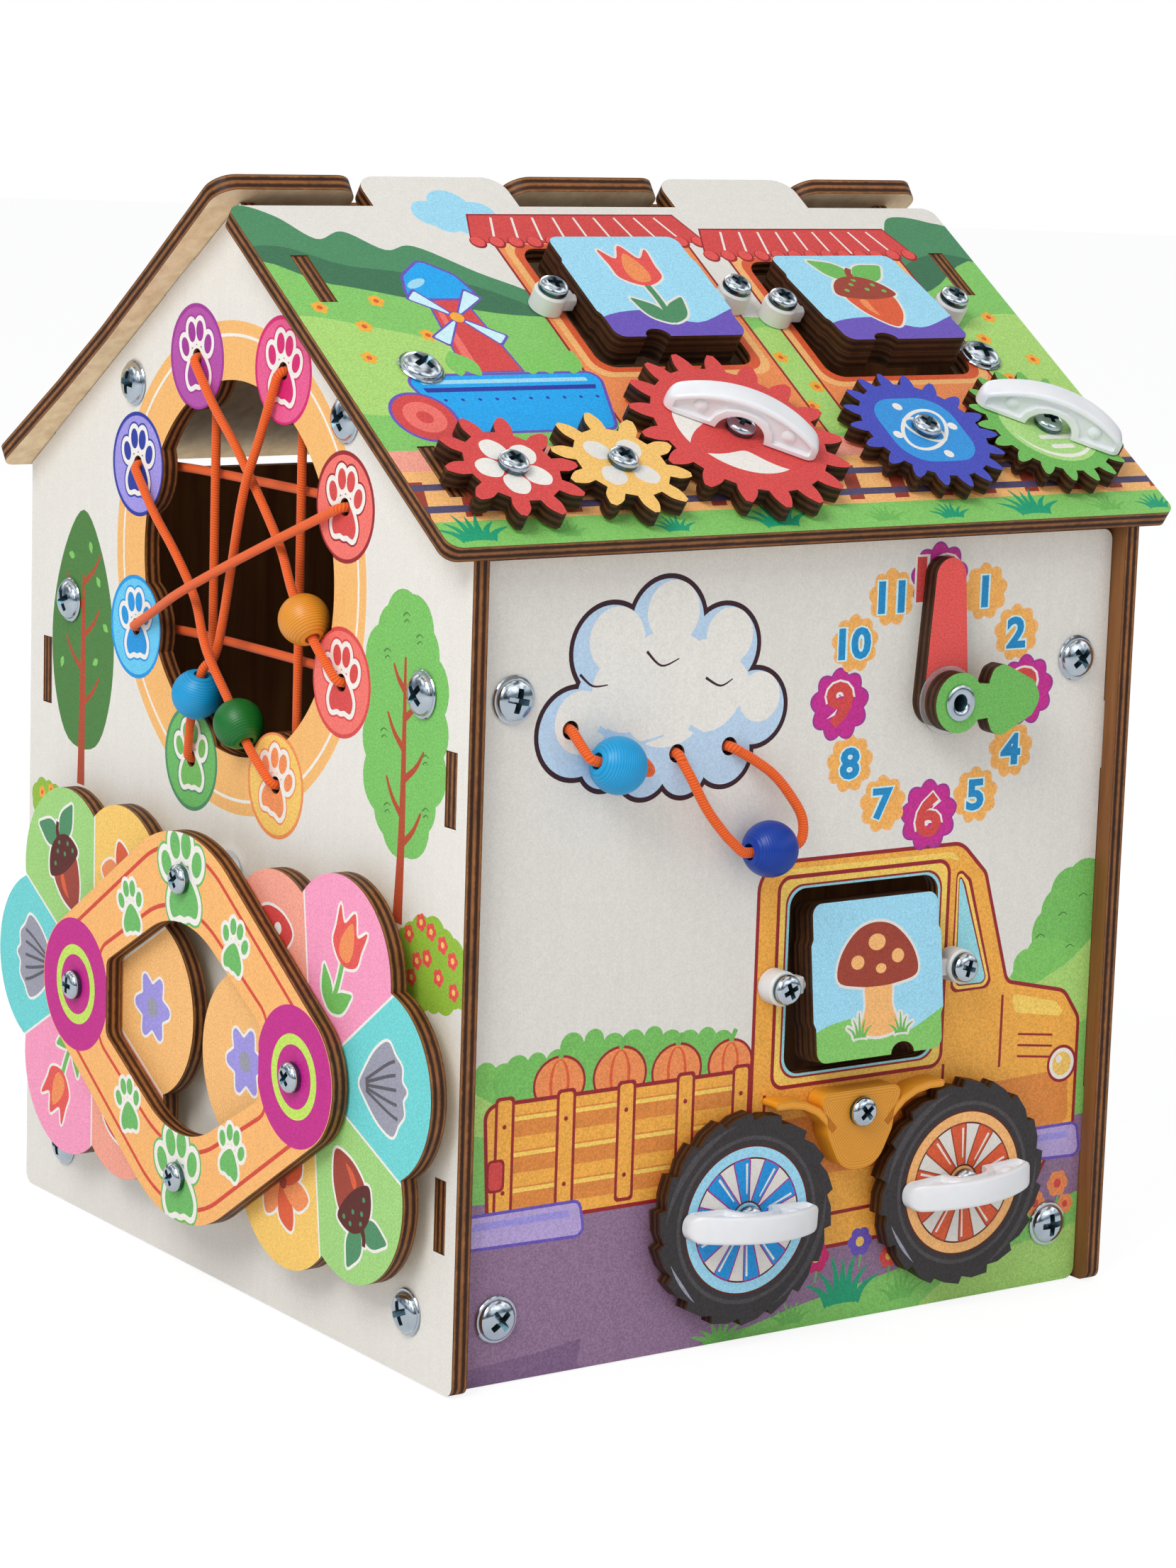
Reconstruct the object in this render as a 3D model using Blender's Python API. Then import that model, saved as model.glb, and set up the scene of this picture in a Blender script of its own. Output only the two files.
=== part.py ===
# Wooden busy house: a plywood house with toys to turn, slide and lace on its walls and roof.
# Metres, Z up. The front faces -Y, the lacing gable faces -X, the house stands on z = 0.
import math

import bmesh
import bpy
from mathutils import Matrix, Vector

for item in list(bpy.data.objects):
    bpy.data.objects.remove(item, do_unlink=True)

# House shell
PLY = 0.006
TOUCH_GAP = 0.0003
STRAND_GAP = 0.0006
RUN_GAP = 0.0006
ROOF_PITCH = math.radians(34.5)
ROOF_LENGTH = 0.300
EAVE_REACH = 0.1533
EAVE_HEIGHT = 0.2764
HOUSE_WIDTH = ROOF_LENGTH - 0.0240
HOUSE_DEPTH = 2 * (EAVE_REACH - 0.0053)
WALL_HEIGHT = EAVE_HEIGHT - 0.0064
# The toys and their places follow the smallest of the panels that carry them
PANEL_SHARE = min(ROOF_LENGTH / 0.300, EAVE_REACH / 0.1533, EAVE_HEIGHT / 0.2764)
FRONT_INSET = 0.0065
REAR_INSET = 0.0105
WALL_CORNER_RADIUS = 0.004
TAB_LENGTH = 0.024
WALL_TAB_HEIGHTS = (0.2167 * WALL_HEIGHT, 0.7315 * WALL_HEIGHT)

# Roof
RIDGE_LINE = EAVE_REACH / math.cos(ROOF_PITCH)
ROOF_NOTCH_LINE = RIDGE_LINE - 0.0140
ROOF_TAB_LINE = RIDGE_LINE + 0.0025
ROOF_TAB_LINE_REAR = RIDGE_LINE + 0.0035
RIDGE_MIDDLE_NOTCH = 0.2167 * ROOF_LENGTH
RIDGE_TAB_WIDTH = 0.2033 * ROOF_LENGTH
RIDGE_TAB_RADIUS = 0.008
RIDGE_PLAY = 0.0008
ROOF_CORNER_RADIUS = 0.005
ROOF_SLOTS_UP = (0.2075 * ROOF_NOTCH_LINE, 0.7732 * ROOF_NOTCH_LINE)
REAR_WAIST = 0.0030

# Corner brackets with truss head screws
BRACKET_LEG = 0.021 * PANEL_SHARE
BRACKET_WIDTH = 0.015 * PANEL_SHARE
BRACKET_STOCK = 0.002 * PANEL_SHARE
BRACKET_REACH = 0.0145 * PANEL_SHARE
BRACKET_HEIGHTS = (0.0815 * WALL_HEIGHT, 0.8352 * WALL_HEIGHT)
TRUSS_RADIUS = 0.0080 * PANEL_SHARE
TRUSS_RISE = 0.0036 * PANEL_SHARE
TRUSS_SHANK_RADIUS = 0.0030 * PANEL_SHARE
TRUSS_NUT_RADIUS = 0.0056 * PANEL_SHARE
TRUSS_NUT_THICKNESS = 0.0045 * PANEL_SHARE

# Pan head screws
PAN_RADIUS = 0.0052
PAN_RISE = 0.0036
PAN_SHANK_RADIUS = 0.0024
PAN_NUT_RADIUS = 0.0045
PAN_NUT_THICKNESS = 0.0038

# Lacing window on the left gable
GABLE_SHIFT = 0.0015
WINDOW_HEIGHT = 0.2509 * PANEL_SHARE
WINDOW_RADIUS = 0.0640 * PANEL_SHARE
LACE_PITCH_RADIUS = 0.0753 * PANEL_SHARE
LACE_PAD_RADIUS = 0.0178 * PANEL_SHARE
LACE_HOLE_RADIUS = 0.0030 * PANEL_SHARE
LACE_RADIUS = 0.00165 * PANEL_SHARE
LACE_BEAD_RADIUS = 0.0087 * PANEL_SHARE
LACE_BEAD_HOLE = 0.0026 * PANEL_SHARE
LACE_BEAD_LIFTS = (0.0034 * PANEL_SHARE, 0.0038 * PANEL_SHARE, 0.0040 * PANEL_SHARE)
LACE_BEAD_BACKS = (0.0262 * PANEL_SHARE, 0.0262 * PANEL_SHARE, 0.0260 * PANEL_SHARE)

# Petal discs behind the diamond frame
PETAL_HEIGHT = 0.0931 * PANEL_SHARE
PETAL_PIVOT_REACH = 0.0761 * PANEL_SHARE
PETAL_RADIUS = 0.0729 * PANEL_SHARE
PETAL_NOTCH_RADIUS = 0.0602 * PANEL_SHARE
PETAL_COUNT = 6
PETAL_LIFT = 0.0060
FRAME_LIFT = PETAL_LIFT + PLY + 0.0010
FRAME_END_RADIUS = 0.0243 * PANEL_SHARE
FRAME_PEAK_REACH = 0.0133 * PANEL_SHARE
FRAME_PEAK_RADIUS = 0.0550 * PANEL_SHARE
FRAME_POST_REACH = 0.0524 * PANEL_SHARE
FRAME_WINDOW_FLAT = 0.0532 * PANEL_SHARE
FRAME_WINDOW_HALF_SIDE = 0.0134 * PANEL_SHARE
FRAME_WINDOW_SLOPE = math.radians(29.7)
FRAME_WINDOW_RADIUS = 0.0440 * PANEL_SHARE
FRAME_SIDE_RADIUS = 0.0040 * PANEL_SHARE
POST_RADIUS = 0.0085 * PANEL_SHARE

# Roof gears
GEAR_LIFT = 0.0015
GEAR_PRESSURE = math.radians(25.0)
GEAR_BACKLASH = 0.0008
BIG_MODULE = 0.00422 * PANEL_SHARE
SMALL_MODULE = 0.00303 * PANEL_SHARE
GEAR_ADDENDUM_SHARE = 0.82
GEAR_DEDENDUM_SHARE = 1.05
GEAR_ROOT_SHARE = 0.06
SMALL_TEETH = 10
BIG_TEETH = 17
PAIR_TEETH = 18
YELLOW_GEAR_AT = (-0.0732 * PANEL_SHARE, 0.0285 * PANEL_SHARE)
YELLOW_TO_BIG_TURN = math.radians(14.3)
BLUE_GEAR_AT = (0.0587 * PANEL_SHARE, 0.0393 * PANEL_SHARE)
BIG_GEAR_PHASE = math.radians(-9.4)
BLUE_GEAR_PHASE = math.radians(-6.9)
GEAR_HANDLE_TURN = math.radians(-34.0)

# Handles
HANDLE_LENGTH = 0.0540 * PANEL_SHARE
HANDLE_WIDTH = 0.0095 * PANEL_SHARE
HANDLE_RISE = 0.0140 * PANEL_SHARE
HANDLE_ARCH_RADIUS = 0.0086 * PANEL_SHARE
HANDLE_ARCH_RISE = 0.0072 * PANEL_SHARE
HANDLE_END_RISE = 0.0050 * PANEL_SHARE

# Turning picture blocks
BLOCK_SIZE = 0.0540 * PANEL_SHARE
BLOCK_THICKNESS = 0.0120
BLOCK_AXIS_LIFT = 0.0030
BLOCK_CORNER_RADIUS = 0.0040 * PANEL_SHARE
BLOCK_BULGE = 0.0010 * PANEL_SHARE
BLOCK_NOTCH_RADIUS = 0.0050 * PANEL_SHARE
BLOCK_WINDOW = 0.0640 * PANEL_SHARE
BLOCK_WINDOW_RADIUS = 0.0065 * PANEL_SHARE
ROOF_BLOCK_LEFT_AT = (-0.0143 * PANEL_SHARE, 0.1165 * PANEL_SHARE)
ROOF_BLOCK_RIGHT_AT = (0.0776 * PANEL_SHARE, 0.1087 * PANEL_SHARE)
WALL_BLOCK_AT = (0.0285 * PANEL_SHARE, 0.1220 * PANEL_SHARE)
ROOF_BLOCK_RIGHT_LEAN = math.radians(-6.0)
WALL_BLOCK_LEAN = math.radians(-6.5)
BLOCK_NOTCH_SHARES = (-0.19, -0.19, 0.18)
HOLDER_REACH = 0.0384 * PANEL_SHARE
HOLDER_RADIUS = 0.0060 * PANEL_SHARE
HOLDER_RISE = 0.0075 * PANEL_SHARE
HOLDER_ARM_WIDTH = 0.0060 * PANEL_SHARE
HOLDER_ARM_RISE = 0.0050 * PANEL_SHARE
HOLDER_PEG_RADIUS = 0.0022 * PANEL_SHARE
HOLDER_PEG_DEPTH = 0.0060 * PANEL_SHARE
# The roof brackets sit below the holders of the right block
ROOF_BRACKET_CLEARANCE = 0.0092 * PANEL_SHARE
ROOF_BRACKET_UP = ROOF_BLOCK_RIGHT_AT[1] - HOLDER_RADIUS - BRACKET_WIDTH / 2 - ROOF_BRACKET_CLEARANCE

# Toothed wheels and the pawl on the front wall
WHEEL_LEFT_AT = (-0.0225 * PANEL_SHARE, 0.0443 * PANEL_SHARE)
WHEEL_RIGHT_AT = (0.0710 * PANEL_SHARE, 0.0450 * PANEL_SHARE)
WHEEL_LIFT = 0.0020
WHEEL_RADIUS = 0.0367 * PANEL_SHARE
WHEEL_TOOTH_DEPTH = 0.0026 * PANEL_SHARE
WHEEL_TEETH = 18
WHEEL_PHASE = math.radians(8.0)
PAWL_AT = (0.0243 * PANEL_SHARE, 0.0764 * PANEL_SHARE)
PAWL_REACH = 0.0370 * PANEL_SHARE
PAWL_THICKNESS = 0.0080
PAWL_ARM_THICKNESS = 0.0026 * PANEL_SHARE
PAWL_CORNER_RADIUS = 0.0040 * PANEL_SHARE
PAWL_CHIN_RADIUS = 0.0075 * PANEL_SHARE
PAWL_BODY_SHARES = ((-0.500, 0.205), (0.500, 0.205), (0.345, -0.060), (0.330, -0.140),
                    (0.0, -0.560), (-0.330, -0.140), (-0.345, -0.060))
PAWL_ARM_SHARES = ((0.30, -0.150), (0.40, -0.040), (0.50, 0.050), (0.65, 0.122),
                   (0.81, 0.152), (0.98, 0.152))

# Clock hands on a hollow rivet
CLOCK_AT = (0.0547 * PANEL_SHARE, 0.2155 * PANEL_SHARE)
MINUTE_LENGTH = 0.0420 * PANEL_SHARE
MINUTE_TIP_RADIUS = 0.0064 * PANEL_SHARE
HOUR_LENGTH = 0.0360 * PANEL_SHARE
HAND_HUB_RADIUS = 0.0103 * PANEL_SHARE
CLOCK_WASHER_RADIUS = 0.0118 * PANEL_SHARE
CLOCK_WASHER_THICKNESS = 0.0008
RIVET_RADIUS = 0.0036 * PANEL_SHARE
RIVET_BORE = 0.0029 * PANEL_SHARE
RIVET_FLANGE_RADIUS = 0.0061 * PANEL_SHARE
RIVET_FLANGE_THICKNESS = 0.0007
HOUR_HEAD_SHARES = ((0.35, 0.185), (0.40, 0.300), (0.52, 0.345), (0.68, 0.270), (0.90, 0.165),
                    (1.00, 0.0), (0.90, -0.165), (0.68, -0.270), (0.52, -0.345),
                    (0.40, -0.300), (0.35, -0.185))
HOUR_HEAD_RADIUS = 0.0036 * PANEL_SHARE

# Cloud cord on the front wall
CLOUD_HOLE_SPACING = 0.0212 * PANEL_SHARE
CLOUD_HOLE_FIRST = (-0.0950 * PANEL_SHARE, 0.2142 * PANEL_SHARE)
CLOUD_HOLE_DROP_SHARES = (0.0, -0.38, -0.495, -0.453)
CLOUD_HOLE_RADIUS = 0.0031 * PANEL_SHARE
CLOUD_CORD_RADIUS = 0.00180 * PANEL_SHARE
CLOUD_BEAD_RADIUS = 0.0095 * PANEL_SHARE
CLOUD_BEAD_HOLE = 0.0028 * PANEL_SHARE
CLOUD_BEAD_LIFT = 0.0101 * PANEL_SHARE
CLOUD_FIRST_BEAD_LEAN = math.radians(-14.0)
CLOUD_SECOND_BEAD_LEAN = math.radians(2.0)
CLOUD_KNOT_RADIUS = 0.0046 * PANEL_SHARE
CORD_BEND_RADIUS = 0.0030 * PANEL_SHARE
CORD_BACK_DROP = 0.0035 * PANEL_SHARE

# Beads of one make have a flat at each end of the hole
BEAD_FLAT_SHARE = 0.90
BEAD_RUN_SHARE = 1.10

# Round work
FINE_STEPS = 28
HOLE_STEPS = 8
ROUND_STEPS = 12
SCREW_STEPS = 8
CORNER_STEPS = 3
CORD_STEPS = 3

HOUSE = bpy.data.collections.new("busy_house")
bpy.context.scene.collection.children.link(HOUSE)
CUTTERS = bpy.data.collections.new("busy_house_cutters")
bpy.context.scene.collection.children.link(CUTTERS)


# Materials
def material(name, colour, roughness, metallic=0.0):
    made = bpy.data.materials.new(name)
    made.use_nodes = True
    shader = made.node_tree.nodes["Principled BSDF"]
    shader.inputs["Base Color"].default_value = (*colour, 1.0)
    shader.inputs["Roughness"].default_value = roughness
    shader.inputs["Metallic"].default_value = metallic
    made.diffuse_color = (*colour, 1.0)
    return made


WOOD = material("birch_ply", (0.80, 0.74, 0.64), 0.60)
CREAM = material("printed_cream", (0.86, 0.83, 0.77), 0.55)
RED = material("printed_red", (0.75, 0.13, 0.11), 0.55)
YELLOW = material("printed_yellow", (0.90, 0.62, 0.22), 0.55)
BLUE = material("printed_blue", (0.13, 0.18, 0.66), 0.55)
GREEN = material("printed_green", (0.24, 0.52, 0.20), 0.55)
ORANGE = material("printed_orange", (0.90, 0.52, 0.22), 0.55)
TEAL = material("printed_teal", (0.25, 0.68, 0.70), 0.55)
TYRE = material("printed_tyre", (0.12, 0.11, 0.12), 0.60)
WHITE = material("white_plastic", (0.88, 0.88, 0.88), 0.30)
PAWL_COLOUR = material("amber_plastic", (0.90, 0.47, 0.06), 0.40)
STEEL = material("zinc_steel", (0.75, 0.77, 0.80), 0.22, 1.0)
CLEAR = material("clear_plastic", (0.85, 0.85, 0.85), 0.15)
CORD = material("orange_cord", (0.90, 0.22, 0.03), 0.80)
BEAD_COLOURS = {
    "amber": material("bead_amber", (0.92, 0.50, 0.07), 0.35),
    "sky": material("bead_sky", (0.05, 0.45, 0.85), 0.35),
    "green": material("bead_green", (0.02, 0.33, 0.06), 0.35),
    "navy": material("bead_navy", (0.02, 0.09, 0.50), 0.35),
}


# Panel frames: u across, v up the panel, w out of its printed face
def panel_frame(origin, across, up):
    u, v = Vector(across), Vector(up)
    turn = Matrix((u, v, u.cross(v))).transposed().to_4x4()
    return Matrix.Translation(Vector(origin)) @ turn


SLOPE_C, SLOPE_S = math.cos(ROOF_PITCH), math.sin(ROOF_PITCH)
HALF_WIDTH = HOUSE_WIDTH / 2
HALF_DEPTH = HOUSE_DEPTH / 2
FRONT_FACE = HALF_DEPTH - FRONT_INSET
REAR_FACE = HALF_DEPTH - REAR_INSET
FRONT = panel_frame((0, -FRONT_FACE, 0), (1, 0, 0), (0, 0, 1))
REAR = panel_frame((0, REAR_FACE, 0), (-1, 0, 0), (0, 0, 1))
LEFT = panel_frame((-HALF_WIDTH, 0, 0), (0, -1, 0), (0, 0, 1))
RIGHT = panel_frame((HALF_WIDTH, 0, 0), (0, 1, 0), (0, 0, 1))
ROOF_FRONT = panel_frame((0, -EAVE_REACH, EAVE_HEIGHT), (1, 0, 0), (0, SLOPE_C, SLOPE_S))
ROOF_REAR = panel_frame((0, EAVE_REACH, EAVE_HEIGHT), (-1, 0, 0), (0, -SLOPE_C, SLOPE_S))


# Outlines
def circle(centre, radius, steps=HOLE_STEPS):
    return [(centre[0] + radius * math.cos(2 * math.pi * i / steps),
             centre[1] + radius * math.sin(2 * math.pi * i / steps)) for i in range(steps)]


def rectangle(centre, width, height):
    x, y, a, b = centre[0], centre[1], width / 2, height / 2
    return [(x - a, y - b), (x + a, y - b), (x + a, y + b), (x - a, y + b)]


def rounded(points, radii, steps=CORNER_STEPS):
    count = len(points)
    if not isinstance(radii, (list, tuple)):
        radii = [radii] * count
    out = []
    for i in range(count):
        here = Vector(points[i])
        before = Vector(points[i - 1]) - here
        after = Vector(points[(i + 1) % count]) - here
        angle = before.angle(after)
        if radii[i] <= 0 or angle > math.radians(178):
            out.append(tuple(here))
            continue
        room = 0.49 * min(before.length, after.length)
        back = min(radii[i] / math.tan(angle / 2), room)
        radius = back * math.tan(angle / 2)
        middle = (before.normalized() + after.normalized()).normalized()
        centre = here + middle * (radius / math.sin(angle / 2))
        start = here + before.normalized() * back - centre
        end = here + after.normalized() * back - centre
        first = math.atan2(start.y, start.x)
        sweep = math.atan2(end.y, end.x) - first
        sweep = (sweep + math.pi) % (2 * math.pi) - math.pi
        for k in range(steps + 1):
            a = first + sweep * k / steps
            out.append((centre.x + radius * math.cos(a), centre.y + radius * math.sin(a)))
    return out


def moved(points, shift):
    return [(p[0] + shift[0], p[1] + shift[1]) for p in points]


def hull(circles, steps=FINE_STEPS):
    points = sorted({(round(p[0], 9), round(p[1], 9))
                     for centre, radius in circles for p in circle(centre, radius, steps)})

    def chain(items):
        kept = []
        for p in items:
            while len(kept) > 1 and ((kept[-1][0] - kept[-2][0]) * (p[1] - kept[-2][1])
                                     - (kept[-1][1] - kept[-2][1]) * (p[0] - kept[-2][0])) <= 0:
                kept.pop()
            kept.append(p)
        return kept[:-1]

    return chain(points) + chain(points[::-1])


# Solids
def finish_mesh(mesh, name):
    work = bmesh.new()
    work.from_mesh(mesh)
    bmesh.ops.remove_doubles(work, verts=work.verts, dist=PLY / 3000)
    bmesh.ops.dissolve_degenerate(work, edges=work.edges, dist=PLY / 6000)
    bmesh.ops.recalc_face_normals(work, faces=work.faces)
    work.to_mesh(mesh)
    work.free()
    mesh.name = name
    return mesh


def plate(name, outline, holes, low, high):
    curve = bpy.data.curves.new(name, "CURVE")
    curve.dimensions = "2D"
    curve.fill_mode = "BOTH"
    curve.extrude = (high - low) / 2
    for points in [outline, *holes]:
        spline = curve.splines.new("POLY")
        spline.points.add(len(points) - 1)
        for slot, p in zip(spline.points, points):
            slot.co = (p[0], p[1], 0, 1)
        spline.use_cyclic_u = True
    holder = bpy.data.objects.new(name, curve)
    HOUSE.objects.link(holder)
    mesh = bpy.data.meshes.new_from_object(holder)
    bpy.data.objects.remove(holder, do_unlink=True)
    mesh.transform(Matrix.Translation((0, 0, (low + high) / 2)))
    return finish_mesh(mesh, name)


def lathe(name, profile, steps):
    work = bmesh.new()
    rings = []
    for radius, height in profile:
        if radius == 0:
            rings.append([work.verts.new((0, 0, height))])
        else:
            rings.append([work.verts.new((p[0], p[1], height)) for p in circle((0, 0), radius, steps)])
    closed = profile[0][0] > 0
    pairs = list(zip(rings, rings[1:] + ([rings[0]] if closed else [])))
    if not closed:
        pairs = pairs[:len(rings) - 1]
    for lower, upper in pairs:
        for i in range(steps):
            j = (i + 1) % steps
            corners = [lower[i % len(lower)], lower[j % len(lower)],
                       upper[j % len(upper)], upper[i % len(upper)]]
            seen = [c for k, c in enumerate(corners) if c not in corners[:k]]
            if len(seen) > 2:
                work.faces.new(seen)
    bmesh.ops.recalc_face_normals(work, faces=work.faces)
    mesh = bpy.data.meshes.new(name)
    work.to_mesh(mesh)
    work.free()
    return mesh


def box(name, low, high):
    work = bmesh.new()
    bmesh.ops.create_cube(work, size=1)
    for vert in work.verts:
        vert.co = Vector([low[k] if vert.co[k] < 0 else high[k] for k in range(3)])
    mesh = bpy.data.meshes.new(name)
    work.to_mesh(mesh)
    work.free()
    return mesh


def joined(name, meshes, operation="UNION"):
    base = bpy.data.objects.new(name, meshes[0])
    HOUSE.objects.link(base)
    for k, mesh in enumerate(meshes[1:]):
        tool = bpy.data.objects.new(name + "_tool%d" % k, mesh)
        CUTTERS.objects.link(tool)
        tool.hide_render = True
        tool.display_type = "WIRE"
        step = base.modifiers.new("join%d" % k, "BOOLEAN")
        step.operation = operation
        step.solver = "EXACT"
        step.object = tool
        bpy.context.view_layer.update()
        after = bpy.data.meshes.new_from_object(base.evaluated_get(bpy.context.evaluated_depsgraph_get()))
        base.modifiers.clear()
        base.data = after
        bpy.data.objects.remove(tool, do_unlink=True)
    mesh = base.data
    bpy.data.objects.remove(base, do_unlink=True)
    return finish_mesh(mesh, name)


def turned(mesh, matrix):
    copy = mesh.copy()
    copy.transform(matrix)
    return copy


def put(name, mesh, finish, frame, at=(0, 0, 0)):
    turn = frame.to_3x3().to_4x4()
    mesh.transform(turn)
    mesh.materials.clear()
    mesh.materials.append(finish)
    piece = bpy.data.objects.new(name, mesh)
    piece.location = frame @ Vector(at)
    HOUSE.objects.link(piece)
    return piece


def tube(name, points, radius, cyclic=False, swells=None):
    curve = bpy.data.curves.new(name, "CURVE")
    curve.dimensions = "3D"
    curve.bevel_depth = radius
    curve.bevel_resolution = 2
    curve.use_fill_caps = not cyclic
    spline = curve.splines.new("POLY")
    spline.points.add(len(points) - 1)
    for k, p in enumerate(points):
        spline.points[k].co = (*p, 1)
        spline.points[k].radius = (swells or {}).get(k, 1.0)
    spline.use_cyclic_u = cyclic
    holder = bpy.data.objects.new(name, curve)
    HOUSE.objects.link(holder)
    mesh = bpy.data.meshes.new_from_object(holder)
    bpy.data.objects.remove(holder, do_unlink=True)
    return finish_mesh(mesh, name)


# Screw with its nut: head seat at height 0, shank down to -depth, nut above its lower end
def screw_mesh(name, head_radius, head_rise, shank, nut_radius, nut_thickness, depth, collars=()):
    nut_top = -depth + nut_thickness
    profile = [(0, -depth), (nut_radius, -depth), (nut_radius, nut_top), (shank, nut_top)]
    for low, high, radius in collars:
        profile += [(shank, low), (radius, low), (radius, high), (shank, high)]
    profile += [(shank, 0), (head_radius, 0), (head_radius * 0.80, head_rise * 0.72), (0, head_rise)]
    return lathe(name, profile, SCREW_STEPS)


def pan_screw(name, depth, collars=()):
    return screw_mesh(name, PAN_RADIUS, PAN_RISE, PAN_SHANK_RADIUS, PAN_NUT_RADIUS,
                      PAN_NUT_THICKNESS, depth, collars)


# Screw that turns with its wheel: its collar fills the gap between the panel and the wheel
def wheel_with_screw(name, wheel, lift):
    seat = lift + PLY - TOUCH_GAP
    collar = (TOUCH_GAP - seat, lift + TOUCH_GAP - seat, PAN_RADIUS)
    screw = pan_screw("screw", seat + BEHIND, (collar,))
    return joined(name, [wheel, turned(screw, Matrix.Translation((0, 0, seat - lift)))])


PAN_HOLE = PAN_SHANK_RADIUS + TOUCH_GAP
TRUSS_HOLE = TRUSS_SHANK_RADIUS + TOUCH_GAP
BEHIND = PLY + TOUCH_GAP + PAN_NUT_THICKNESS


# Left and right gables
def roof_line(y):
    return EAVE_HEIGHT + (EAVE_REACH - abs(y)) * math.tan(ROOF_PITCH) - (PLY + TOUCH_GAP) / SLOPE_C


def gable_outline():
    def on_slope(up, lift):
        y = -EAVE_REACH + up * SLOPE_C - lift * SLOPE_S
        return y, EAVE_HEIGHT + up * SLOPE_S + lift * SLOPE_C

    right = []
    for up in ROOF_SLOTS_UP:
        low, high = up - TAB_LENGTH / 2, up + TAB_LENGTH / 2
        under, flush = -PLY - TOUCH_GAP, -TOUCH_GAP
        right += [on_slope(low, under), on_slope(low, flush), on_slope(high, flush), on_slope(high, under)]
    right = [(-y, z) for y, z in right]
    left = [(-y, z) for y, z in reversed(right)]
    top = [(HALF_DEPTH, roof_line(HALF_DEPTH)), *right, (0, roof_line(0)), *left,
           (-HALF_DEPTH, roof_line(HALF_DEPTH))]
    corners = [(-HALF_DEPTH, 0), (HALF_DEPTH, 0), *top]
    radii = [WALL_CORNER_RADIUS, WALL_CORNER_RADIUS] + [0] * len(top)
    return rounded(corners, radii)


def wall_slots(hand):
    wide, tall = PLY + 2 * TOUCH_GAP, TAB_LENGTH + 2 * TOUCH_GAP
    middles = (-FRONT_FACE + PLY / 2, REAR_FACE - PLY / 2)
    return [rectangle((hand * y, z), wide, tall) for y in middles for z in WALL_TAB_HEIGHTS]


def gable_bracket_holes(hand):
    corners = (-FRONT_FACE + PLY + BRACKET_REACH, REAR_FACE - PLY - BRACKET_REACH)
    holes = [circle((hand * reach, up), TRUSS_HOLE) for reach in corners for up in BRACKET_HEIGHTS]
    inner = -PLY - BRACKET_REACH
    y = -EAVE_REACH + ROOF_BRACKET_UP * SLOPE_C - inner * SLOPE_S
    z = EAVE_HEIGHT + ROOF_BRACKET_UP * SLOPE_S + inner * SLOPE_C
    return holes + [circle((side * y, z), TRUSS_HOLE) for side in (-1, 1)]


def lace_holes():
    turns = [math.radians(112.5 - 45 * k) for k in range(8)]
    return [(GABLE_SHIFT + LACE_PITCH_RADIUS * math.cos(a), WINDOW_HEIGHT + LACE_PITCH_RADIUS * math.sin(a))
            for a in turns]


def window_outline():
    points = []
    span = math.acos((WINDOW_RADIUS ** 2 + LACE_PITCH_RADIUS ** 2 - LACE_PAD_RADIUS ** 2)
                     / (2 * WINDOW_RADIUS * LACE_PITCH_RADIUS))
    for k in range(8):
        pad = math.radians(22.5 + 45 * k)
        px, py = LACE_PITCH_RADIUS * math.cos(pad), LACE_PITCH_RADIUS * math.sin(pad)
        first = Vector((WINDOW_RADIUS * math.cos(pad - span) - px, WINDOW_RADIUS * math.sin(pad - span) - py))
        start = math.atan2(first.y, first.x)
        inward = pad + math.pi
        half = (start - inward + math.pi) % (2 * math.pi) - math.pi
        for i in range(7):
            a = inward + half * (1 - i / 3)
            points.append((px + LACE_PAD_RADIUS * math.cos(a), py + LACE_PAD_RADIUS * math.sin(a)))
        stretch = math.radians(45) - 2 * span
        for i in range(1, 3):
            a = pad + span + stretch * i / 3
            points.append((WINDOW_RADIUS * math.cos(a), WINDOW_RADIUS * math.sin(a)))
    return moved(points, (GABLE_SHIFT, WINDOW_HEIGHT))


def build_gables():
    holes = wall_slots(1) + gable_bracket_holes(1)
    put("gable_right", plate("gable_right", gable_outline(), holes, -PLY, 0), WOOD, RIGHT)
    holes = wall_slots(-1) + gable_bracket_holes(-1) + [window_outline()]
    holes += [circle(p, LACE_HOLE_RADIUS) for p in lace_holes()]
    holes += [circle((GABLE_SHIFT + side * PETAL_PIVOT_REACH, PETAL_HEIGHT), PAN_HOLE) for side in (-1, 1)]
    holes += [circle((GABLE_SHIFT, PETAL_HEIGHT + side * FRAME_POST_REACH), PAN_HOLE) for side in (-1, 1)]
    put("gable_left", plate("gable_left", gable_outline(), holes, -PLY, 0), CREAM, LEFT)


# Front and rear walls
def wall_outline():
    half = HALF_WIDTH - PLY - TOUCH_GAP
    reach = HALF_WIDTH - TOUCH_GAP
    side = [(half, 0)]
    for z in WALL_TAB_HEIGHTS:
        low, high = z - TAB_LENGTH / 2, z + TAB_LENGTH / 2
        side += [(half, low), (reach, low), (reach, high), (half, high)]
    side.append((half, WALL_HEIGHT))
    corners = side + [(-x, z) for x, z in reversed(side)]
    radii = [0] * len(corners)
    for k in (0, len(side) - 1, len(side), len(corners) - 1):
        radii[k] = WALL_CORNER_RADIUS
    return rounded(corners, radii)


def wall_bracket_holes():
    reach = HALF_WIDTH - PLY - BRACKET_REACH
    return [circle((side * reach, up), TRUSS_HOLE) for side in (-1, 1) for up in BRACKET_HEIGHTS]


def cloud_holes():
    x, z = CLOUD_HOLE_FIRST
    return [(x + k * CLOUD_HOLE_SPACING, z + drop * CLOUD_HOLE_SPACING)
            for k, drop in enumerate(CLOUD_HOLE_DROP_SHARES)]


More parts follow.
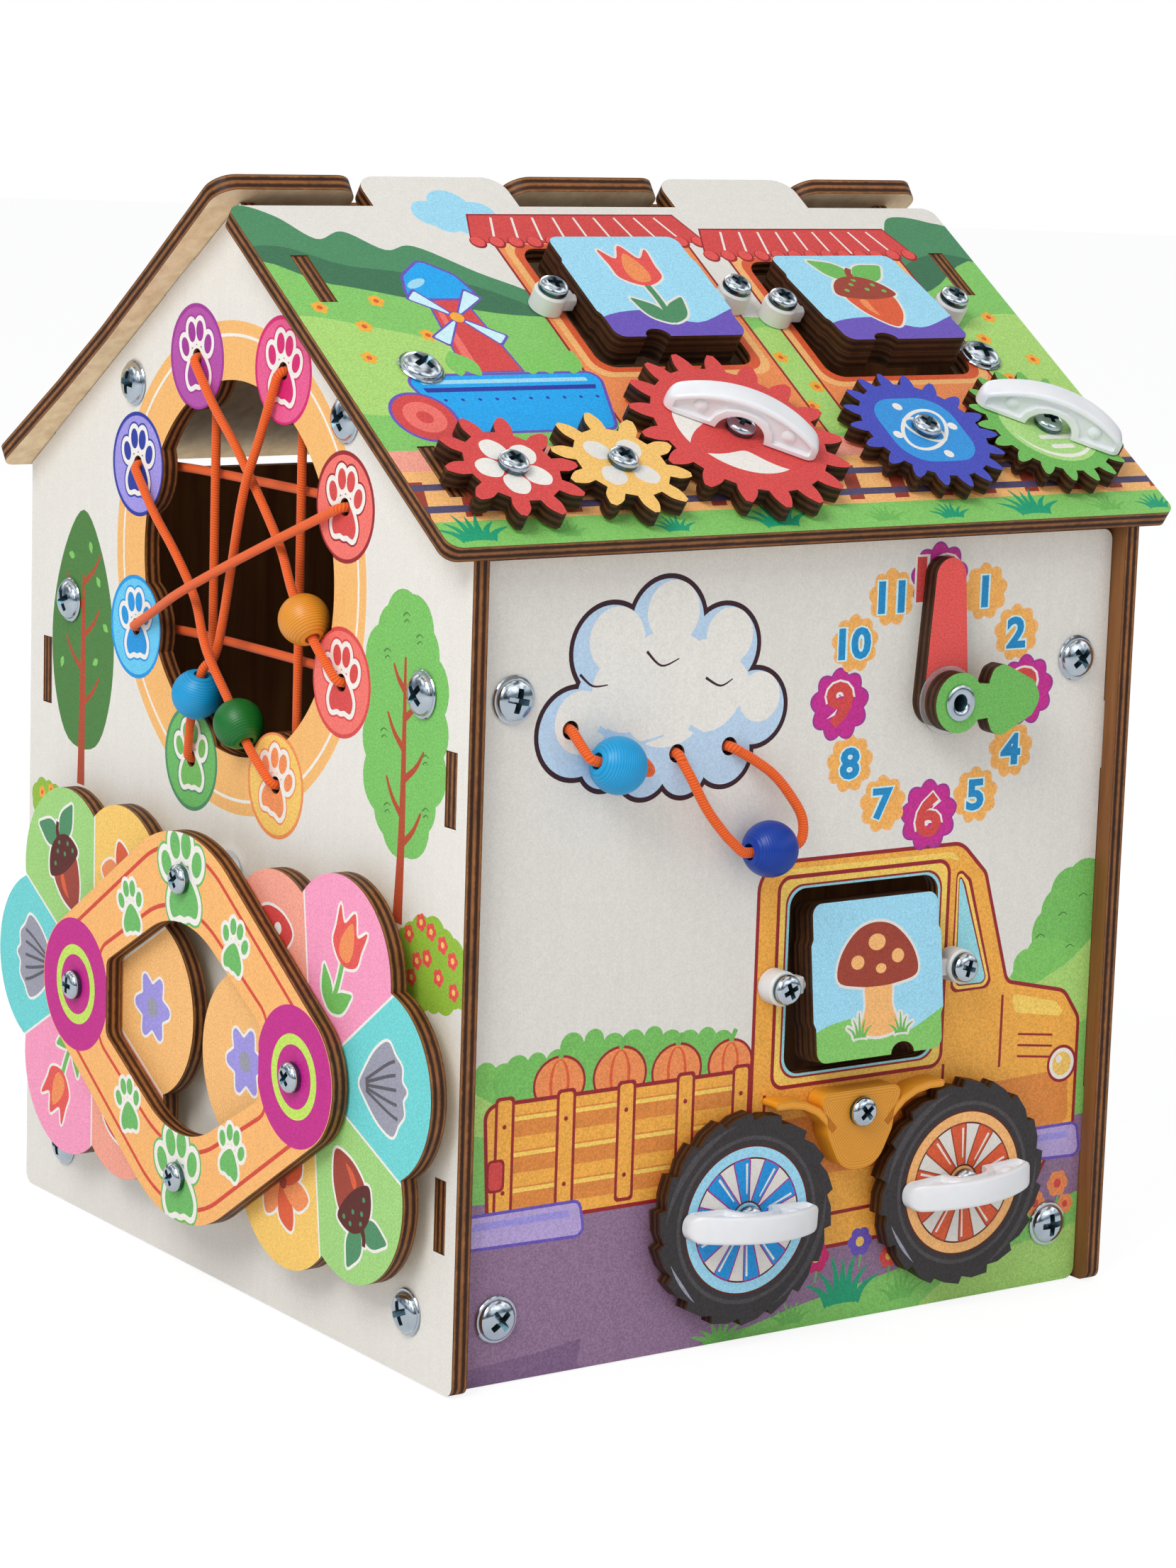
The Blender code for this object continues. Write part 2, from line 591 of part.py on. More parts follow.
def block_window(at):
    return rounded(rectangle(at, BLOCK_WINDOW, BLOCK_WINDOW), BLOCK_WINDOW_RADIUS)


def holder_holes(at):
    return [circle((at[0] + side * HOLDER_REACH, at[1]), PAN_HOLE) for side in (-1, 1)]


def build_walls():
    put("rear_wall", plate("rear_wall", wall_outline(), wall_bracket_holes(), -PLY, 0), WOOD, REAR)
    holes = wall_bracket_holes() + [block_window(WALL_BLOCK_AT)] + holder_holes(WALL_BLOCK_AT)
    holes += [circle(p, CLOUD_HOLE_RADIUS) for p in cloud_holes()]
    holes += [circle(p, PAN_HOLE) for p in (WHEEL_LEFT_AT, WHEEL_RIGHT_AT, PAWL_AT)]
    holes.append(circle(CLOCK_AT, RIVET_RADIUS + TOUCH_GAP))
    put("front_wall", plate("front_wall", wall_outline(), holes, -PLY, 0), CREAM, FRONT)


# Roof panels: the rear panel's fingers fill the notches of the front panel
def roof_bounds():
    inner = RIDGE_MIDDLE_NOTCH / 2
    return (-ROOF_LENGTH / 2, -inner - RIDGE_TAB_WIDTH, -inner, inner, inner + RIDGE_TAB_WIDTH, ROOF_LENGTH / 2)


def ridge_profile(front):
    marks = roof_bounds()
    points, radii = [], []
    line = ROOF_TAB_LINE if front else ROOF_TAB_LINE_REAR
    for k in range(4, -1, -1):
        tall = (k % 2 == 1) == front
        right, left = marks[k + 1], marks[k]
        if tall:
            right -= 0 if k == 4 else RIDGE_PLAY
            left += 0 if k == 0 else RIDGE_PLAY
            if k == 4:
                points += [(right, line), (left, line), (left, ROOF_NOTCH_LINE)]
                radii += [RIDGE_TAB_RADIUS, RIDGE_TAB_RADIUS, 0]
            elif k == 0:
                points += [(right, ROOF_NOTCH_LINE), (right, line), (left, line)]
                radii += [0, RIDGE_TAB_RADIUS, RIDGE_TAB_RADIUS]
            else:
                points += [(right, ROOF_NOTCH_LINE), (right, line), (left, line), (left, ROOF_NOTCH_LINE)]
                radii += [0, RIDGE_TAB_RADIUS, RIDGE_TAB_RADIUS, 0]
        elif k == 4:
            points.append((right, ROOF_NOTCH_LINE))
            radii.append(ROOF_CORNER_RADIUS)
        elif k == 0:
            points.append((left, ROOF_NOTCH_LINE))
            radii.append(ROOF_CORNER_RADIUS)
    return points, radii


def roof_outline(front):
    half = ROOF_LENGTH / 2
    top, radii = ridge_profile(front)
    waist = 0 if front else REAR_WAIST
    shares = (0.30, 0.52, 0.74)
    right = [(half - waist * math.sin(math.pi * s), s * ROOF_NOTCH_LINE) for s in shares] if waist else []
    left = [(-x, v) for x, v in reversed(right)]
    points = [(-half, 0), (half, 0), *right, *top, *left]
    rounding = [ROOF_CORNER_RADIUS] * 2 + [0] * len(right) + radii + [0] * len(left)
    return rounded(points, rounding)


def roof_slots():
    wide, tall = PLY + 2 * TOUCH_GAP, TAB_LENGTH + 2 * TOUCH_GAP
    return [rectangle((side * (HALF_WIDTH - PLY / 2), up), wide, tall)
            for side in (-1, 1) for up in ROOF_SLOTS_UP]


def roof_bracket_holes():
    reach = HALF_WIDTH - PLY - BRACKET_REACH
    return [circle((side * reach, ROOF_BRACKET_UP), TRUSS_HOLE) for side in (-1, 1)]


def gear_places():
    yellow = Vector(YELLOW_GEAR_AT)
    small = yellow - Vector((BIG_MODULE * SMALL_TEETH, 0))
    reach = BIG_MODULE * (SMALL_TEETH + BIG_TEETH) / 2
    big = yellow + reach * Vector((math.cos(YELLOW_TO_BIG_TURN), math.sin(YELLOW_TO_BIG_TURN)))
    blue = Vector(BLUE_GEAR_AT)
    green = blue + Vector((SMALL_MODULE * PAIR_TEETH, 0))
    return {"small_red": small, "yellow": yellow, "big_red": big, "blue": blue, "green": green}


def build_roof():
    holes = roof_slots() + roof_bracket_holes()
    put("roof_rear", plate("roof_rear", roof_outline(False), holes, -PLY, 0), WOOD, ROOF_REAR)
    for at in (ROOF_BLOCK_LEFT_AT, ROOF_BLOCK_RIGHT_AT):
        holes = holes + [block_window(at)] + holder_holes(at)
    holes += [circle(p, PAN_HOLE) for p in gear_places().values()]
    put("roof_front", plate("roof_front", roof_outline(True), holes, -PLY, 0), CREAM, ROOF_FRONT)


# Corner brackets: each is an angle with two screws and nuts
def bracket_mesh():
    low, high = TOUCH_GAP, TOUCH_GAP + BRACKET_STOCK
    half, leg = BRACKET_WIDTH / 2, BRACKET_LEG
    outline = [(low, low), (leg, low), (leg, high), (high, high), (high, leg), (low, leg)]
    depth = PLY + high + TRUSS_NUT_THICKNESS
    one = screw_mesh("screw", TRUSS_RADIUS, TRUSS_RISE, TRUSS_SHANK_RADIUS, TRUSS_NUT_RADIUS,
                     TRUSS_NUT_THICKNESS, depth)
    seat = PLY + TOUCH_GAP
    to_x = Matrix.Translation((-seat, BRACKET_REACH, 0)) @ Matrix.Rotation(-math.pi / 2, 4, "Y")
    to_y = Matrix.Translation((BRACKET_REACH, -seat, 0)) @ Matrix.Rotation(math.pi / 2, 4, "X")
    return joined("bracket", [plate("strip", outline, [], -half, half), turned(one, to_x), turned(one, to_y)])


def place_bracket(name, mesh, corner, in_a, in_b):
    a, b = Vector(in_a), Vector(in_b)
    frame = Matrix.Translation(Vector(corner)) @ Matrix((a, b, a.cross(b))).transposed().to_4x4()
    put(name, mesh.copy(), STEEL, frame)


def build_brackets():
    mesh = bracket_mesh()
    x = HALF_WIDTH - PLY
    for side, side_name in ((-1, "left"), (1, "right")):
        for face, face_name, frame in ((-1, "front", ROOF_FRONT), (1, "rear", ROOF_REAR)):
            y = (FRONT_FACE if face < 0 else REAR_FACE) - PLY
            for height, level in zip(BRACKET_HEIGHTS, ("lower", "upper")):
                name = "bracket_%s_%s_%s" % (face_name, side_name, level)
                place_bracket(name, mesh, (side * x, face * y, height), (-side, 0, 0), (0, -face, 0))
            across = side * x if face < 0 else -side * x
            corner = frame @ Vector((across, ROOF_BRACKET_UP, -PLY))
            inward = -(frame.to_3x3() @ Vector((0, 0, 1)))
            place_bracket("bracket_roof_%s_%s" % (face_name, side_name), mesh, corner, (-side, 0, 0), inward)


# Petal discs, diamond frame and posts on the left gable
def petal_outline():
    points = []
    half = math.pi / PETAL_COUNT
    chord = PETAL_NOTCH_RADIUS * math.sin(half)
    base = PETAL_NOTCH_RADIUS * math.cos(half)
    rise = PETAL_RADIUS - base
    radius = (chord ** 2 + rise ** 2) / (2 * rise)
    centre = PETAL_RADIUS - radius
    reach = math.atan2(chord, base - centre)
    for k in range(PETAL_COUNT):
        turn = 2 * half * k
        for i in range(7):
            a = -reach + 2 * reach * i / 7
            x, y = centre + radius * math.cos(a), radius * math.sin(a)
            points.append((x * math.cos(turn) - y * math.sin(turn), x * math.sin(turn) + y * math.cos(turn)))
    return points


def spun(points, turn):
    c, s = math.cos(turn), math.sin(turn)
    return [(x * c - y * s, x * s + y * c) for x, y in points]


def frame_window():
    peak = FRAME_WINDOW_HALF_SIDE + FRAME_WINDOW_FLAT * math.tan(FRAME_WINDOW_SLOPE)
    points = [(FRAME_WINDOW_FLAT, -FRAME_WINDOW_HALF_SIDE), (FRAME_WINDOW_FLAT, FRAME_WINDOW_HALF_SIDE),
              (0, peak), (-FRAME_WINDOW_FLAT, FRAME_WINDOW_HALF_SIDE),
              (-FRAME_WINDOW_FLAT, -FRAME_WINDOW_HALF_SIDE), (0, -peak)]
    small, wide = FRAME_SIDE_RADIUS, FRAME_WINDOW_RADIUS
    return rounded(points, [small, small, wide, small, small, wide], 2 * CORNER_STEPS)


def build_petals():
    for side, name, phase in ((-1, "left", 60.6), (1, "right", 68.2)):
        outline = spun(petal_outline(), math.radians(phase))
        hole = circle((0, 0), PAN_SHANK_RADIUS + RUN_GAP)
        disc = plate("disc", outline, [hole], 0, PLY)
        at = (GABLE_SHIFT + side * PETAL_PIVOT_REACH, PETAL_HEIGHT, PETAL_LIFT)
        put("petal_disc_" + name, disc, TEAL, LEFT, at)
        seat = FRAME_LIFT + PLY + TOUCH_GAP
        collars = ((TOUCH_GAP - seat, PETAL_LIFT - TOUCH_GAP - seat, PAN_RADIUS),
                   (PETAL_LIFT + PLY + TOUCH_GAP - seat, FRAME_LIFT - TOUCH_GAP - seat, PAN_RADIUS))
        screw = pan_screw("screw", seat + BEHIND, collars)
        put("petal_pivot_" + name, screw, STEEL, LEFT, (at[0], at[1], seat))
    ends = [((side * PETAL_PIVOT_REACH, 0), FRAME_END_RADIUS) for side in (-1, 1)]
    ends += [((0, side * FRAME_PEAK_REACH), FRAME_PEAK_RADIUS) for side in (-1, 1)]
    holes = [frame_window()]
    holes += [circle((side * PETAL_PIVOT_REACH, 0), PAN_HOLE) for side in (-1, 1)]
    holes += [circle((0, side * FRAME_POST_REACH), PAN_HOLE) for side in (-1, 1)]
    frame = plate("diamond_frame", hull(ends, 2 * FINE_STEPS), holes, 0, PLY)
    put("diamond_frame", frame, ORANGE, LEFT, (GABLE_SHIFT, PETAL_HEIGHT, FRAME_LIFT))
    for side, name in ((1, "upper"), (-1, "lower")):
        seat = FRAME_LIFT + PLY + TOUCH_GAP
        collars = ((TOUCH_GAP - seat, FRAME_LIFT - TOUCH_GAP - seat, POST_RADIUS),)
        screw = pan_screw("screw", seat + BEHIND, collars)
        at = (GABLE_SHIFT, PETAL_HEIGHT + side * FRAME_POST_REACH, seat)
        put("frame_post_" + name, screw, STEEL, LEFT, at)


# Gears with involute teeth
def gear_outline(teeth, module, phase):
    pitch = module * teeth / 2
    base = pitch * math.cos(GEAR_PRESSURE)
    tip = pitch + GEAR_ADDENDUM_SHARE * module
    root = pitch - GEAR_DEDENDUM_SHARE * module
    half = (math.pi * module / 2 - GEAR_BACKLASH) / (2 * pitch)
    offset = math.tan(GEAR_PRESSURE) - GEAR_PRESSURE

    def flank(radius):
        if radius <= base:
            return half + offset
        roll = math.acos(base / radius)
        return half + offset - (math.tan(roll) - roll)

    low = max(base, root)
    middle_radius = (low + tip) / 2
    side = [(root, flank(low) + GEAR_ROOT_SHARE * module / root), (middle_radius, flank(middle_radius)),
            (tip, flank(tip))]
    points = []
    for k in range(teeth):
        middle = phase + 2 * math.pi * k / teeth
        points += [(r * math.cos(middle - a), r * math.sin(middle - a)) for r, a in side]
        points += [(r * math.cos(middle + a), r * math.sin(middle + a)) for r, a in reversed(side)]
    return points


def mesh_phase(first_teeth, first_phase, second_teeth, toward):
    return toward + math.pi + (math.pi - first_teeth * (first_phase - toward)) / second_teeth


def handle_mesh(name):
    half = HANDLE_LENGTH / 2
    base = TOUCH_GAP
    rise = HANDLE_RISE - HANDLE_END_RISE
    radius = (half ** 2 + rise ** 2) / (2 * rise)
    reach = math.asin(half / radius)
    outer = [(radius * math.sin(a), HANDLE_RISE - radius + radius * math.cos(a))
             for a in [reach - 2 * reach * i / 12 for i in range(13)]]
    arch = [(-HANDLE_ARCH_RADIUS * math.cos(math.pi * i / 10),
             base + HANDLE_ARCH_RISE * math.sin(math.pi * i / 10))
            for i in range(11)]
    outline = [*arch, (half * 0.97, base), *outer, (-half * 0.97, base)]
    mesh = plate(name, outline, [], -HANDLE_WIDTH / 2, HANDLE_WIDTH / 2)
    mesh.transform(Matrix.Rotation(math.pi / 2, 4, "X"))
    return mesh


def build_gears():
    places = gear_places()
    toward_small = math.pi
    yellow_phase = mesh_phase(BIG_TEETH, BIG_GEAR_PHASE, SMALL_TEETH, YELLOW_TO_BIG_TURN + math.pi)
    small_phase = mesh_phase(SMALL_TEETH, yellow_phase, SMALL_TEETH, toward_small)
    green_phase = mesh_phase(PAIR_TEETH, BLUE_GEAR_PHASE, PAIR_TEETH, 0)
    kinds = (("small_red", SMALL_TEETH, BIG_MODULE, small_phase, RED, False),
             ("yellow", SMALL_TEETH, BIG_MODULE, yellow_phase, YELLOW, False),
             ("big_red", BIG_TEETH, BIG_MODULE, BIG_GEAR_PHASE, RED, True),
             ("blue", PAIR_TEETH, SMALL_MODULE, BLUE_GEAR_PHASE, BLUE, False),
             ("green", PAIR_TEETH, SMALL_MODULE, green_phase, GREEN, True))
    for name, teeth, module, phase, colour, handled in kinds:
        x, y = places[name]
        seat = GEAR_LIFT + PLY + TOUCH_GAP
        collars = ((TOUCH_GAP - seat, GEAR_LIFT - TOUCH_GAP - seat, PAN_RADIUS),)
        if handled:
            wheel = plate("gear", gear_outline(teeth, module, phase), [], 0, PLY)
            wheel = wheel_with_screw("gear", wheel, GEAR_LIFT)
            put("gear_" + name, wheel, colour, ROOF_FRONT, (x, y, GEAR_LIFT))
            grip = handle_mesh("handle")
            grip.transform(Matrix.Rotation(GEAR_HANDLE_TURN, 4, "Z"))
            put("gear_handle_" + name, grip, WHITE, ROOF_FRONT, (x, y, GEAR_LIFT + PLY))
        else:
            hole = circle((0, 0), PAN_SHANK_RADIUS + RUN_GAP)
            wheel = plate("gear", gear_outline(teeth, module, phase), [hole], 0, PLY)
            put("gear_" + name, wheel, colour, ROOF_FRONT, (x, y, GEAR_LIFT))
            screw = pan_screw("screw", seat + BEHIND, collars)
            put("gear_screw_" + name, screw, STEEL, ROOF_FRONT, (x, y, seat))


# Turning blocks and their holders
def block_outline(notch_share):
    half, waist = BLOCK_SIZE / 2, BLOCK_SIZE / 2 + BLOCK_BULGE
    quarter, step = BLOCK_SIZE * 0.24, BLOCK_SIZE * 0.28
    right = [(half, -half), (half, -step), (waist, -quarter), (waist, quarter), (half, step), (half, half)]
    left = [(-x, y) for x, y in reversed(right)]
    radii = [BLOCK_CORNER_RADIUS, 0, 0, 0, 0, BLOCK_CORNER_RADIUS]
    outline = rounded(right + left, radii + radii)
    radius = BLOCK_NOTCH_RADIUS
    centre = notch_share * BLOCK_SIZE
    turns = [math.pi * i / 6 for i in range(7)]
    notch = [(centre - radius * math.cos(a), -half + 0.8 * radius * math.sin(a)) for a in turns]
    return outline + notch


def block_mesh(name, lean, notch_share):
    mesh = plate(name, block_outline(notch_share), [], -BLOCK_THICKNESS / 2, BLOCK_THICKNESS / 2)
    bore = HOLDER_PEG_RADIUS + RUN_GAP
    for side in (-1, 1):
        start = side * (BLOCK_SIZE / 2 + 2 * BLOCK_BULGE)
        end = side * (BLOCK_SIZE / 2 + BLOCK_BULGE - HOLDER_PEG_DEPTH - RUN_GAP)
        pin = lathe("bore", [(0, start), (bore, start), (bore, end), (0, end)], HOLE_STEPS)
        pin.transform(Matrix.Rotation(math.pi / 2, 4, "Y"))
        mesh = joined(name, [mesh, pin], "DIFFERENCE")
    mesh.transform(Matrix.Rotation(lean, 4, "X"))
    return mesh


def holder_mesh(name, side):
    lug = lathe("lug", [(0, TOUCH_GAP), (HOLDER_RADIUS, TOUCH_GAP), (HOLDER_RADIUS, HOLDER_RISE * 0.9),
                        (HOLDER_RADIUS * 0.93, HOLDER_RISE), (0, HOLDER_RISE)], ROUND_STEPS)
    face = BLOCK_SIZE / 2 + BLOCK_BULGE + RUN_GAP
    arm_end = HOLDER_REACH - face
    low = BLOCK_AXIS_LIFT - HOLDER_ARM_RISE / 2
    arm = box("arm", (0, -HOLDER_ARM_WIDTH / 2, low), (arm_end, HOLDER_ARM_WIDTH / 2, low + HOLDER_ARM_RISE))
    peg_end = arm_end + RUN_GAP + HOLDER_PEG_DEPTH
    peg_line = [(0, 0), (HOLDER_PEG_RADIUS, 0), (HOLDER_PEG_RADIUS, peg_end), (0, peg_end)]
    peg = lathe("peg", peg_line, HOLE_STEPS)
    peg.transform(Matrix.Translation((0, 0, BLOCK_AXIS_LIFT)) @ Matrix.Rotation(math.pi / 2, 4, "Y"))
    screw = pan_screw("screw", HOLDER_RISE + BEHIND)
    screw.transform(Matrix.Translation((0, 0, HOLDER_RISE - TOUCH_GAP)))
    mesh = joined(name, [lug, arm, peg, screw])
    if side > 0:
        mesh.transform(Matrix.Rotation(math.pi, 4, "Z"))
    return mesh


def build_blocks():
    kinds = (("roof_left", ROOF_BLOCK_LEFT_AT, 0.0, ROOF_FRONT),
             ("roof_right", ROOF_BLOCK_RIGHT_AT, ROOF_BLOCK_RIGHT_LEAN, ROOF_FRONT),
             ("wall", WALL_BLOCK_AT, WALL_BLOCK_LEAN, FRONT))
    for (name, at, lean, frame), notch_share in zip(kinds, BLOCK_NOTCH_SHARES):
        mesh = block_mesh("block", lean, notch_share)
        put("block_" + name, mesh, TEAL, frame, (at[0], at[1], BLOCK_AXIS_LIFT))
        for side, side_name in ((-1, "left"), (1, "right")):
            mesh = holder_mesh("holder", side)
            put("holder_%s_%s" % (name, side_name), mesh, WHITE, frame, (at[0] + side * HOLDER_REACH, at[1], 0))


# Toothed wheels with handles, and the pawl between them
def wheel_outline(hand):
    points = []
    root = WHEEL_RADIUS - WHEEL_TOOTH_DEPTH
    for k in range(WHEEL_TEETH):
        start = 2 * math.pi * k / WHEEL_TEETH
        pitch = 2 * math.pi / WHEEL_TEETH
        shape = ((0.04, root), (0.40, root + 0.62 * WHEEL_TOOTH_DEPTH), (0.94, WHEEL_RADIUS))
        for share, radius in shape:
            a = -hand * (start + share * pitch)
            points.append((radius * math.cos(a), radius * math.sin(a)))
    return points[::-1] if hand > 0 else points


def build_wheels():
    for at, name, hand, turn in ((WHEEL_LEFT_AT, "left", 1, -3.0), (WHEEL_RIGHT_AT, "right", -1, 3.0)):
        wheel = plate("wheel", spun(wheel_outline(hand), hand * WHEEL_PHASE), [], 0, PLY)
        wheel = wheel_with_screw("wheel", wheel, WHEEL_LIFT)
        put("wheel_" + name, wheel, TYRE, FRONT, (at[0], at[1], WHEEL_LIFT))
        grip = handle_mesh("handle")
        grip.transform(Matrix.Rotation(math.radians(turn), 4, "Z"))
        put("wheel_handle_" + name, grip, WHITE, FRONT, (at[0], at[1], WHEEL_LIFT + PLY))


def pawl_arm(side):
    path = [Vector((side * x * PAWL_REACH, y * PAWL_REACH)) for x, y in PAWL_ARM_SHARES]
    upper, lower = [], []
    for k, p in enumerate(path):
        ahead = path[min(k + 1, len(path) - 1)] - path[max(k - 1, 0)]
        normal = Vector((-ahead.y, ahead.x)).normalized() * (PAWL_ARM_THICKNESS / 2)
        upper.append(tuple(p + normal))
        lower.append(tuple(p - normal))
    radii = [0] * len(path)
    radii[-1] = PAWL_ARM_THICKNESS * 0.45
    return rounded(upper + lower[::-1], radii + radii[::-1])


def build_pawl():
    body = [(x * PAWL_REACH, y * PAWL_REACH) for x, y in PAWL_BODY_SHARES]
    small = PAWL_CORNER_RADIUS
    outline = rounded(body, [small, small, small / 2, small, PAWL_CHIN_RADIUS, small, small / 2])
    meshes = [plate("pawl", outline, [], TOUCH_GAP, TOUCH_GAP + PAWL_THICKNESS)]
    meshes += [plate("arm", pawl_arm(side), [], TOUCH_GAP, TOUCH_GAP + PAWL_THICKNESS) for side in (-1, 1)]
    screw = pan_screw("screw", PAWL_THICKNESS + BEHIND)
    screw.transform(Matrix.Translation((0, 0, PAWL_THICKNESS)))
    meshes.append(screw)
    put("ratchet_pawl", joined("ratchet_pawl", meshes), PAWL_COLOUR, FRONT, (*PAWL_AT, 0))


# Clock hands, washer and hollow rivet
def hub_hole():
    return circle((0, 0), RIVET_RADIUS + TOUCH_GAP, HOLE_STEPS)


def build_clock():
    minute = hull([((0, 0), HAND_HUB_RADIUS * 0.94), ((0, MINUTE_LENGTH), MINUTE_TIP_RADIUS)])
    low = TOUCH_GAP
    put("minute_hand", plate("hand", minute, [hub_hole()], 0, PLY), RED, FRONT, (*CLOCK_AT, low))
    low += PLY + TOUCH_GAP
    rim = circle((0, 0), CLOCK_WASHER_RADIUS, FINE_STEPS)
    washer = plate("washer", rim, [hub_hole()], 0, CLOCK_WASHER_THICKNESS)
    put("clock_washer", washer, CLEAR, FRONT, (*CLOCK_AT, low))
    low += CLOCK_WASHER_THICKNESS + TOUCH_GAP
    head = [(x * HOUR_LENGTH, y * HOUR_LENGTH) for x, y in HOUR_HEAD_SHARES]
    head = rounded(head, [HOUR_HEAD_RADIUS] * 5 + [HOUR_HEAD_RADIUS * 1.5] + [HOUR_HEAD_RADIUS] * 5, 3)
    meet = math.atan2(head[0][1], head[0][0] * 0.62)
    hub = [(HAND_HUB_RADIUS * math.cos(a), HAND_HUB_RADIUS * math.sin(a))
           for a in [-meet - (2 * math.pi - 2 * meet) * i / 24 for i in range(25)]]
    hour = plate("hand", head[::-1] + hub[::-1], [hub_hole()], 0, PLY)
    put("hour_hand", hour, GREEN, FRONT, (*CLOCK_AT, low))
    top = low + PLY + TOUCH_GAP
    bottom = -PLY - TOUCH_GAP
    thick = RIVET_FLANGE_THICKNESS
    profile = [(RIVET_BORE, bottom - thick), (RIVET_FLANGE_RADIUS, bottom - thick),
               (RIVET_FLANGE_RADIUS, bottom),
               (RIVET_RADIUS, bottom), (RIVET_RADIUS, top), (RIVET_FLANGE_RADIUS, top),
               (RIVET_FLANGE_RADIUS * 0.9, top + thick), (RIVET_BORE, top + thick)]
    put("clock_rivet", lathe("rivet", profile, ROUND_STEPS), STEEL, FRONT, (*CLOCK_AT, 0))


# Beads and cords
def bead_mesh(radius, bore, direction):
    reach = radius * BEAD_FLAT_SHARE
    start = math.acos(BEAD_FLAT_SHARE)
    profile = [(bore, -reach)]
    for i in range(6):
        a = start + (math.pi - 2 * start) * i / 5
        profile.append((radius * math.sin(a), -radius * math.cos(a)))
    profile.append((bore, reach))
    mesh = lathe("bead", profile, ROUND_STEPS)
    turn = Vector((0, 0, 1)).rotation_difference(Vector(direction)).to_matrix().to_4x4()
    mesh.transform(turn)
    return mesh


# Points read from a smooth curve through the points of a route
def smooth(route, spacing):
    points = [Vector(p) for p in route]
    out = []
    for k in range(len(points) - 1):
        before = points[max(k - 1, 0)]
        start, end = points[k], points[k + 1]
        after = points[min(k + 2, len(points) - 1)]
        length = (end - start).length
        lead = (end - before).normalized() * length / 3
        trail = (after - start).normalized() * length / 3
        steps = max(1, round(length / spacing))
        for i in range(steps):
            t = i / steps
            out.append(start * (1 - t) ** 3 + (start + lead) * 3 * t * (1 - t) ** 2
                       + (end - trail) * 3 * t ** 2 * (1 - t) + end * t ** 3)
    return out + [points[-1]]


# Smallest distance between two stretches of a cord that are not neighbours, less its diameter
def least_gap(points, diameter, cyclic):
    marks = []
    count = len(points)
    for k in range(count if cyclic else count - 1):
        a, b = Vector(points[k]), Vector(points[(k + 1) % count])
        pieces = max(1, int((b - a).length / (diameter / 4)))
        marks += [a.lerp(b, i / pieces) for i in range(pieces)]
    along = [0.0]
    for a, b in zip(marks, marks[1:]):
        along.append(along[-1] + (b - a).length)
    best = along[-1]
    for i, a in enumerate(marks):
        for j in range(i + 1, len(marks)):
            apart = along[j] - along[i]
            if cyclic:
                apart = min(apart, along[-1] - apart)
            if apart > 4 * diameter:
                best = min(best, (marks[j] - a).length)
    return best - diameter


# Cord leaving a hole and bending over its edge
def exit_bend(hole, toward, lift, sign=1, base=0.0):
    direction = (Vector(toward) - Vector(hole)).normalized()
    points = []
    for i in range(CORD_STEPS + 1):
        a = (math.pi / 2) * i / CORD_STEPS
        out = CORD_BEND_RADIUS * (1 - math.cos(a))
        up = lift - CORD_BEND_RADIUS * (1 - math.sin(a))
        p = Vector(hole) + direction * out
        points.append((p.x, p.y, base + sign * up))
    return points


def lace_strands():
    holes = lace_holes()
    low = LACE_RADIUS + TOUCH_GAP
    step = 2 * LACE_RADIUS + STRAND_GAP
    short = 2 * LACE_PITCH_RADIUS * math.sin(math.radians(67.5))
    long = 2 * LACE_PITCH_RADIUS

    def run(k, length):
        reach = LACE_BEAD_RADIUS * BEAD_RUN_SHARE
        return [(1 - (LACE_BEAD_BACKS[k] + side * reach) / length, LACE_BEAD_LIFTS[k]) for side in (1, -1)]

    sunk, raised, top = low - LACE_RADIUS, low - LACE_RADIUS + step, low + 1.25 * step
    first = (0, 3, [(0.15, low), (0.293, sunk), (0.586, sunk), *run(0, short)])
    second = (1, 5, [(0.16, low + step / 4), (0.293, raised), (0.5, low), (0.64, sunk), (0.725, sunk),
                     *run(1, long)])
    third = (7, 4, [(0.15, low), (0.29, sunk), (0.43, sunk), (0.584, raised), *run(2, short)])
    fourth = (2, 6, [(0.14, low + step / 3), (0.293, raised + step / 4), (0.5, top), (0.707, top),
                     (0.86, low + step / 2)])
    return holes, first, second, third, fourth


# The lace runs P1 P4 (back) P7 P3 (back) P8 P5 (back) P2 P6 (back) P1, holes counted clockwise from the rear
def lace_path():
    holes, first, second, third, fourth = lace_strands()
    low = LACE_RADIUS + TOUCH_GAP
    behind = LACE_RADIUS + TOUCH_GAP
    deeper = behind + 2 * LACE_RADIUS + STRAND_GAP
    fourth_back = (fourth[1], fourth[0], [(1 - s, h) for s, h in reversed(fourth[2])])
    order = [first, fourth_back, third, second]
    points = []
    for k, (start, end, middle) in enumerate(order):
        a, b = Vector(holes[start]), Vector(holes[end])
        points += exit_bend(a, b, low)
        points += [(*(a + (b - a) * share), lift) for share, lift in middle]
        points += exit_bend(b, a, low)[::-1]
        c = Vector(holes[order[(k + 1) % 4][0]])
        level = k < 2
        depth = deeper if level else behind
        points += exit_bend(b, c, behind, -1, -PLY)
        if level:
            points += [(*(b + (c - b) * s), -PLY - depth) for s in (0.18, 0.82)]
        points += exit_bend(c, b, behind, -1, -PLY)[::-1]
    return points


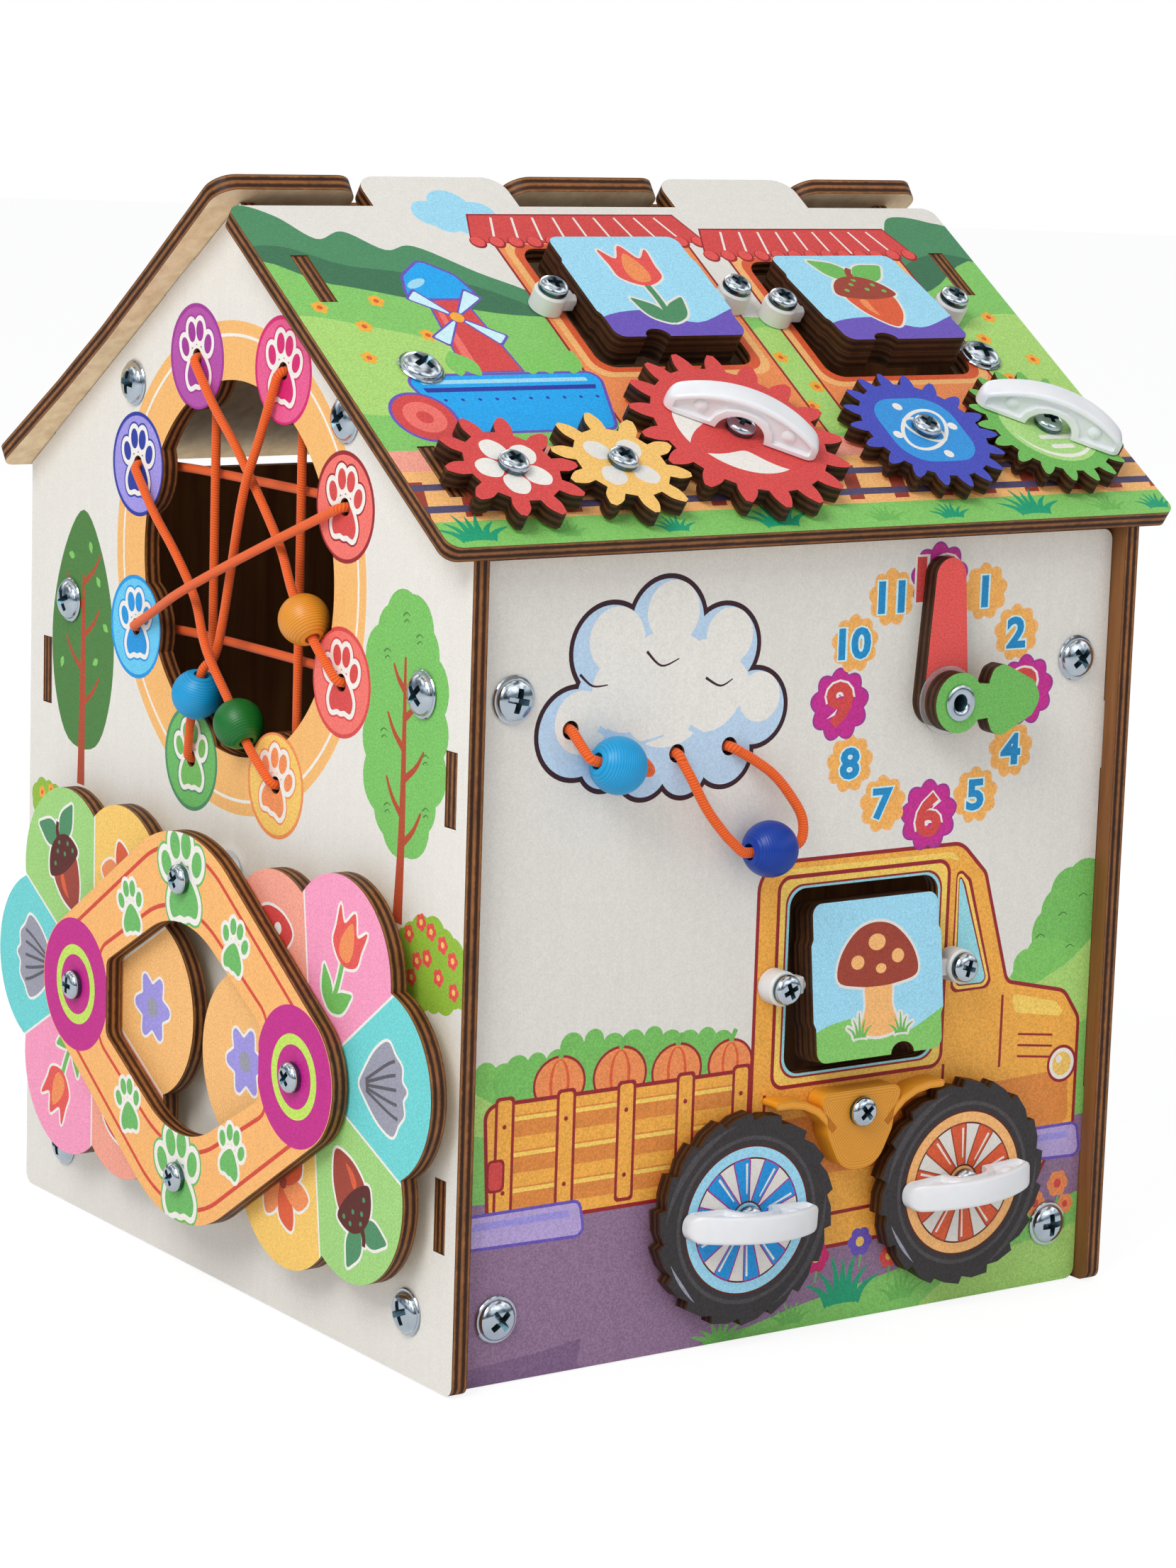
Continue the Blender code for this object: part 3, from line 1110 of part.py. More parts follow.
def build_lace():
    holes, first, second, third, _ = lace_strands()
    path = lace_path()
    print("lacing cord least gap", least_gap(path, 2 * LACE_RADIUS, True))
    put("lacing_cord", tube("lacing_cord", path, LACE_RADIUS, cyclic=True), CORD, LEFT)
    rows = zip((first, second, third), LACE_BEAD_BACKS, LACE_BEAD_LIFTS, ("amber", "sky", "green"))
    for strand, back, lift, colour in rows:
        start, end = Vector(holes[strand[0]]), Vector(holes[strand[1]])
        along = (end - start).normalized()
        at = end - along * back
        mesh = bead_mesh(LACE_BEAD_RADIUS, LACE_BEAD_HOLE, (along.x, along.y, 0))
        put("lacing_bead_" + colour, mesh, BEAD_COLOURS[colour], LEFT, (at.x, at.y, lift))


CLOUD_FIRST_LOOP_SHARES = ((0.019, -0.179, 0.236), (0.033, -0.302, 0.392))
CLOUD_FIRST_BEAD_SHARES = (0.566, -0.505)
CLOUD_FIRST_REST_SHARES = ((1.208, -0.646, 0.406), (1.231, -0.547, 0.236))
CLOUD_SECOND_LOOP_SHARES = ((0.132, -0.382, 0.236), (0.335, -0.821, 0.354), (0.637, -1.222, 0.425),
                            (0.830, -1.415, 0.462))
CLOUD_SECOND_BEAD_SHARES = (1.509, -1.538)
CLOUD_SECOND_REST_SHARES = ((2.142, -1.406, 0.462), (2.156, -1.094, 0.415), (1.958, -0.731, 0.330),
                            (1.684, -0.410, 0.259), (1.330, -0.151, 0.165))


def cloud_path():
    holes = [Vector(p) for p in cloud_holes()]
    span = CLOUD_HOLE_SPACING
    lift = CLOUD_CORD_RADIUS + TOUCH_GAP

    def spots(hole, shares):
        return [(hole.x + a * span, hole.y + b * span, c * span) for a, b, c in shares]

    def bead_run(hole, shares, lean):
        at = Vector((hole.x + shares[0] * span, hole.y + shares[1] * span, CLOUD_BEAD_LIFT))
        along = Vector((math.cos(lean), math.sin(lean), 0))
        reach = CLOUD_BEAD_RADIUS * BEAD_RUN_SHARE
        return at, along, [tuple(at - along * reach), tuple(at), tuple(at + along * reach)]

    def knot(hole):
        top = -PLY - TOUCH_GAP
        marks = [(0.05, 0.9), (0.55, 1.0), (1.25, 1.0), (1.75, 0.5)]
        return [(hole.x, hole.y, top - CLOUD_KNOT_RADIUS * drop) for drop, _ in marks]

    first_at, first_along, first_run = bead_run(holes[0], CLOUD_FIRST_BEAD_SHARES, CLOUD_FIRST_BEAD_LEAN)
    second_at, second_along, second_run = bead_run(holes[2], CLOUD_SECOND_BEAD_SHARES,
                                                   CLOUD_SECOND_BEAD_LEAN)
    first_rest = spots(holes[0], CLOUD_FIRST_REST_SHARES)
    second_loop = spots(holes[2], CLOUD_SECOND_LOOP_SHARES)
    second_rest = spots(holes[2], CLOUD_SECOND_REST_SHARES)
    first_loop = spots(holes[0], CLOUD_FIRST_LOOP_SHARES)
    step = 4 * CLOUD_CORD_RADIUS
    path = knot(holes[0])[::-1]
    path += smooth([(*holes[0], 0), *first_loop, *first_run, *first_rest,
                    *exit_bend(holes[1], first_rest[-1][:2], lift)[::-1]], step)
    path += exit_bend(holes[1], holes[2], lift, -1, -PLY)
    path += exit_bend(holes[2], holes[1], lift, -1, -PLY)[::-1]
    path += smooth([*exit_bend(holes[2], second_loop[0][:2], lift), *second_loop, *second_run,
                    *second_rest, *exit_bend(holes[3], second_rest[-1][:2], lift)[::-1]], step)
    path += knot(holes[3])
    swell = CLOUD_KNOT_RADIUS / CLOUD_CORD_RADIUS
    last = len(path) - 1
    swells = {k: swell * share for k, share in ((1, 1.0), (2, 1.0), (last - 1, 1.0), (last - 2, 1.0))}
    return path, swells, (first_at, first_along), (second_at, second_along)


def build_cloud_cord():
    path, swells, first, second = cloud_path()
    print("cloud cord least gap", least_gap(path, 2 * CLOUD_CORD_RADIUS, False))
    put("cloud_cord", tube("cloud_cord", path, CLOUD_CORD_RADIUS, swells=swells), CORD, FRONT)
    for name, colour, place in (("cloud_bead_sky", "sky", first), ("cloud_bead_navy", "navy", second)):
        mesh = bead_mesh(CLOUD_BEAD_RADIUS, CLOUD_BEAD_HOLE, place[1])
        put(name, mesh, BEAD_COLOURS[colour], FRONT, place[0])


build_gables()
build_walls()
build_roof()
build_brackets()
build_petals()
build_gears()
build_blocks()
build_wheels()
build_pawl()
build_clock()
build_lace()
build_cloud_cord()
bpy.data.collections.remove(CUTTERS)
bpy.context.view_layer.update()


# The origin goes to the middle of the footprint
def centre_footprint():
    corners = [piece.matrix_world @ Vector(c) for piece in HOUSE.objects for c in piece.bound_box]
    for axis in (0, 1):
        middle = (min(c[axis] for c in corners) + max(c[axis] for c in corners)) / 2
        for piece in HOUSE.objects:
            piece.location[axis] -= middle
    bpy.context.view_layer.update()


centre_footprint()
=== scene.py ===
# %% [markdown]
# # A plywood busy house
# The shell is birch plywood cut by laser, printed on its outer faces and screwed to small steel brackets.
# The toys on it are printed plywood gears, discs and wheels, white and amber plastic pieces, and beads on
# elastic cord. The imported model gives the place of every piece. This script builds each piece again with
# fine edges and its print.

# %% Load the frame
import math

import bmesh
import bpy
from mathutils import Matrix, Vector, geometry


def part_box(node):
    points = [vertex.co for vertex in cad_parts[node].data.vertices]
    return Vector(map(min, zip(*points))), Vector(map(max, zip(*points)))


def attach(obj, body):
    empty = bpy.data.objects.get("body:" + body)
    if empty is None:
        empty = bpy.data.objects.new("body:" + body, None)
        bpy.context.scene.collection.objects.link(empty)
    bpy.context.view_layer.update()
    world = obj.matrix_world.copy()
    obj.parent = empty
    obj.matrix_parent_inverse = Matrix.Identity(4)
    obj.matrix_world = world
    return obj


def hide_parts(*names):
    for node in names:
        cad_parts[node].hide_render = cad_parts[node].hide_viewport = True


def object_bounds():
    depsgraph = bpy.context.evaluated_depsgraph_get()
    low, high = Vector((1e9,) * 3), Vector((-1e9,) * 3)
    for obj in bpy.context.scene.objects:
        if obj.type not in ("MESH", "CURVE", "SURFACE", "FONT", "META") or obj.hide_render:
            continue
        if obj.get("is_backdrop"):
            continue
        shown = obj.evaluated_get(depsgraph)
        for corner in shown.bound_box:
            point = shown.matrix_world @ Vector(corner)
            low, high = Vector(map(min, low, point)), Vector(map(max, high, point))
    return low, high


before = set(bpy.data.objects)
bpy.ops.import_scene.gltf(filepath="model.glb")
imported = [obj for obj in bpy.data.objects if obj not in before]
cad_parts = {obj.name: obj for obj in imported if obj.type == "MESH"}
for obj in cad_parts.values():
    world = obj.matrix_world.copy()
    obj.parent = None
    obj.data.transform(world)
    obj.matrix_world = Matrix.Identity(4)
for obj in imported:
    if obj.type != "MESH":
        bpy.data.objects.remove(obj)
cad_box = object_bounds()
scene = bpy.context.scene
scene.view_settings.view_transform = "Standard"
# The panels are laid out round the middle of the house, which stands a little off the middle of the model.
LEFT_FACE, FRONT_WALL_FACE, REAR_WALL_FACE = 0.138, 0.1415, 0.1375
SHIFT = Vector((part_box("gable_left")[0].x + LEFT_FACE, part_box("front_wall")[0].y + FRONT_WALL_FACE, 0))
print("house stands off its own middle by", tuple(round(v * 1000, 2) for v in SHIFT), "mm")

# %% [markdown]
# ## Camera
# The photograph was taken with a long lens from the front left and a little above, so the camera stands 1.6
# m away with a 128 mm lens. The place was solved from the right angles of the house.

# %% Camera
FOCAL_LENGTH, SENSOR_WIDTH, FAR_CLIP = 128.54, 36, 20
CAMERA_AT = Vector((-0.8497, -1.2291, 0.4323))
CAMERA_RIGHT = Vector((0.82176, -0.56894, 0.03189))
CAMERA_UP = Vector((0.07387, 0.16186, 0.98405))
CAMERA_AHEAD = Vector((0.56502, 0.80630, -0.17503))
lens = bpy.data.cameras.new("camera")
lens.sensor_fit, lens.sensor_width = "HORIZONTAL", SENSOR_WIDTH
lens.lens, lens.clip_end = FOCAL_LENGTH, FAR_CLIP
camera = bpy.data.objects.new("camera", lens)
scene.collection.objects.link(camera)
camera_axes = Matrix((CAMERA_RIGHT, CAMERA_UP, -CAMERA_AHEAD)).transposed().to_4x4()
camera.matrix_world = Matrix.Translation(CAMERA_AT + SHIFT) @ camera_axes
scene.camera = camera
print("camera at", tuple(round(v, 3) for v in camera.matrix_world.translation))

# %% [markdown]
# ## Short names for nodes
# Every material and the world are node trees, so a few helpers make a node, set it and join it in one line.
# A value that is a socket is joined, any other value is set.

# %% Node helpers
def add_node(tree, kind, settings=None, **values):
    made = tree.nodes.new(kind)
    for key, value in (settings or {}).items():
        setattr(made, key, value)
    for key, value in values.items():
        key = int(key[1:]) if key[0] == "_" else key.replace("_", " ")
        if isinstance(value, bpy.types.NodeSocket):
            tree.links.new(value, made.inputs[key])
        else:
            made.inputs[key].default_value = value
    return made


def object_place(tree):
    return add_node(tree, "ShaderNodeTexCoord").outputs["Object"]


def noise(tree, place, scale, detail=2.0, **more):
    return add_node(tree, "ShaderNodeTexNoise", Vector=place, Scale=scale, Detail=detail, **more).outputs[0]


def calc(tree, operation, *values):
    numbered = {"_%d" % k: value for k, value in enumerate(values)}
    return add_node(tree, "ShaderNodeMath", {"operation": operation}, **numbered).outputs[0]


def ranged(tree, value, to_min, to_max, from_min=0.0, from_max=1.0):
    return add_node(tree, "ShaderNodeMapRange", Value=value, From_Min=from_min, From_Max=from_max,
                    To_Min=to_min, To_Max=to_max).outputs[0]


def scaled(tree, colour, share):
    return add_node(tree, "ShaderNodeVectorMath", {"operation": "SCALE"}, _0=colour, Scale=share).outputs[0]


def attribute(tree, name):
    return add_node(tree, "ShaderNodeAttribute", {"attribute_name": name}).outputs["Fac"]


def bump(tree, height, strength, distance):
    return add_node(tree, "ShaderNodeBump", Strength=strength, Distance=distance, Height=height).outputs[0]


def mixed(tree, share, one, other):
    return add_node(tree, "ShaderNodeMixShader", _0=share, _1=one, _2=other).outputs[0]


def ramp(tree, value, stops):
    made = add_node(tree, "ShaderNodeValToRGB", Fac=value)
    elements = made.color_ramp.elements
    elements.remove(elements[1])
    for k, (spot, colour) in enumerate(stops):
        stop = elements[0] if k == 0 else elements.new(spot)
        stop.position, stop.color = spot, (*colour, 1)
    return made.outputs[0]


def seen_directly(rays, tree):
    return calc(tree, "MAXIMUM", rays["Is Camera Ray"], rays["Is Transmission Ray"])


def linear(colour):
    return tuple(c / 12.92 if c <= 0.04045 else ((c + 0.055) / 1.055) ** 2.4 for c in colour)


def new_material(name, roughness=0.5, metallic=0.0, **shader_values):
    made = bpy.data.materials.new(name)
    made.use_nodes = True
    shader = made.node_tree.nodes["Principled BSDF"]
    for key, value in (("Roughness", roughness), ("Metallic", metallic), *shader_values.items()):
        shader.inputs[key.replace("_", " ")].default_value = value
    return made, made.node_tree, shader


def wire(tree, shader, **outputs):
    for key, output in outputs.items():
        tree.links.new(output, shader.inputs[key.replace("_", " ")])


# %% [markdown]
# ## Light
# The light is soft and comes from all round, with a broad key from the front left. The world shows white to
# the camera and a milder tone to the surfaces. Reflections get a room with a dark horizon and bright and
# dim patches, so that metal has contrast.

# %% World and lamps
ROOM_TONES = ((0.0, (0.62, 0.64, 0.66)), (0.42, (0.30, 0.34, 0.38)), (0.54, (0.10, 0.14, 0.18)),
              (0.62, (0.55, 0.60, 0.64)), (0.74, (1.0, 1.0, 1.0)), (0.88, (0.35, 0.39, 0.42)),
              (1.0, (0.9, 0.9, 0.9)))
world = bpy.data.worlds.new("studio")
scene.world = world
world.use_nodes = True
sky = world.node_tree
sky.nodes.clear()
rays = add_node(sky, "ShaderNodeLightPath").outputs
aim = add_node(sky, "ShaderNodeTexCoord").outputs["Generated"]
patches = ranged(sky, noise(sky, aim, 2.4, 1.0), 0.30, 1.45, 0.42, 0.58)
level = add_node(sky, "ShaderNodeSeparateXYZ", Vector=aim).outputs[2]
tones = ramp(sky, ranged(sky, level, 0.0, 1.0, -1.0, 1.0), ROOM_TONES)
lit = add_node(sky, "ShaderNodeBackground", Color=(0.97, 0.98, 1.0, 1), Strength=0.61).outputs[0]
room = add_node(sky, "ShaderNodeBackground", Color=tones, Strength=patches).outputs[0]
white = add_node(sky, "ShaderNodeBackground", Color=(1, 1, 1, 1), Strength=1.0).outputs[0]
surfaces = mixed(sky, rays["Is Glossy Ray"], lit, room)
add_node(sky, "ShaderNodeOutputWorld", Surface=mixed(sky, seen_directly(rays, sky), surfaces, white))


def lamp(name, place, size, power):
    light = bpy.data.lights.new(name, "AREA")
    light.shape, light.size, light.energy = "DISK", size, power
    holder = bpy.data.objects.new(name, light)
    holder.location = place
    holder.rotation_euler = (Vector((0, 0, 0.2)) - Vector(place)).to_track_quat("-Z", "Y").to_euler()
    scene.collection.objects.link(holder)


lamp("key_lamp", (-1.93, -0.99, 2.13), 1.4, 43)
lamp("front_lamp", (0.9, -2.0, 1.1), 1.2, 1.5)
lamp("rear_lamp", (0.6, 1.8, 1.6), 1.2, 8)
print("world and three lamps")

# %% [markdown]
# ## Printed plywood
# The faces are printed straight onto sanded birch. The ink sits in the grain, so every colour is full of
# fine specks, and a faint grain shows through. One node group gives that to every ink.

# %% Ink on birch
ink_tree = bpy.data.node_groups.new("ink_on_birch", "ShaderNodeTree")
for socket, kind, value in (("Color", "NodeSocketColor", (0.8, 0.8, 0.8, 1)),
                            ("Specks", "NodeSocketFloat", 1.0)):
    ink_tree.interface.new_socket(socket, in_out="INPUT", socket_type=kind).default_value = value
for socket, kind in (("Color", "NodeSocketColor"), ("Roughness", "NodeSocketFloat"),
                     ("Normal", "NodeSocketVector")):
    ink_tree.interface.new_socket(socket, in_out="OUTPUT", socket_type=kind)
ink_in = ink_tree.nodes.new("NodeGroupInput").outputs
ink_out = ink_tree.nodes.new("NodeGroupOutput")
place = object_place(ink_tree)
fine = noise(ink_tree, place, 1500.0, Roughness=0.7)
broad = noise(ink_tree, place, 260.0)
along_grain = add_node(ink_tree, "ShaderNodeMapping", Vector=place, Scale=(420.0, 420.0, 26.0)).outputs[0]
grain = noise(ink_tree, along_grain, 1.0, 3.0, Roughness=0.6)
speck = calc(ink_tree, "MULTIPLY", ranged(ink_tree, fine, -1.0, 1.0, 0.34, 0.66), ink_in["Specks"])
tone = calc(ink_tree, "MULTIPLY_ADD", speck, 0.17, 1.0)
tone = calc(ink_tree, "MULTIPLY", tone, ranged(ink_tree, broad, 0.97, 1.03))
tone = calc(ink_tree, "MULTIPLY", tone, ranged(ink_tree, grain, 0.983, 1.012, 0.3, 0.7))
wire(ink_tree, ink_out, Color=scaled(ink_tree, ink_in["Color"], tone),
     Roughness=ranged(ink_tree, broad, 0.46, 0.62),
     Normal=bump(ink_tree, fine, 0.18, 0.00012))
INKS = {}


def ink(name, colour, specks=1.0):
    made, tree, shader = new_material("ink_" + name, 0.55, 0.0, Specular_IOR_Level=0.35)
    colour = (*linear(colour), 1)
    group = add_node(tree, "ShaderNodeGroup", {"node_tree": ink_tree}, Color=colour, Specks=specks).outputs
    wire(tree, shader, Base_Color=group["Color"], Roughness=group["Roughness"], Normal=group["Normal"])
    made.diffuse_color = colour
    INKS[name] = made


for name, colour, specks in (
        ("cream", (0.895, 0.880, 0.850), 0.35), ("white", (0.93, 0.915, 0.885), 0.4),
        ("ring_orange", (0.95, 0.72, 0.43), 0.7), ("frame_orange", (0.965, 0.71, 0.42), 0.8),
        ("frame_line", (0.83, 0.28, 0.20), 0.8), ("magenta", (0.76, 0.13, 0.53), 1.0),
        ("lime", (0.76, 0.88, 0.36), 0.8), ("plum", (0.62, 0.20, 0.58), 1.0),
        ("plum_pale", (0.70, 0.31, 0.65), 0.9), ("pink_deep", (0.83, 0.13, 0.43), 1.0),
        ("pink_disc", (0.90, 0.36, 0.56), 0.9), ("pink", (0.96, 0.60, 0.74), 0.9),
        ("red", (0.84, 0.285, 0.275), 1.1), ("red_bright", (0.90, 0.33, 0.31), 1.1),
        ("red_dark", (0.60, 0.13, 0.16), 1.0), ("red_pale", (0.94, 0.45, 0.41), 0.9),
        ("salmon", (0.95, 0.63, 0.55), 0.9), ("orange", (0.94, 0.56, 0.33), 1.0),
        ("orange_pale", (0.96, 0.72, 0.45), 0.9), ("orange_rust", (0.87, 0.36, 0.20), 1.0),
        ("petal_orange", (0.96, 0.73, 0.45), 0.9), ("yellow", (0.96, 0.78, 0.40), 0.9),
        ("yellow_gear", (0.955, 0.76, 0.42), 0.8), ("yellow_deep", (0.95, 0.68, 0.22), 0.9),
        ("car", (0.955, 0.68, 0.28), 1.1), ("car_light", (0.98, 0.82, 0.39), 1.0),
        ("car_dark", (0.88, 0.54, 0.24), 1.1), ("brown", (0.62, 0.25, 0.18), 1.1),
        ("brown_dark", (0.36, 0.13, 0.10), 0.9), ("trunk", (0.70, 0.28, 0.16), 1.0),
        ("tree_dark", (0.30, 0.50, 0.24), 1.0), ("tree_light", (0.47, 0.75, 0.37), 1.0),
        ("leaf", (0.50, 0.78, 0.38), 0.9), ("meadow", (0.52, 0.78, 0.40), 0.9),
        ("meadow_pale", (0.67, 0.84, 0.45), 0.9), ("hill", (0.30, 0.55, 0.38), 0.9),
        ("hill_dark", (0.24, 0.45, 0.32), 0.9), ("grass_teal", (0.12, 0.62, 0.45), 0.9),
        ("bush", (0.58, 0.74, 0.24), 0.9), ("petal_green", (0.62, 0.82, 0.48), 0.9),
        ("paw_green", (0.42, 0.72, 0.38), 0.9), ("gear_green", (0.44, 0.72, 0.35), 1.0),
        ("gear_green_pale", (0.68, 0.85, 0.52), 0.9), ("cyan", (0.43, 0.82, 0.82), 0.9),
        ("sky", (0.62, 0.85, 0.94), 0.8), ("window", (0.60, 0.86, 0.90), 0.8),
        ("window_pale", (0.80, 0.94, 0.96), 0.6), ("blue", (0.08, 0.58, 0.86), 1.0),
        ("blue_bright", (0.10, 0.65, 0.93), 1.0), ("blue_deep", (0.16, 0.22, 0.62), 1.1),
        ("gear_blue", (0.27, 0.30, 0.72), 1.2), ("gear_panel", (0.20, 0.58, 0.86), 0.9),
        ("violet", (0.42, 0.33, 0.72), 1.1), ("violet_pale", (0.62, 0.58, 0.87), 1.0),
        ("lilac", (0.72, 0.64, 0.84), 1.0), ("road", (0.57, 0.45, 0.57), 1.4),
        ("road_dark", (0.50, 0.385, 0.52), 1.3), ("grey", (0.60, 0.60, 0.66), 1.0),
        ("grey_dark", (0.36, 0.35, 0.38), 1.0), ("tyre", (0.215, 0.195, 0.200), 1.6),
        ("tyre_pale", (0.30, 0.28, 0.29), 1.5), ("rail", (0.33, 0.30, 0.43), 1.3),
        ("outline", (0.22, 0.10, 0.14), 0.8), ("cloud_shade", (0.74, 0.84, 0.93), 0.6),
        ("badge", (0.97, 0.70, 0.36), 0.9), ("pad_blue", (0.40, 0.78, 0.93), 0.9),
        ("badge_pink", (0.78, 0.16, 0.56), 1.0), ("digit_blue", (0.10, 0.55, 0.78), 0.9)):
    ink(name, colour, specks)
print(len(INKS), "inks")

# %% [markdown]
# ## Laser cut edges and bare birch
# The laser browns the cut edge, and the plies show in it as darker and lighter bands. The side walls of
# each sheet carry a value that runs from 0 at the back to 1 at the front, and a colour ramp turns it into
# plies. The small toys are charred darker than the panels. The inner faces of the house are bare birch in a
# darker brown, which is painted shade.

# %% Burnt edges
PLIES = ((0.0, (0.34, 0.19, 0.09)), (0.10, (0.62, 0.40, 0.21)), (0.21, (0.22, 0.10, 0.04)),
         (0.35, (0.26, 0.125, 0.05)), (0.45, (0.60, 0.385, 0.20)), (0.55, (0.62, 0.40, 0.21)),
         (0.65, (0.22, 0.10, 0.04)), (0.79, (0.25, 0.12, 0.05)), (0.90, (0.66, 0.44, 0.23)),
         (0.985, (0.42, 0.24, 0.12)))
PALE_PLY = 0.4


def burnt(name, pale):
    made, tree, shader = new_material(name, 0.55, 0.0, Specular_IOR_Level=0.3)
    place = object_place(tree)
    blur = noise(tree, place, 420.0, 3.0, Roughness=0.7)
    sway = calc(tree, "MULTIPLY_ADD", blur, 0.10, -0.05)
    height = calc(tree, "FRACT", calc(tree, "ADD", attribute(tree, "ply_height"), sway))
    stops = [(spot, [c * (pale if colour[0] > PALE_PLY else 0.35 + pale * 0.65) for c in linear(colour)])
             for spot, colour in PLIES]
    scorch = ranged(tree, noise(tree, place, 95.0, 4.0, Roughness=0.65), 0.62, 1.12, 0.3, 0.7)
    burn = calc(tree, "MULTIPLY", scorch, ranged(tree, blur, 0.80, 1.15, 0.3, 0.7))
    wire(tree, shader, Base_Color=scaled(tree, ramp(tree, height, stops), burn),
         Normal=bump(tree, blur, 0.5, 0.0002))
    return made


BURNT, CHARRED = burnt("burnt_edge", 1.0), burnt("charred_edge", 0.24)

# %% Bare birch
def bare(name, low, high):
    made, tree, shader = new_material(name, 0.6, 0.0, Specular_IOR_Level=0.3)
    along = add_node(tree, "ShaderNodeMapping", Vector=object_place(tree),
                     Scale=(150.0, 150.0, 9.0)).outputs[0]
    grain = noise(tree, along, 1.0, 5.0, Roughness=0.6, Distortion=0.4)
    tone = ramp(tree, grain, ((0.34, linear(low)), (0.66, linear(high))))
    wire(tree, shader, Base_Color=tone, Normal=bump(tree, grain, 0.2, 0.0002))
    return made


BIRCH = bare("bare_birch", (0.86, 0.74, 0.58), (0.95, 0.86, 0.71))
# The inner faces get a darker brown birch: painted shade for the inside of the house.
INNER_PAINTED_SHADE = bare("inner_birch_painted_shade", (0.46, 0.28, 0.14), (0.57, 0.38, 0.21))
print("edges and bare birch")

# %% [markdown]
# ## Plastic, metal and cord
# The beads, the pawl and the block holders come from a printer that lays plastic in fine layers. Where a
# mesh carries a count of its layers, a groove is drawn between each two as a bump and a darker colour; the
# darker colour is painted shade. The handles are moulded and smooth. The screws are bright zinc; their
# recesses take a dark teal as painted shade and painted reflection. The cords are elastic with a wound
# thread, darker orange in the hollows between its turns as painted shade.

# %% Plastics
def plastic(name, colour, roughness, sheen=0.5):
    made, tree, shader = new_material(name, roughness, 0.0, Specular_IOR_Level=sheen, Subsurface_Weight=0.05,
                                      Subsurface_Scale=0.002)
    cloud = noise(tree, object_place(tree), 240.0, 3.0)
    full = linear(colour)
    mix = add_node(tree, "ShaderNodeMix", {"data_type": "RGBA"}, Factor=cloud)
    mix.inputs[6].default_value, mix.inputs[7].default_value = (*[c * 0.93 for c in full], 1), (*full, 1)
    # The colour darkens towards each layer line: painted shade in the groove. The bump gives the groove its
    # relief.
    wave = calc(tree, "COSINE", calc(tree, "MULTIPLY", attribute(tree, "layer"), 2 * math.pi))
    groove_shaded_colour = scaled(tree, mix.outputs[2], ranged(tree, wave, 0.72, 1.0, -1.0, 0.6))
    relief = calc(tree, "MULTIPLY_ADD", wave, 2.0, cloud)
    wire(tree, shader, Base_Color=groove_shaded_colour, Normal=bump(tree, relief, 0.10, 0.0002))
    return made


MOULDED = plastic("moulded_white", (0.93, 0.935, 0.945), 0.30)
LAYERED = plastic("layered_white", (0.90, 0.895, 0.885), 0.42)
AMBER = plastic("layered_amber", (0.93, 0.62, 0.14), 0.42)
BEADS = {"amber": plastic("bead_amber", (0.93, 0.60, 0.16), 0.38),
         "sky": plastic("bead_sky", (0.03, 0.64, 0.88), 0.42),
         "green": plastic("bead_green", (0.05, 0.46, 0.16), 0.38),
         "navy": plastic("bead_navy", (0.0, 0.23, 0.64), 0.36, 0.4)}

# %% Zinc, clear sheet and cord
ZINC, tree, shader = new_material("bright_zinc", 0.16, 1.0)
haze = noise(tree, object_place(tree), 180.0, 4.0)
wire(tree, shader, Base_Color=ramp(tree, haze, ((0.0, (0.52, 0.60, 0.68)), (1.0, (0.80, 0.84, 0.87)))),
     Roughness=ranged(tree, haze, 0.07, 0.17))

# Dark teal for faces inside screw recesses and the rivet's bore: painted shade and painted reflection.
RECESS_PAINTED_SHADE, tree, shader = new_material("zinc_recess_painted_shade", 0.30, 0.9)
recess_shade_noise = noise(tree, object_place(tree), 900.0, 3.0)
wire(tree, shader, Base_Color=ramp(tree, recess_shade_noise, ((0.0, (0.03, 0.06, 0.08)), (1.0, (0.12, 0.22, 0.27)))))

CLEAR, tree, shader = new_material("clear_sheet", 0.12, 0.0, Transmission_Weight=0.85, IOR=1.48)
wire(tree, shader, Roughness=ranged(tree, noise(tree, object_place(tree), 300.0), 0.08, 0.22))
shader.inputs["Base Color"].default_value = (0.93, 0.93, 0.93, 1)

THREAD, tree, shader = new_material("orange_thread", 0.68, 0.0, Sheen_Weight=0.25, Specular_IOR_Level=0.3)
fuzz = noise(tree, object_place(tree), 2600.0)
lift = calc(tree, "MULTIPLY_ADD", fuzz, 0.4, attribute(tree, "thread_rise"))
# The thread is darker orange in the hollows between its turns and brighter on its ridges: painted shade.
groove_shade_tones = ((0.1, linear((0.76, 0.21, 0.04))), (1.1, linear((0.97, 0.42, 0.10))))
wire(tree, shader, Base_Color=ramp(tree, lift, groove_shade_tones), Normal=bump(tree, fuzz, 0.3, 0.0001))
print(len(bpy.data.materials), "materials")

# %% [markdown]
# ## Sizes
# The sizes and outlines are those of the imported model, in metres, with finer steps on the curves. Places on
# a panel are counted across from its middle and up from its foot or eave.

# %% Named sizes
PLY = 0.006
TOUCH_GAP = 0.0003
STRAND_GAP = 0.0006
RUN_GAP = 0.0006
ROOF_PITCH = math.radians(34.5)
ROOF_LENGTH = 0.300
EAVE_REACH = 0.1533
EAVE_HEIGHT = 0.2764
HOUSE_WIDTH = ROOF_LENGTH - 0.0240
HOUSE_DEPTH = 2 * (EAVE_REACH - 0.0053)
WALL_HEIGHT = EAVE_HEIGHT - 0.0064
FRONT_INSET = 0.0065
REAR_INSET = 0.0105
WALL_CORNER_RADIUS = 0.004
TAB_LENGTH = 0.024
WALL_TAB_HEIGHTS = (0.2167 * WALL_HEIGHT, 0.7315 * WALL_HEIGHT)

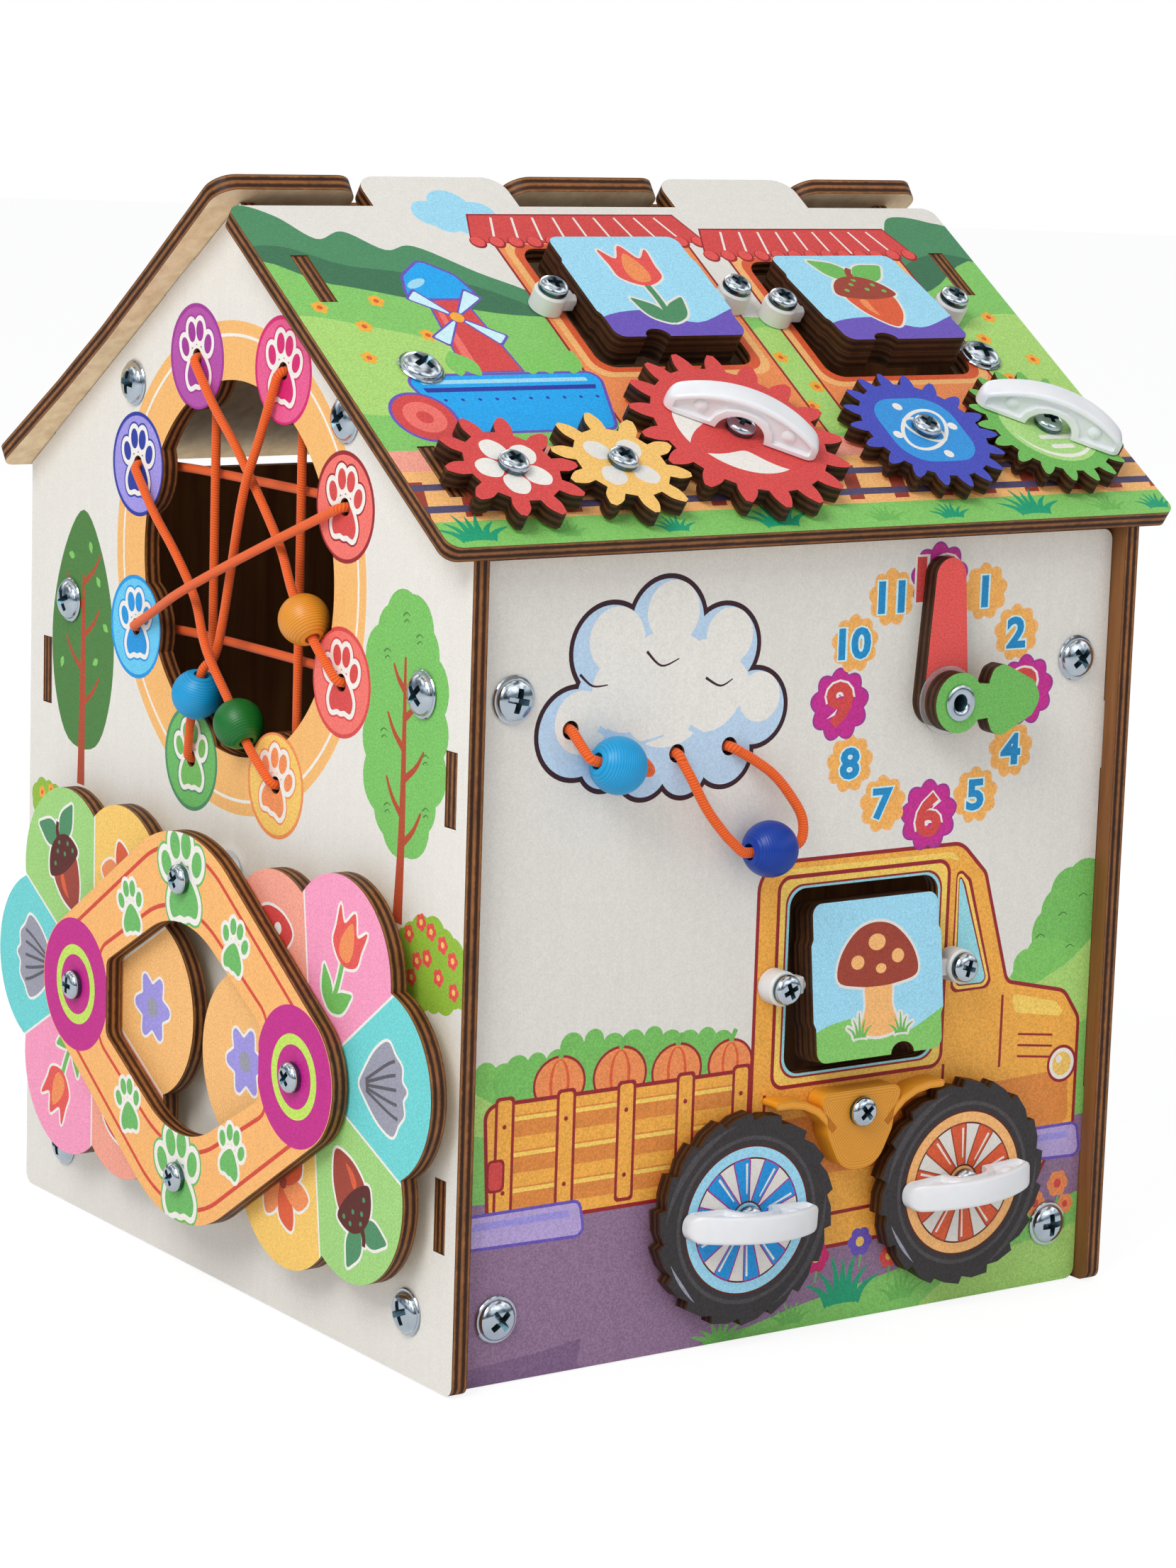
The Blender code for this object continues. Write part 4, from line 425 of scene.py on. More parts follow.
# Roof
RIDGE_LINE = EAVE_REACH / math.cos(ROOF_PITCH)
ROOF_NOTCH_LINE = RIDGE_LINE - 0.0140
ROOF_TAB_LINE = RIDGE_LINE + 0.0025
ROOF_TAB_LINE_REAR = RIDGE_LINE + 0.0035
RIDGE_MIDDLE_NOTCH = 0.2167 * ROOF_LENGTH
RIDGE_TAB_WIDTH = 0.2033 * ROOF_LENGTH
RIDGE_TAB_RADIUS = 0.008
RIDGE_PLAY = 0.0008
ROOF_CORNER_RADIUS = 0.005
ROOF_SLOTS_UP = (0.2075 * ROOF_NOTCH_LINE, 0.7732 * ROOF_NOTCH_LINE)
REAR_WAIST = 0.0030

# Corner brackets with truss head screws
BRACKET_WIDTH = 0.015
BRACKET_REACH = 0.0145
BRACKET_HEIGHTS = (0.0815 * WALL_HEIGHT, 0.8352 * WALL_HEIGHT)
TRUSS_SHANK_RADIUS = 0.0030

# Pan head screws
PAN_SHANK_RADIUS = 0.0024

# Lacing window on the left gable
GABLE_SHIFT = 0.0015
WINDOW_HEIGHT = 0.2509
WINDOW_RADIUS = 0.0640
LACE_PITCH_RADIUS = 0.0753
LACE_PAD_RADIUS = 0.0178
LACE_HOLE_RADIUS = 0.0030
LACE_RADIUS = 0.00165
LACE_BEAD_RADIUS = 0.0087
LACE_BEAD_HOLE = 0.0026
LACE_BEAD_LIFTS = (0.0034, 0.0038, 0.0040)
LACE_BEAD_BACKS = (0.0262, 0.0262, 0.0260)

# Petal discs behind the diamond frame
PETAL_HEIGHT = 0.0931
PETAL_PIVOT_REACH = 0.0761
PETAL_RADIUS = 0.0729
PETAL_NOTCH_RADIUS = 0.0602
PETAL_COUNT = 6
PETAL_LIFT = 0.0060
FRAME_LIFT = PETAL_LIFT + PLY + 0.0010
FRAME_END_RADIUS = 0.0243
FRAME_PEAK_REACH = 0.0133
FRAME_PEAK_RADIUS = 0.0550
FRAME_POST_REACH = 0.0524
FRAME_WINDOW_FLAT = 0.0532
FRAME_WINDOW_HALF_SIDE = 0.0134
FRAME_WINDOW_SLOPE = math.radians(29.7)
FRAME_WINDOW_RADIUS = 0.0440
FRAME_SIDE_RADIUS = 0.0040

# Roof gears
GEAR_LIFT = 0.0015
GEAR_PRESSURE = math.radians(25.0)
GEAR_BACKLASH = 0.0008
BIG_MODULE = 0.00422
SMALL_MODULE = 0.00303
GEAR_ADDENDUM_SHARE = 0.82
GEAR_DEDENDUM_SHARE = 1.05
GEAR_ROOT_SHARE = 0.06
SMALL_TEETH = 10
BIG_TEETH = 17
PAIR_TEETH = 18
YELLOW_GEAR_AT = (-0.0732, 0.0285)
YELLOW_TO_BIG_TURN = math.radians(14.3)
BLUE_GEAR_AT = (0.0587, 0.0393)
BIG_GEAR_PHASE = math.radians(-9.4)
BLUE_GEAR_PHASE = math.radians(-6.9)
GEAR_HANDLE_TURN = math.radians(-34.0)

# Turning picture blocks
BLOCK_SIZE = 0.0540
BLOCK_AXIS_LIFT = 0.0030
BLOCK_CORNER_RADIUS = 0.0040
BLOCK_BULGE = 0.0010
BLOCK_NOTCH_RADIUS = 0.0050
BLOCK_WINDOW = 0.0640
BLOCK_WINDOW_RADIUS = 0.0065
ROOF_BLOCK_LEFT_AT = (-0.0143, 0.1165)
ROOF_BLOCK_RIGHT_AT = (0.0776, 0.1087)
WALL_BLOCK_AT = (0.0285, 0.1220)
ROOF_BLOCK_RIGHT_LEAN = math.radians(-6.0)
WALL_BLOCK_LEAN = math.radians(-6.5)
BLOCK_NOTCH_SHARES = (-0.19, -0.19, 0.18)
HOLDER_REACH = 0.0384
HOLDER_RADIUS = 0.0060
# The roof brackets sit below the holders of the right block
ROOF_BRACKET_CLEARANCE = 0.0092
ROOF_BRACKET_UP = ROOF_BLOCK_RIGHT_AT[1] - HOLDER_RADIUS - BRACKET_WIDTH / 2 - ROOF_BRACKET_CLEARANCE

# Toothed wheels and the pawl on the front wall
WHEEL_LEFT_AT = (-0.0225, 0.0443)
WHEEL_RIGHT_AT = (0.0710, 0.0450)
WHEEL_LIFT = 0.0020
WHEEL_RADIUS = 0.0367
WHEEL_TOOTH_DEPTH = 0.0026
WHEEL_TEETH = 18
WHEEL_PHASE = math.radians(8.0)
PAWL_AT = (0.0243, 0.0764)
PAWL_REACH = 0.0370
PAWL_ARM_THICKNESS = 0.0026
PAWL_CORNER_RADIUS = 0.0040
PAWL_ARM_SHARES = ((0.30, -0.150), (0.40, -0.040), (0.50, 0.050), (0.65, 0.122),
                   (0.81, 0.152), (0.98, 0.152))

# Clock hands on a hollow rivet
CLOCK_AT = (0.0547, 0.2155)
MINUTE_LENGTH = 0.0420
MINUTE_TIP_RADIUS = 0.0064
HOUR_LENGTH = 0.0360
HAND_HUB_RADIUS = 0.0103
CLOCK_WASHER_THICKNESS = 0.0008
RIVET_RADIUS = 0.0036
HOUR_HEAD_SHARES = ((0.35, 0.185), (0.40, 0.300), (0.52, 0.345), (0.68, 0.270), (0.90, 0.165),
                    (1.00, 0.0), (0.90, -0.165), (0.68, -0.270), (0.52, -0.345),
                    (0.40, -0.300), (0.35, -0.185))
HOUR_HEAD_RADIUS = 0.0036

# Cloud cord on the front wall
CLOUD_HOLE_SPACING = 0.0212
CLOUD_HOLE_FIRST = (-0.0950, 0.2142)
CLOUD_HOLE_DROP_SHARES = (0.0, -0.38, -0.495, -0.453)
CLOUD_HOLE_RADIUS = 0.0031
CLOUD_CORD_RADIUS = 0.00180
CLOUD_BEAD_RADIUS = 0.0095
CLOUD_BEAD_HOLE = 0.0028
CLOUD_BEAD_LIFT = 0.0101
CLOUD_FIRST_BEAD_LEAN = math.radians(-14.0)
CLOUD_SECOND_BEAD_LEAN = math.radians(2.0)
CLOUD_KNOT_RADIUS = 0.0046
CORD_BEND_RADIUS = 0.0030

# Beads of one make have a flat at each end of the hole
BEAD_FLAT_SHARE = 0.90
BEAD_RUN_SHARE = 1.10

# Steps on curves
FINE_STEPS = 96
HOLE_STEPS = 32
CORNER_STEPS = 8
CORD_STEPS = 6
HALF_WIDTH, HALF_DEPTH = HOUSE_WIDTH / 2, HOUSE_DEPTH / 2
FRONT_FACE, REAR_FACE = HALF_DEPTH - FRONT_INSET, HALF_DEPTH - REAR_INSET
SLOPE_C, SLOPE_S = math.cos(ROOF_PITCH), math.sin(ROOF_PITCH)
PAN_HOLE, TRUSS_HOLE = PAN_SHANK_RADIUS + TOUCH_GAP, TRUSS_SHANK_RADIUS + TOUCH_GAP
print("house", round(HOUSE_WIDTH, 4), "x", round(HOUSE_DEPTH, 4), "m, walls", round(WALL_HEIGHT, 4), "m tall")

# %% [markdown]
# ## Outlines
# Every sheet starts as an outline in millimetres on its panel: across, then up. The helpers below draw
# circles, rounded corners, smooth closed curves and tapering strokes.

# %% Outline helpers
def circle(centre, radius, steps=HOLE_STEPS):
    return [(centre[0] + radius * math.cos(2 * math.pi * i / steps),
             centre[1] + radius * math.sin(2 * math.pi * i / steps)) for i in range(steps)]


def rectangle(centre, width, height):
    x, y, a, b = centre[0], centre[1], width / 2, height / 2
    return [(x - a, y - b), (x + a, y - b), (x + a, y + b), (x - a, y + b)]


def rounded(points, radii, steps=CORNER_STEPS):
    count = len(points)
    if not isinstance(radii, (list, tuple)):
        radii = [radii] * count
    out = []
    for i in range(count):
        here = Vector(points[i])
        before = Vector(points[i - 1]) - here
        after = Vector(points[(i + 1) % count]) - here
        angle = before.angle(after)
        if radii[i] <= 0 or angle > math.radians(178):
            out.append(tuple(here))
            continue
        room = 0.49 * min(before.length, after.length)
        back = min(radii[i] / math.tan(angle / 2), room)
        radius = back * math.tan(angle / 2)
        middle = (before.normalized() + after.normalized()).normalized()
        centre = here + middle * (radius / math.sin(angle / 2))
        start = here + before.normalized() * back - centre
        end = here + after.normalized() * back - centre
        first = math.atan2(start.y, start.x)
        sweep = math.atan2(end.y, end.x) - first
        sweep = (sweep + math.pi) % (2 * math.pi) - math.pi
        for k in range(steps + 1):
            a = first + sweep * k / steps
            out.append((centre.x + radius * math.cos(a), centre.y + radius * math.sin(a)))
    return out


def hull(circles, steps=FINE_STEPS):
    points = sorted({(round(p[0], 9), round(p[1], 9))
                     for centre, radius in circles for p in circle(centre, radius, steps)})

    def chain(items):
        kept = []
        for p in items:
            while len(kept) > 1 and ((kept[-1][0] - kept[-2][0]) * (p[1] - kept[-2][1])
                                     - (kept[-1][1] - kept[-2][1]) * (p[0] - kept[-2][0])) <= 0:
                kept.pop()
            kept.append(p)
        return kept[:-1]

    return chain(points) + chain(points[::-1])


def spin_points(points, degrees, x=0.0, y=0.0):
    c, s = math.cos(math.radians(degrees)), math.sin(math.radians(degrees))
    return [(x + p * c - q * s, y + p * s + q * c) for p, q in points]


def mm(points):
    return [(p[0] * 1000, p[1] * 1000) for p in points]


def ring(x, y, r, steps=40):
    return circle((x, y), r, steps)


def polar(r, degrees):
    return r * math.cos(math.radians(degrees)), r * math.sin(math.radians(degrees))


def oval(x, y, a, b, turn=0.0, steps=40):
    c, s = math.cos(math.radians(turn)), math.sin(math.radians(turn))
    spots = [(a * math.cos(2 * math.pi * i / steps), b * math.sin(2 * math.pi * i / steps))
             for i in range(steps)]
    return [(x + p * c - q * s, y + p * s + q * c) for p, q in spots]


def scallop(x, y, r, lobes, depth, turn=0.0, steps=8):
    points = []
    for i in range(lobes * steps):
        a = 2 * math.pi * i / (lobes * steps)
        reach = r * (1 - depth + depth * abs(math.cos(lobes * a / 2)))
        points.append((x + reach * math.cos(a + turn), y + reach * math.sin(a + turn)))
    return points


def soft(points, steps=5, closed=True):
    out, n = [], len(points)
    for i in range(n if closed else n - 1):
        a, b, c, d = [Vector(points[(i + k) % n] if closed else points[min(max(i + k, 0), n - 1)])
                      for k in (-1, 0, 1, 2)]
        for k in range(steps):
            t = k / steps
            spot = 0.5 * ((2 * b) + (c - a) * t + (2 * a - 5 * b + 4 * c - d) * t * t
                          + (3 * b - a - 3 * c + d) * t ** 3)
            out.append(tuple(spot))
    return out if closed else out + [tuple(points[-1])]


def stroke(points, start, end=None, steps=5):
    path = [Vector(p) for p in (soft(points, steps, False) if len(points) > 2 else points)]
    end = start if end is None else end
    one, other = [], []
    for k, p in enumerate(path):
        ahead = path[min(k + 1, len(path) - 1)] - path[max(k - 1, 0)]
        side = Vector((-ahead.y, ahead.x)).normalized() * (start + (end - start) * k / (len(path) - 1)) / 2
        one.append(tuple(p + side))
        other.append(tuple(p - side))
    return other + one[::-1]


def area(points):
    return sum(a[0] * b[1] - b[0] * a[1] for a, b in zip(points, points[1:] + points[:1])) / 2


def turned_left(points):
    return points if area(points) > 0 else points[::-1]


def grown(points, width):
    points = turned_left(points)
    out, n = [], len(points)
    for i in range(n):
        last, here, following = Vector(points[i - 1]), Vector(points[i]), Vector(points[(i + 1) % n])
        ahead = ((here - last).normalized() + (following - here).normalized()).normalized()
        out.append((points[i][0] + ahead.y * width, points[i][1] - ahead.x * width))
    return out


def soft_box(middle, wide, tall, corner):
    return rounded(rectangle(middle, wide, tall), corner)


def shifted(points, x, y, size=1.0):
    return [(x + p * size, y + q * size) for p, q in points]


print("a rounded box has", len(soft_box((0, 0), 10, 10, 2)), "points")

# %% [markdown]
# ## A printed sheet
# The print and the sheet are one mesh. All the shapes of a print are laid over each other on the outline,
# and a constrained triangulation cuts them where they cross. Each small face then takes the ink of the
# topmost shape that covers it. Holes cut the print as the laser does, so no picture runs over an edge.

# %% Panel frames
def panel(origin, across, upward):
    u, v = Vector(across), Vector(upward)
    return Matrix.Translation(Vector(origin) + SHIFT) @ Matrix((u, v, u.cross(v))).transposed().to_4x4()


FRONT = panel((0, -FRONT_WALL_FACE, 0), (1, 0, 0), (0, 0, 1))
REAR = panel((0, REAR_WALL_FACE, 0), (-1, 0, 0), (0, 0, 1))
LEFT = panel((-LEFT_FACE, 0, 0), (0, -1, 0), (0, 0, 1))
RIGHT = panel((LEFT_FACE, 0, 0), (0, 1, 0), (0, 0, 1))
ROOF_FRONT = panel((0, -EAVE_REACH, EAVE_HEIGHT), (1, 0, 0), (0, SLOPE_C, SLOPE_S))
ROOF_REAR = panel((0, EAVE_REACH, EAVE_HEIGHT), (-1, 0, 0), (0, -SLOPE_C, SLOPE_S))
MM = Matrix.Scale(0.001, 4)


def cut_up(outline, holes, art):
    shapes = [turned_left(list(s)) for s in (outline, *holes, *[p for _, p in art])]
    spots, faces = [], []
    for s in shapes:
        faces.append(list(range(len(spots), len(spots) + len(s))))
        spots += [Vector(p) for p in s]
    verts, _, tris, _, _, owners = geometry.delaunay_2d_cdt(spots, [], faces, 1, 1e-5)
    kept = []
    for tri, mine in zip(tris, owners):
        if 0 in mine and not any(1 <= k <= len(holes) for k in mine):
            top = max(mine)
            kept.append((tri, None if top == 0 else art[top - 1 - len(holes)][0]))
    return verts, kept


def as_mesh(work, name):
    mesh = bpy.data.meshes.new(name)
    work.to_mesh(mesh)
    work.free()
    return mesh


def finish(name, work, matrix, body, nodes, materials, slot, smooth=40):
    work.transform(matrix)
    mesh = as_mesh(work, name)
    for m in materials:
        mesh.materials.append(m)
    mesh.set_sharp_from_angle(angle=math.radians(smooth))
    piece = bpy.data.objects.new(name, mesh)
    scene.collection.objects.link(piece)
    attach(piece, body)
    if nodes:
        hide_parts(*nodes)
    return piece


def sheet(name, body, nodes, matrix, outline, holes, low, high, face, art, back, sheets, slot, edge):
    work = bmesh.new()
    height = work.verts.layers.float.new("ply_height")
    used = [edge]

    def index(colour):
        # The colour key inner picks the birch darkened as painted shade.
        m = {"bare": BIRCH, "inner": INNER_PAINTED_SHADE}.get(colour) or INKS[colour]
        if m not in used:
            used.append(m)
        return used.index(m)

    for shapes, z, colour, up in ((list(art), high, face, True), ([], low, back, False)):
        verts, kept = cut_up(outline, holes, shapes)
        made = {}
        for tri, own in kept:
            corners = []
            for k in (tri if up else tri[::-1]):
                if k not in made:
                    made[k] = work.verts.new((verts[k].x, verts[k].y, z))
                corners.append(made[k])
            try:
                work.faces.new(corners).material_index = index(own or colour)
            except ValueError:
                pass
    for k, points in enumerate((outline, *holes)):
        points = turned_left(list(points))
        points = points if k == 0 else points[::-1]
        rows = [[work.verts.new((p[0], p[1], z)) for p in points] for z in (low, high)]
        for row, value in zip(rows, (0.0, float(sheets))):
            for vert in row:
                vert[height] = value
        for i in range(len(points)):
            j = (i + 1) % len(points)
            wall = work.faces.new((rows[0][i], rows[0][j], rows[1][j], rows[1][i]))
            wall.smooth = True
            wall.material_index = 0
    finish(name, work, matrix @ MM, body, nodes, used, slot)


def panel_sheet(name, node, frame_here, outline, holes, art, slot, back="inner"):
    holes = [mm(h) for h in holes]
    sheet(name, "house", [node], frame_here, mm(outline), holes, -PLY * 1000, 0, "cream", art, back, 1, slot,
          BURNT)


def plate(name, body, nodes, frame_here, spot, outline, holes, face, art, slot, edge=BURNT):
    holes = [mm(h) for h in holes]
    spot = frame_here @ Matrix.Translation(spot)
    sheet(name, body, nodes, spot, mm(outline), holes, 0.0, PLY * 1000, face, art, "bare", 1, slot, edge)


# %% Outlines of the sheets
def roof_line(y):
    return EAVE_HEIGHT + (EAVE_REACH - abs(y)) * math.tan(ROOF_PITCH) - (PLY + TOUCH_GAP) / SLOPE_C


def gable_outline():
    def on_slope(up, lift):
        y = -EAVE_REACH + up * SLOPE_C - lift * SLOPE_S
        return y, EAVE_HEIGHT + up * SLOPE_S + lift * SLOPE_C

    right = []
    for up in ROOF_SLOTS_UP:
        low, high = up - TAB_LENGTH / 2, up + TAB_LENGTH / 2
        under, flush = -PLY - TOUCH_GAP, -TOUCH_GAP
        right += [on_slope(low, under), on_slope(low, flush), on_slope(high, flush), on_slope(high, under)]
    right = [(-y, z) for y, z in right]
    left = [(-y, z) for y, z in reversed(right)]
    top = [(HALF_DEPTH, roof_line(HALF_DEPTH)), *right, (0, roof_line(0)), *left,
           (-HALF_DEPTH, roof_line(HALF_DEPTH))]
    corners = [(-HALF_DEPTH, 0), (HALF_DEPTH, 0), *top]
    radii = [WALL_CORNER_RADIUS, WALL_CORNER_RADIUS] + [0] * len(top)
    return rounded(corners, radii)


def wall_slots(hand):
    wide, tall = PLY + 2 * TOUCH_GAP, TAB_LENGTH + 2 * TOUCH_GAP
    middles = (-FRONT_FACE + PLY / 2, REAR_FACE - PLY / 2)
    return [rectangle((hand * y, z), wide, tall) for y in middles for z in WALL_TAB_HEIGHTS]


def gable_bracket_holes(hand):
    corners = (-FRONT_FACE + PLY + BRACKET_REACH, REAR_FACE - PLY - BRACKET_REACH)
    holes = [circle((hand * reach, up), TRUSS_HOLE) for reach in corners for up in BRACKET_HEIGHTS]
    inner = -PLY - BRACKET_REACH
    y = -EAVE_REACH + ROOF_BRACKET_UP * SLOPE_C - inner * SLOPE_S
    z = EAVE_HEIGHT + ROOF_BRACKET_UP * SLOPE_S + inner * SLOPE_C
    return holes + [circle((side * y, z), TRUSS_HOLE) for side in (-1, 1)]


def lace_holes():
    turns = [math.radians(112.5 - 45 * k) for k in range(8)]
    return [(GABLE_SHIFT + LACE_PITCH_RADIUS * math.cos(a), WINDOW_HEIGHT + LACE_PITCH_RADIUS * math.sin(a))
            for a in turns]


def window_outline():
    points = []
    span = math.acos((WINDOW_RADIUS ** 2 + LACE_PITCH_RADIUS ** 2 - LACE_PAD_RADIUS ** 2)
                     / (2 * WINDOW_RADIUS * LACE_PITCH_RADIUS))
    for k in range(8):
        pad = math.radians(22.5 + 45 * k)
        px, py = LACE_PITCH_RADIUS * math.cos(pad), LACE_PITCH_RADIUS * math.sin(pad)
        first = Vector((WINDOW_RADIUS * math.cos(pad - span) - px, WINDOW_RADIUS * math.sin(pad - span) - py))
        start = math.atan2(first.y, first.x)
        inward = pad + math.pi
        half = (start - inward + math.pi) % (2 * math.pi) - math.pi
        for i in range(25):
            a = inward + half * (1 - i / 12)
            points.append((px + LACE_PAD_RADIUS * math.cos(a), py + LACE_PAD_RADIUS * math.sin(a)))
        stretch = math.radians(45) - 2 * span
        for i in range(1, 9):
            a = pad + span + stretch * i / 9
            points.append((WINDOW_RADIUS * math.cos(a), WINDOW_RADIUS * math.sin(a)))
    return shifted(points, GABLE_SHIFT, WINDOW_HEIGHT)


def wall_outline():
    half = HALF_WIDTH - PLY - TOUCH_GAP
    reach = HALF_WIDTH - TOUCH_GAP
    side = [(half, 0)]
    for z in WALL_TAB_HEIGHTS:
        low, high = z - TAB_LENGTH / 2, z + TAB_LENGTH / 2
        side += [(half, low), (reach, low), (reach, high), (half, high)]
    side.append((half, WALL_HEIGHT))
    corners = side + [(-x, z) for x, z in reversed(side)]
    radii = [0] * len(corners)
    for k in (0, len(side) - 1, len(side), len(corners) - 1):
        radii[k] = WALL_CORNER_RADIUS
    return rounded(corners, radii)


def wall_bracket_holes():
    reach = HALF_WIDTH - PLY - BRACKET_REACH
    return [circle((side * reach, up), TRUSS_HOLE) for side in (-1, 1) for up in BRACKET_HEIGHTS]


def cloud_holes():
    x, z = CLOUD_HOLE_FIRST
    return [(x + k * CLOUD_HOLE_SPACING, z + drop * CLOUD_HOLE_SPACING)
            for k, drop in enumerate(CLOUD_HOLE_DROP_SHARES)]


def block_window(at):
    return soft_box(at, BLOCK_WINDOW, BLOCK_WINDOW, BLOCK_WINDOW_RADIUS)


def holder_holes(at):
    return [circle((at[0] + side * HOLDER_REACH, at[1]), PAN_HOLE) for side in (-1, 1)]


def roof_bounds():
    inner = RIDGE_MIDDLE_NOTCH / 2
    return (-ROOF_LENGTH / 2, -inner - RIDGE_TAB_WIDTH, -inner, inner, inner + RIDGE_TAB_WIDTH,
            ROOF_LENGTH / 2)


def ridge_profile(front):
    marks = roof_bounds()
    points, radii = [], []
    line = ROOF_TAB_LINE if front else ROOF_TAB_LINE_REAR
    for k in range(4, -1, -1):
        tall = (k % 2 == 1) == front
        right, left = marks[k + 1], marks[k]
        if tall:
            right -= 0 if k == 4 else RIDGE_PLAY
            left += 0 if k == 0 else RIDGE_PLAY
            if k == 4:
                points += [(right, line), (left, line), (left, ROOF_NOTCH_LINE)]
                radii += [RIDGE_TAB_RADIUS, RIDGE_TAB_RADIUS, 0]
            elif k == 0:
                points += [(right, ROOF_NOTCH_LINE), (right, line), (left, line)]
                radii += [0, RIDGE_TAB_RADIUS, RIDGE_TAB_RADIUS]
            else:
                points += [(right, ROOF_NOTCH_LINE), (right, line), (left, line), (left, ROOF_NOTCH_LINE)]
                radii += [0, RIDGE_TAB_RADIUS, RIDGE_TAB_RADIUS, 0]
        elif k == 4:
            points.append((right, ROOF_NOTCH_LINE))
            radii.append(ROOF_CORNER_RADIUS)
        elif k == 0:
            points.append((left, ROOF_NOTCH_LINE))
            radii.append(ROOF_CORNER_RADIUS)
    return points, radii


def roof_outline(front):
    half = ROOF_LENGTH / 2
    top, radii = ridge_profile(front)
    waist = 0 if front else REAR_WAIST
    shares = (0.30, 0.52, 0.74)
    right = [(half - waist * math.sin(math.pi * s), s * ROOF_NOTCH_LINE) for s in shares] if waist else []
    left = [(-x, v) for x, v in reversed(right)]
    points = [(-half, 0), (half, 0), *right, *top, *left]
    rounding = [ROOF_CORNER_RADIUS] * 2 + [0] * len(right) + radii + [0] * len(left)
    return rounded(points, rounding)


def roof_slots():
    wide, tall = PLY + 2 * TOUCH_GAP, TAB_LENGTH + 2 * TOUCH_GAP
    return [rectangle((side * (HALF_WIDTH - PLY / 2), up), wide, tall)
            for side in (-1, 1) for up in ROOF_SLOTS_UP]


def roof_bracket_holes():
    reach = HALF_WIDTH - PLY - BRACKET_REACH
    return [circle((side * reach, ROOF_BRACKET_UP), TRUSS_HOLE) for side in (-1, 1)]


def gear_places():
    yellow = Vector(YELLOW_GEAR_AT)
    small = yellow - Vector((BIG_MODULE * SMALL_TEETH, 0))
    reach = BIG_MODULE * (SMALL_TEETH + BIG_TEETH) / 2
    big = yellow + reach * Vector((math.cos(YELLOW_TO_BIG_TURN), math.sin(YELLOW_TO_BIG_TURN)))
    blue = Vector(BLUE_GEAR_AT)
    green = blue + Vector((SMALL_MODULE * PAIR_TEETH, 0))
    return {"small_red": small, "yellow": yellow, "big_red": big, "blue": blue, "green": green}


print("points round a gable", len(gable_outline()), "a wall", len(wall_outline()), "a roof",
      len(roof_outline(True)))

# %% Outlines of the toys
def petal_outline():
    points = []
    half = math.pi / PETAL_COUNT
    chord = PETAL_NOTCH_RADIUS * math.sin(half)
    base = PETAL_NOTCH_RADIUS * math.cos(half)
    rise = PETAL_RADIUS - base
    radius = (chord ** 2 + rise ** 2) / (2 * rise)
    centre = PETAL_RADIUS - radius
    reach = math.atan2(chord, base - centre)
    for k in range(PETAL_COUNT):
        turn = 2 * half * k
        for i in range(28):
            a = -reach + 2 * reach * i / 28
            x, y = centre + radius * math.cos(a), radius * math.sin(a)
            points.append((x * math.cos(turn) - y * math.sin(turn), x * math.sin(turn) + y * math.cos(turn)))
    return points


def spun(points, turn):
    c, s = math.cos(turn), math.sin(turn)
    return [(x * c - y * s, x * s + y * c) for x, y in points]


def frame_window():
    peak = FRAME_WINDOW_HALF_SIDE + FRAME_WINDOW_FLAT * math.tan(FRAME_WINDOW_SLOPE)
    points = [(FRAME_WINDOW_FLAT, -FRAME_WINDOW_HALF_SIDE), (FRAME_WINDOW_FLAT, FRAME_WINDOW_HALF_SIDE),
              (0, peak), (-FRAME_WINDOW_FLAT, FRAME_WINDOW_HALF_SIDE),
              (-FRAME_WINDOW_FLAT, -FRAME_WINDOW_HALF_SIDE), (0, -peak)]
    small, wide = FRAME_SIDE_RADIUS, FRAME_WINDOW_RADIUS
    return rounded(points, [small, small, wide, small, small, wide], 2 * CORNER_STEPS)


def gear_outline(teeth, module, phase):
    pitch = module * teeth / 2
    base = pitch * math.cos(GEAR_PRESSURE)
    tip = pitch + GEAR_ADDENDUM_SHARE * module
    root = pitch - GEAR_DEDENDUM_SHARE * module
    half = (math.pi * module / 2 - GEAR_BACKLASH) / (2 * pitch)
    offset = math.tan(GEAR_PRESSURE) - GEAR_PRESSURE

    def flank(radius):
        if radius <= base:
            return half + offset
        roll = math.acos(base / radius)
        return half + offset - (math.tan(roll) - roll)

    low = max(base, root)
    radii = [low + (tip - low) * k / 6 for k in range(1, 7)]
    side = [(root, flank(low) + GEAR_ROOT_SHARE * module / root), *[(r, flank(r)) for r in radii]]
    points = []
    for k in range(teeth):
        middle = phase + 2 * math.pi * k / teeth
        points += [(r * math.cos(middle - a), r * math.sin(middle - a)) for r, a in side]
        points += [(r * math.cos(middle + a), r * math.sin(middle + a)) for r, a in reversed(side)]
    return points


def mesh_phase(first_teeth, first_phase, second_teeth, toward):
    return toward + math.pi + (math.pi - first_teeth * (first_phase - toward)) / second_teeth


def block_outline(notch_share):
    half, waist = BLOCK_SIZE / 2, BLOCK_SIZE / 2 + BLOCK_BULGE
    quarter, step = BLOCK_SIZE * 0.24, BLOCK_SIZE * 0.28
    right = [(half, -half), (half, -step), (waist, -quarter), (waist, quarter), (half, step), (half, half)]
    left = [(-x, y) for x, y in reversed(right)]
    radii = [BLOCK_CORNER_RADIUS, 0, 0, 0, 0, BLOCK_CORNER_RADIUS]
    outline = rounded(right + left, radii + radii)
    radius = BLOCK_NOTCH_RADIUS
    centre = notch_share * BLOCK_SIZE
    turns = [math.pi * i / 16 for i in range(17)]
    notch = [(centre - radius * math.cos(a), -half + 0.8 * radius * math.sin(a)) for a in turns]
    return outline + notch


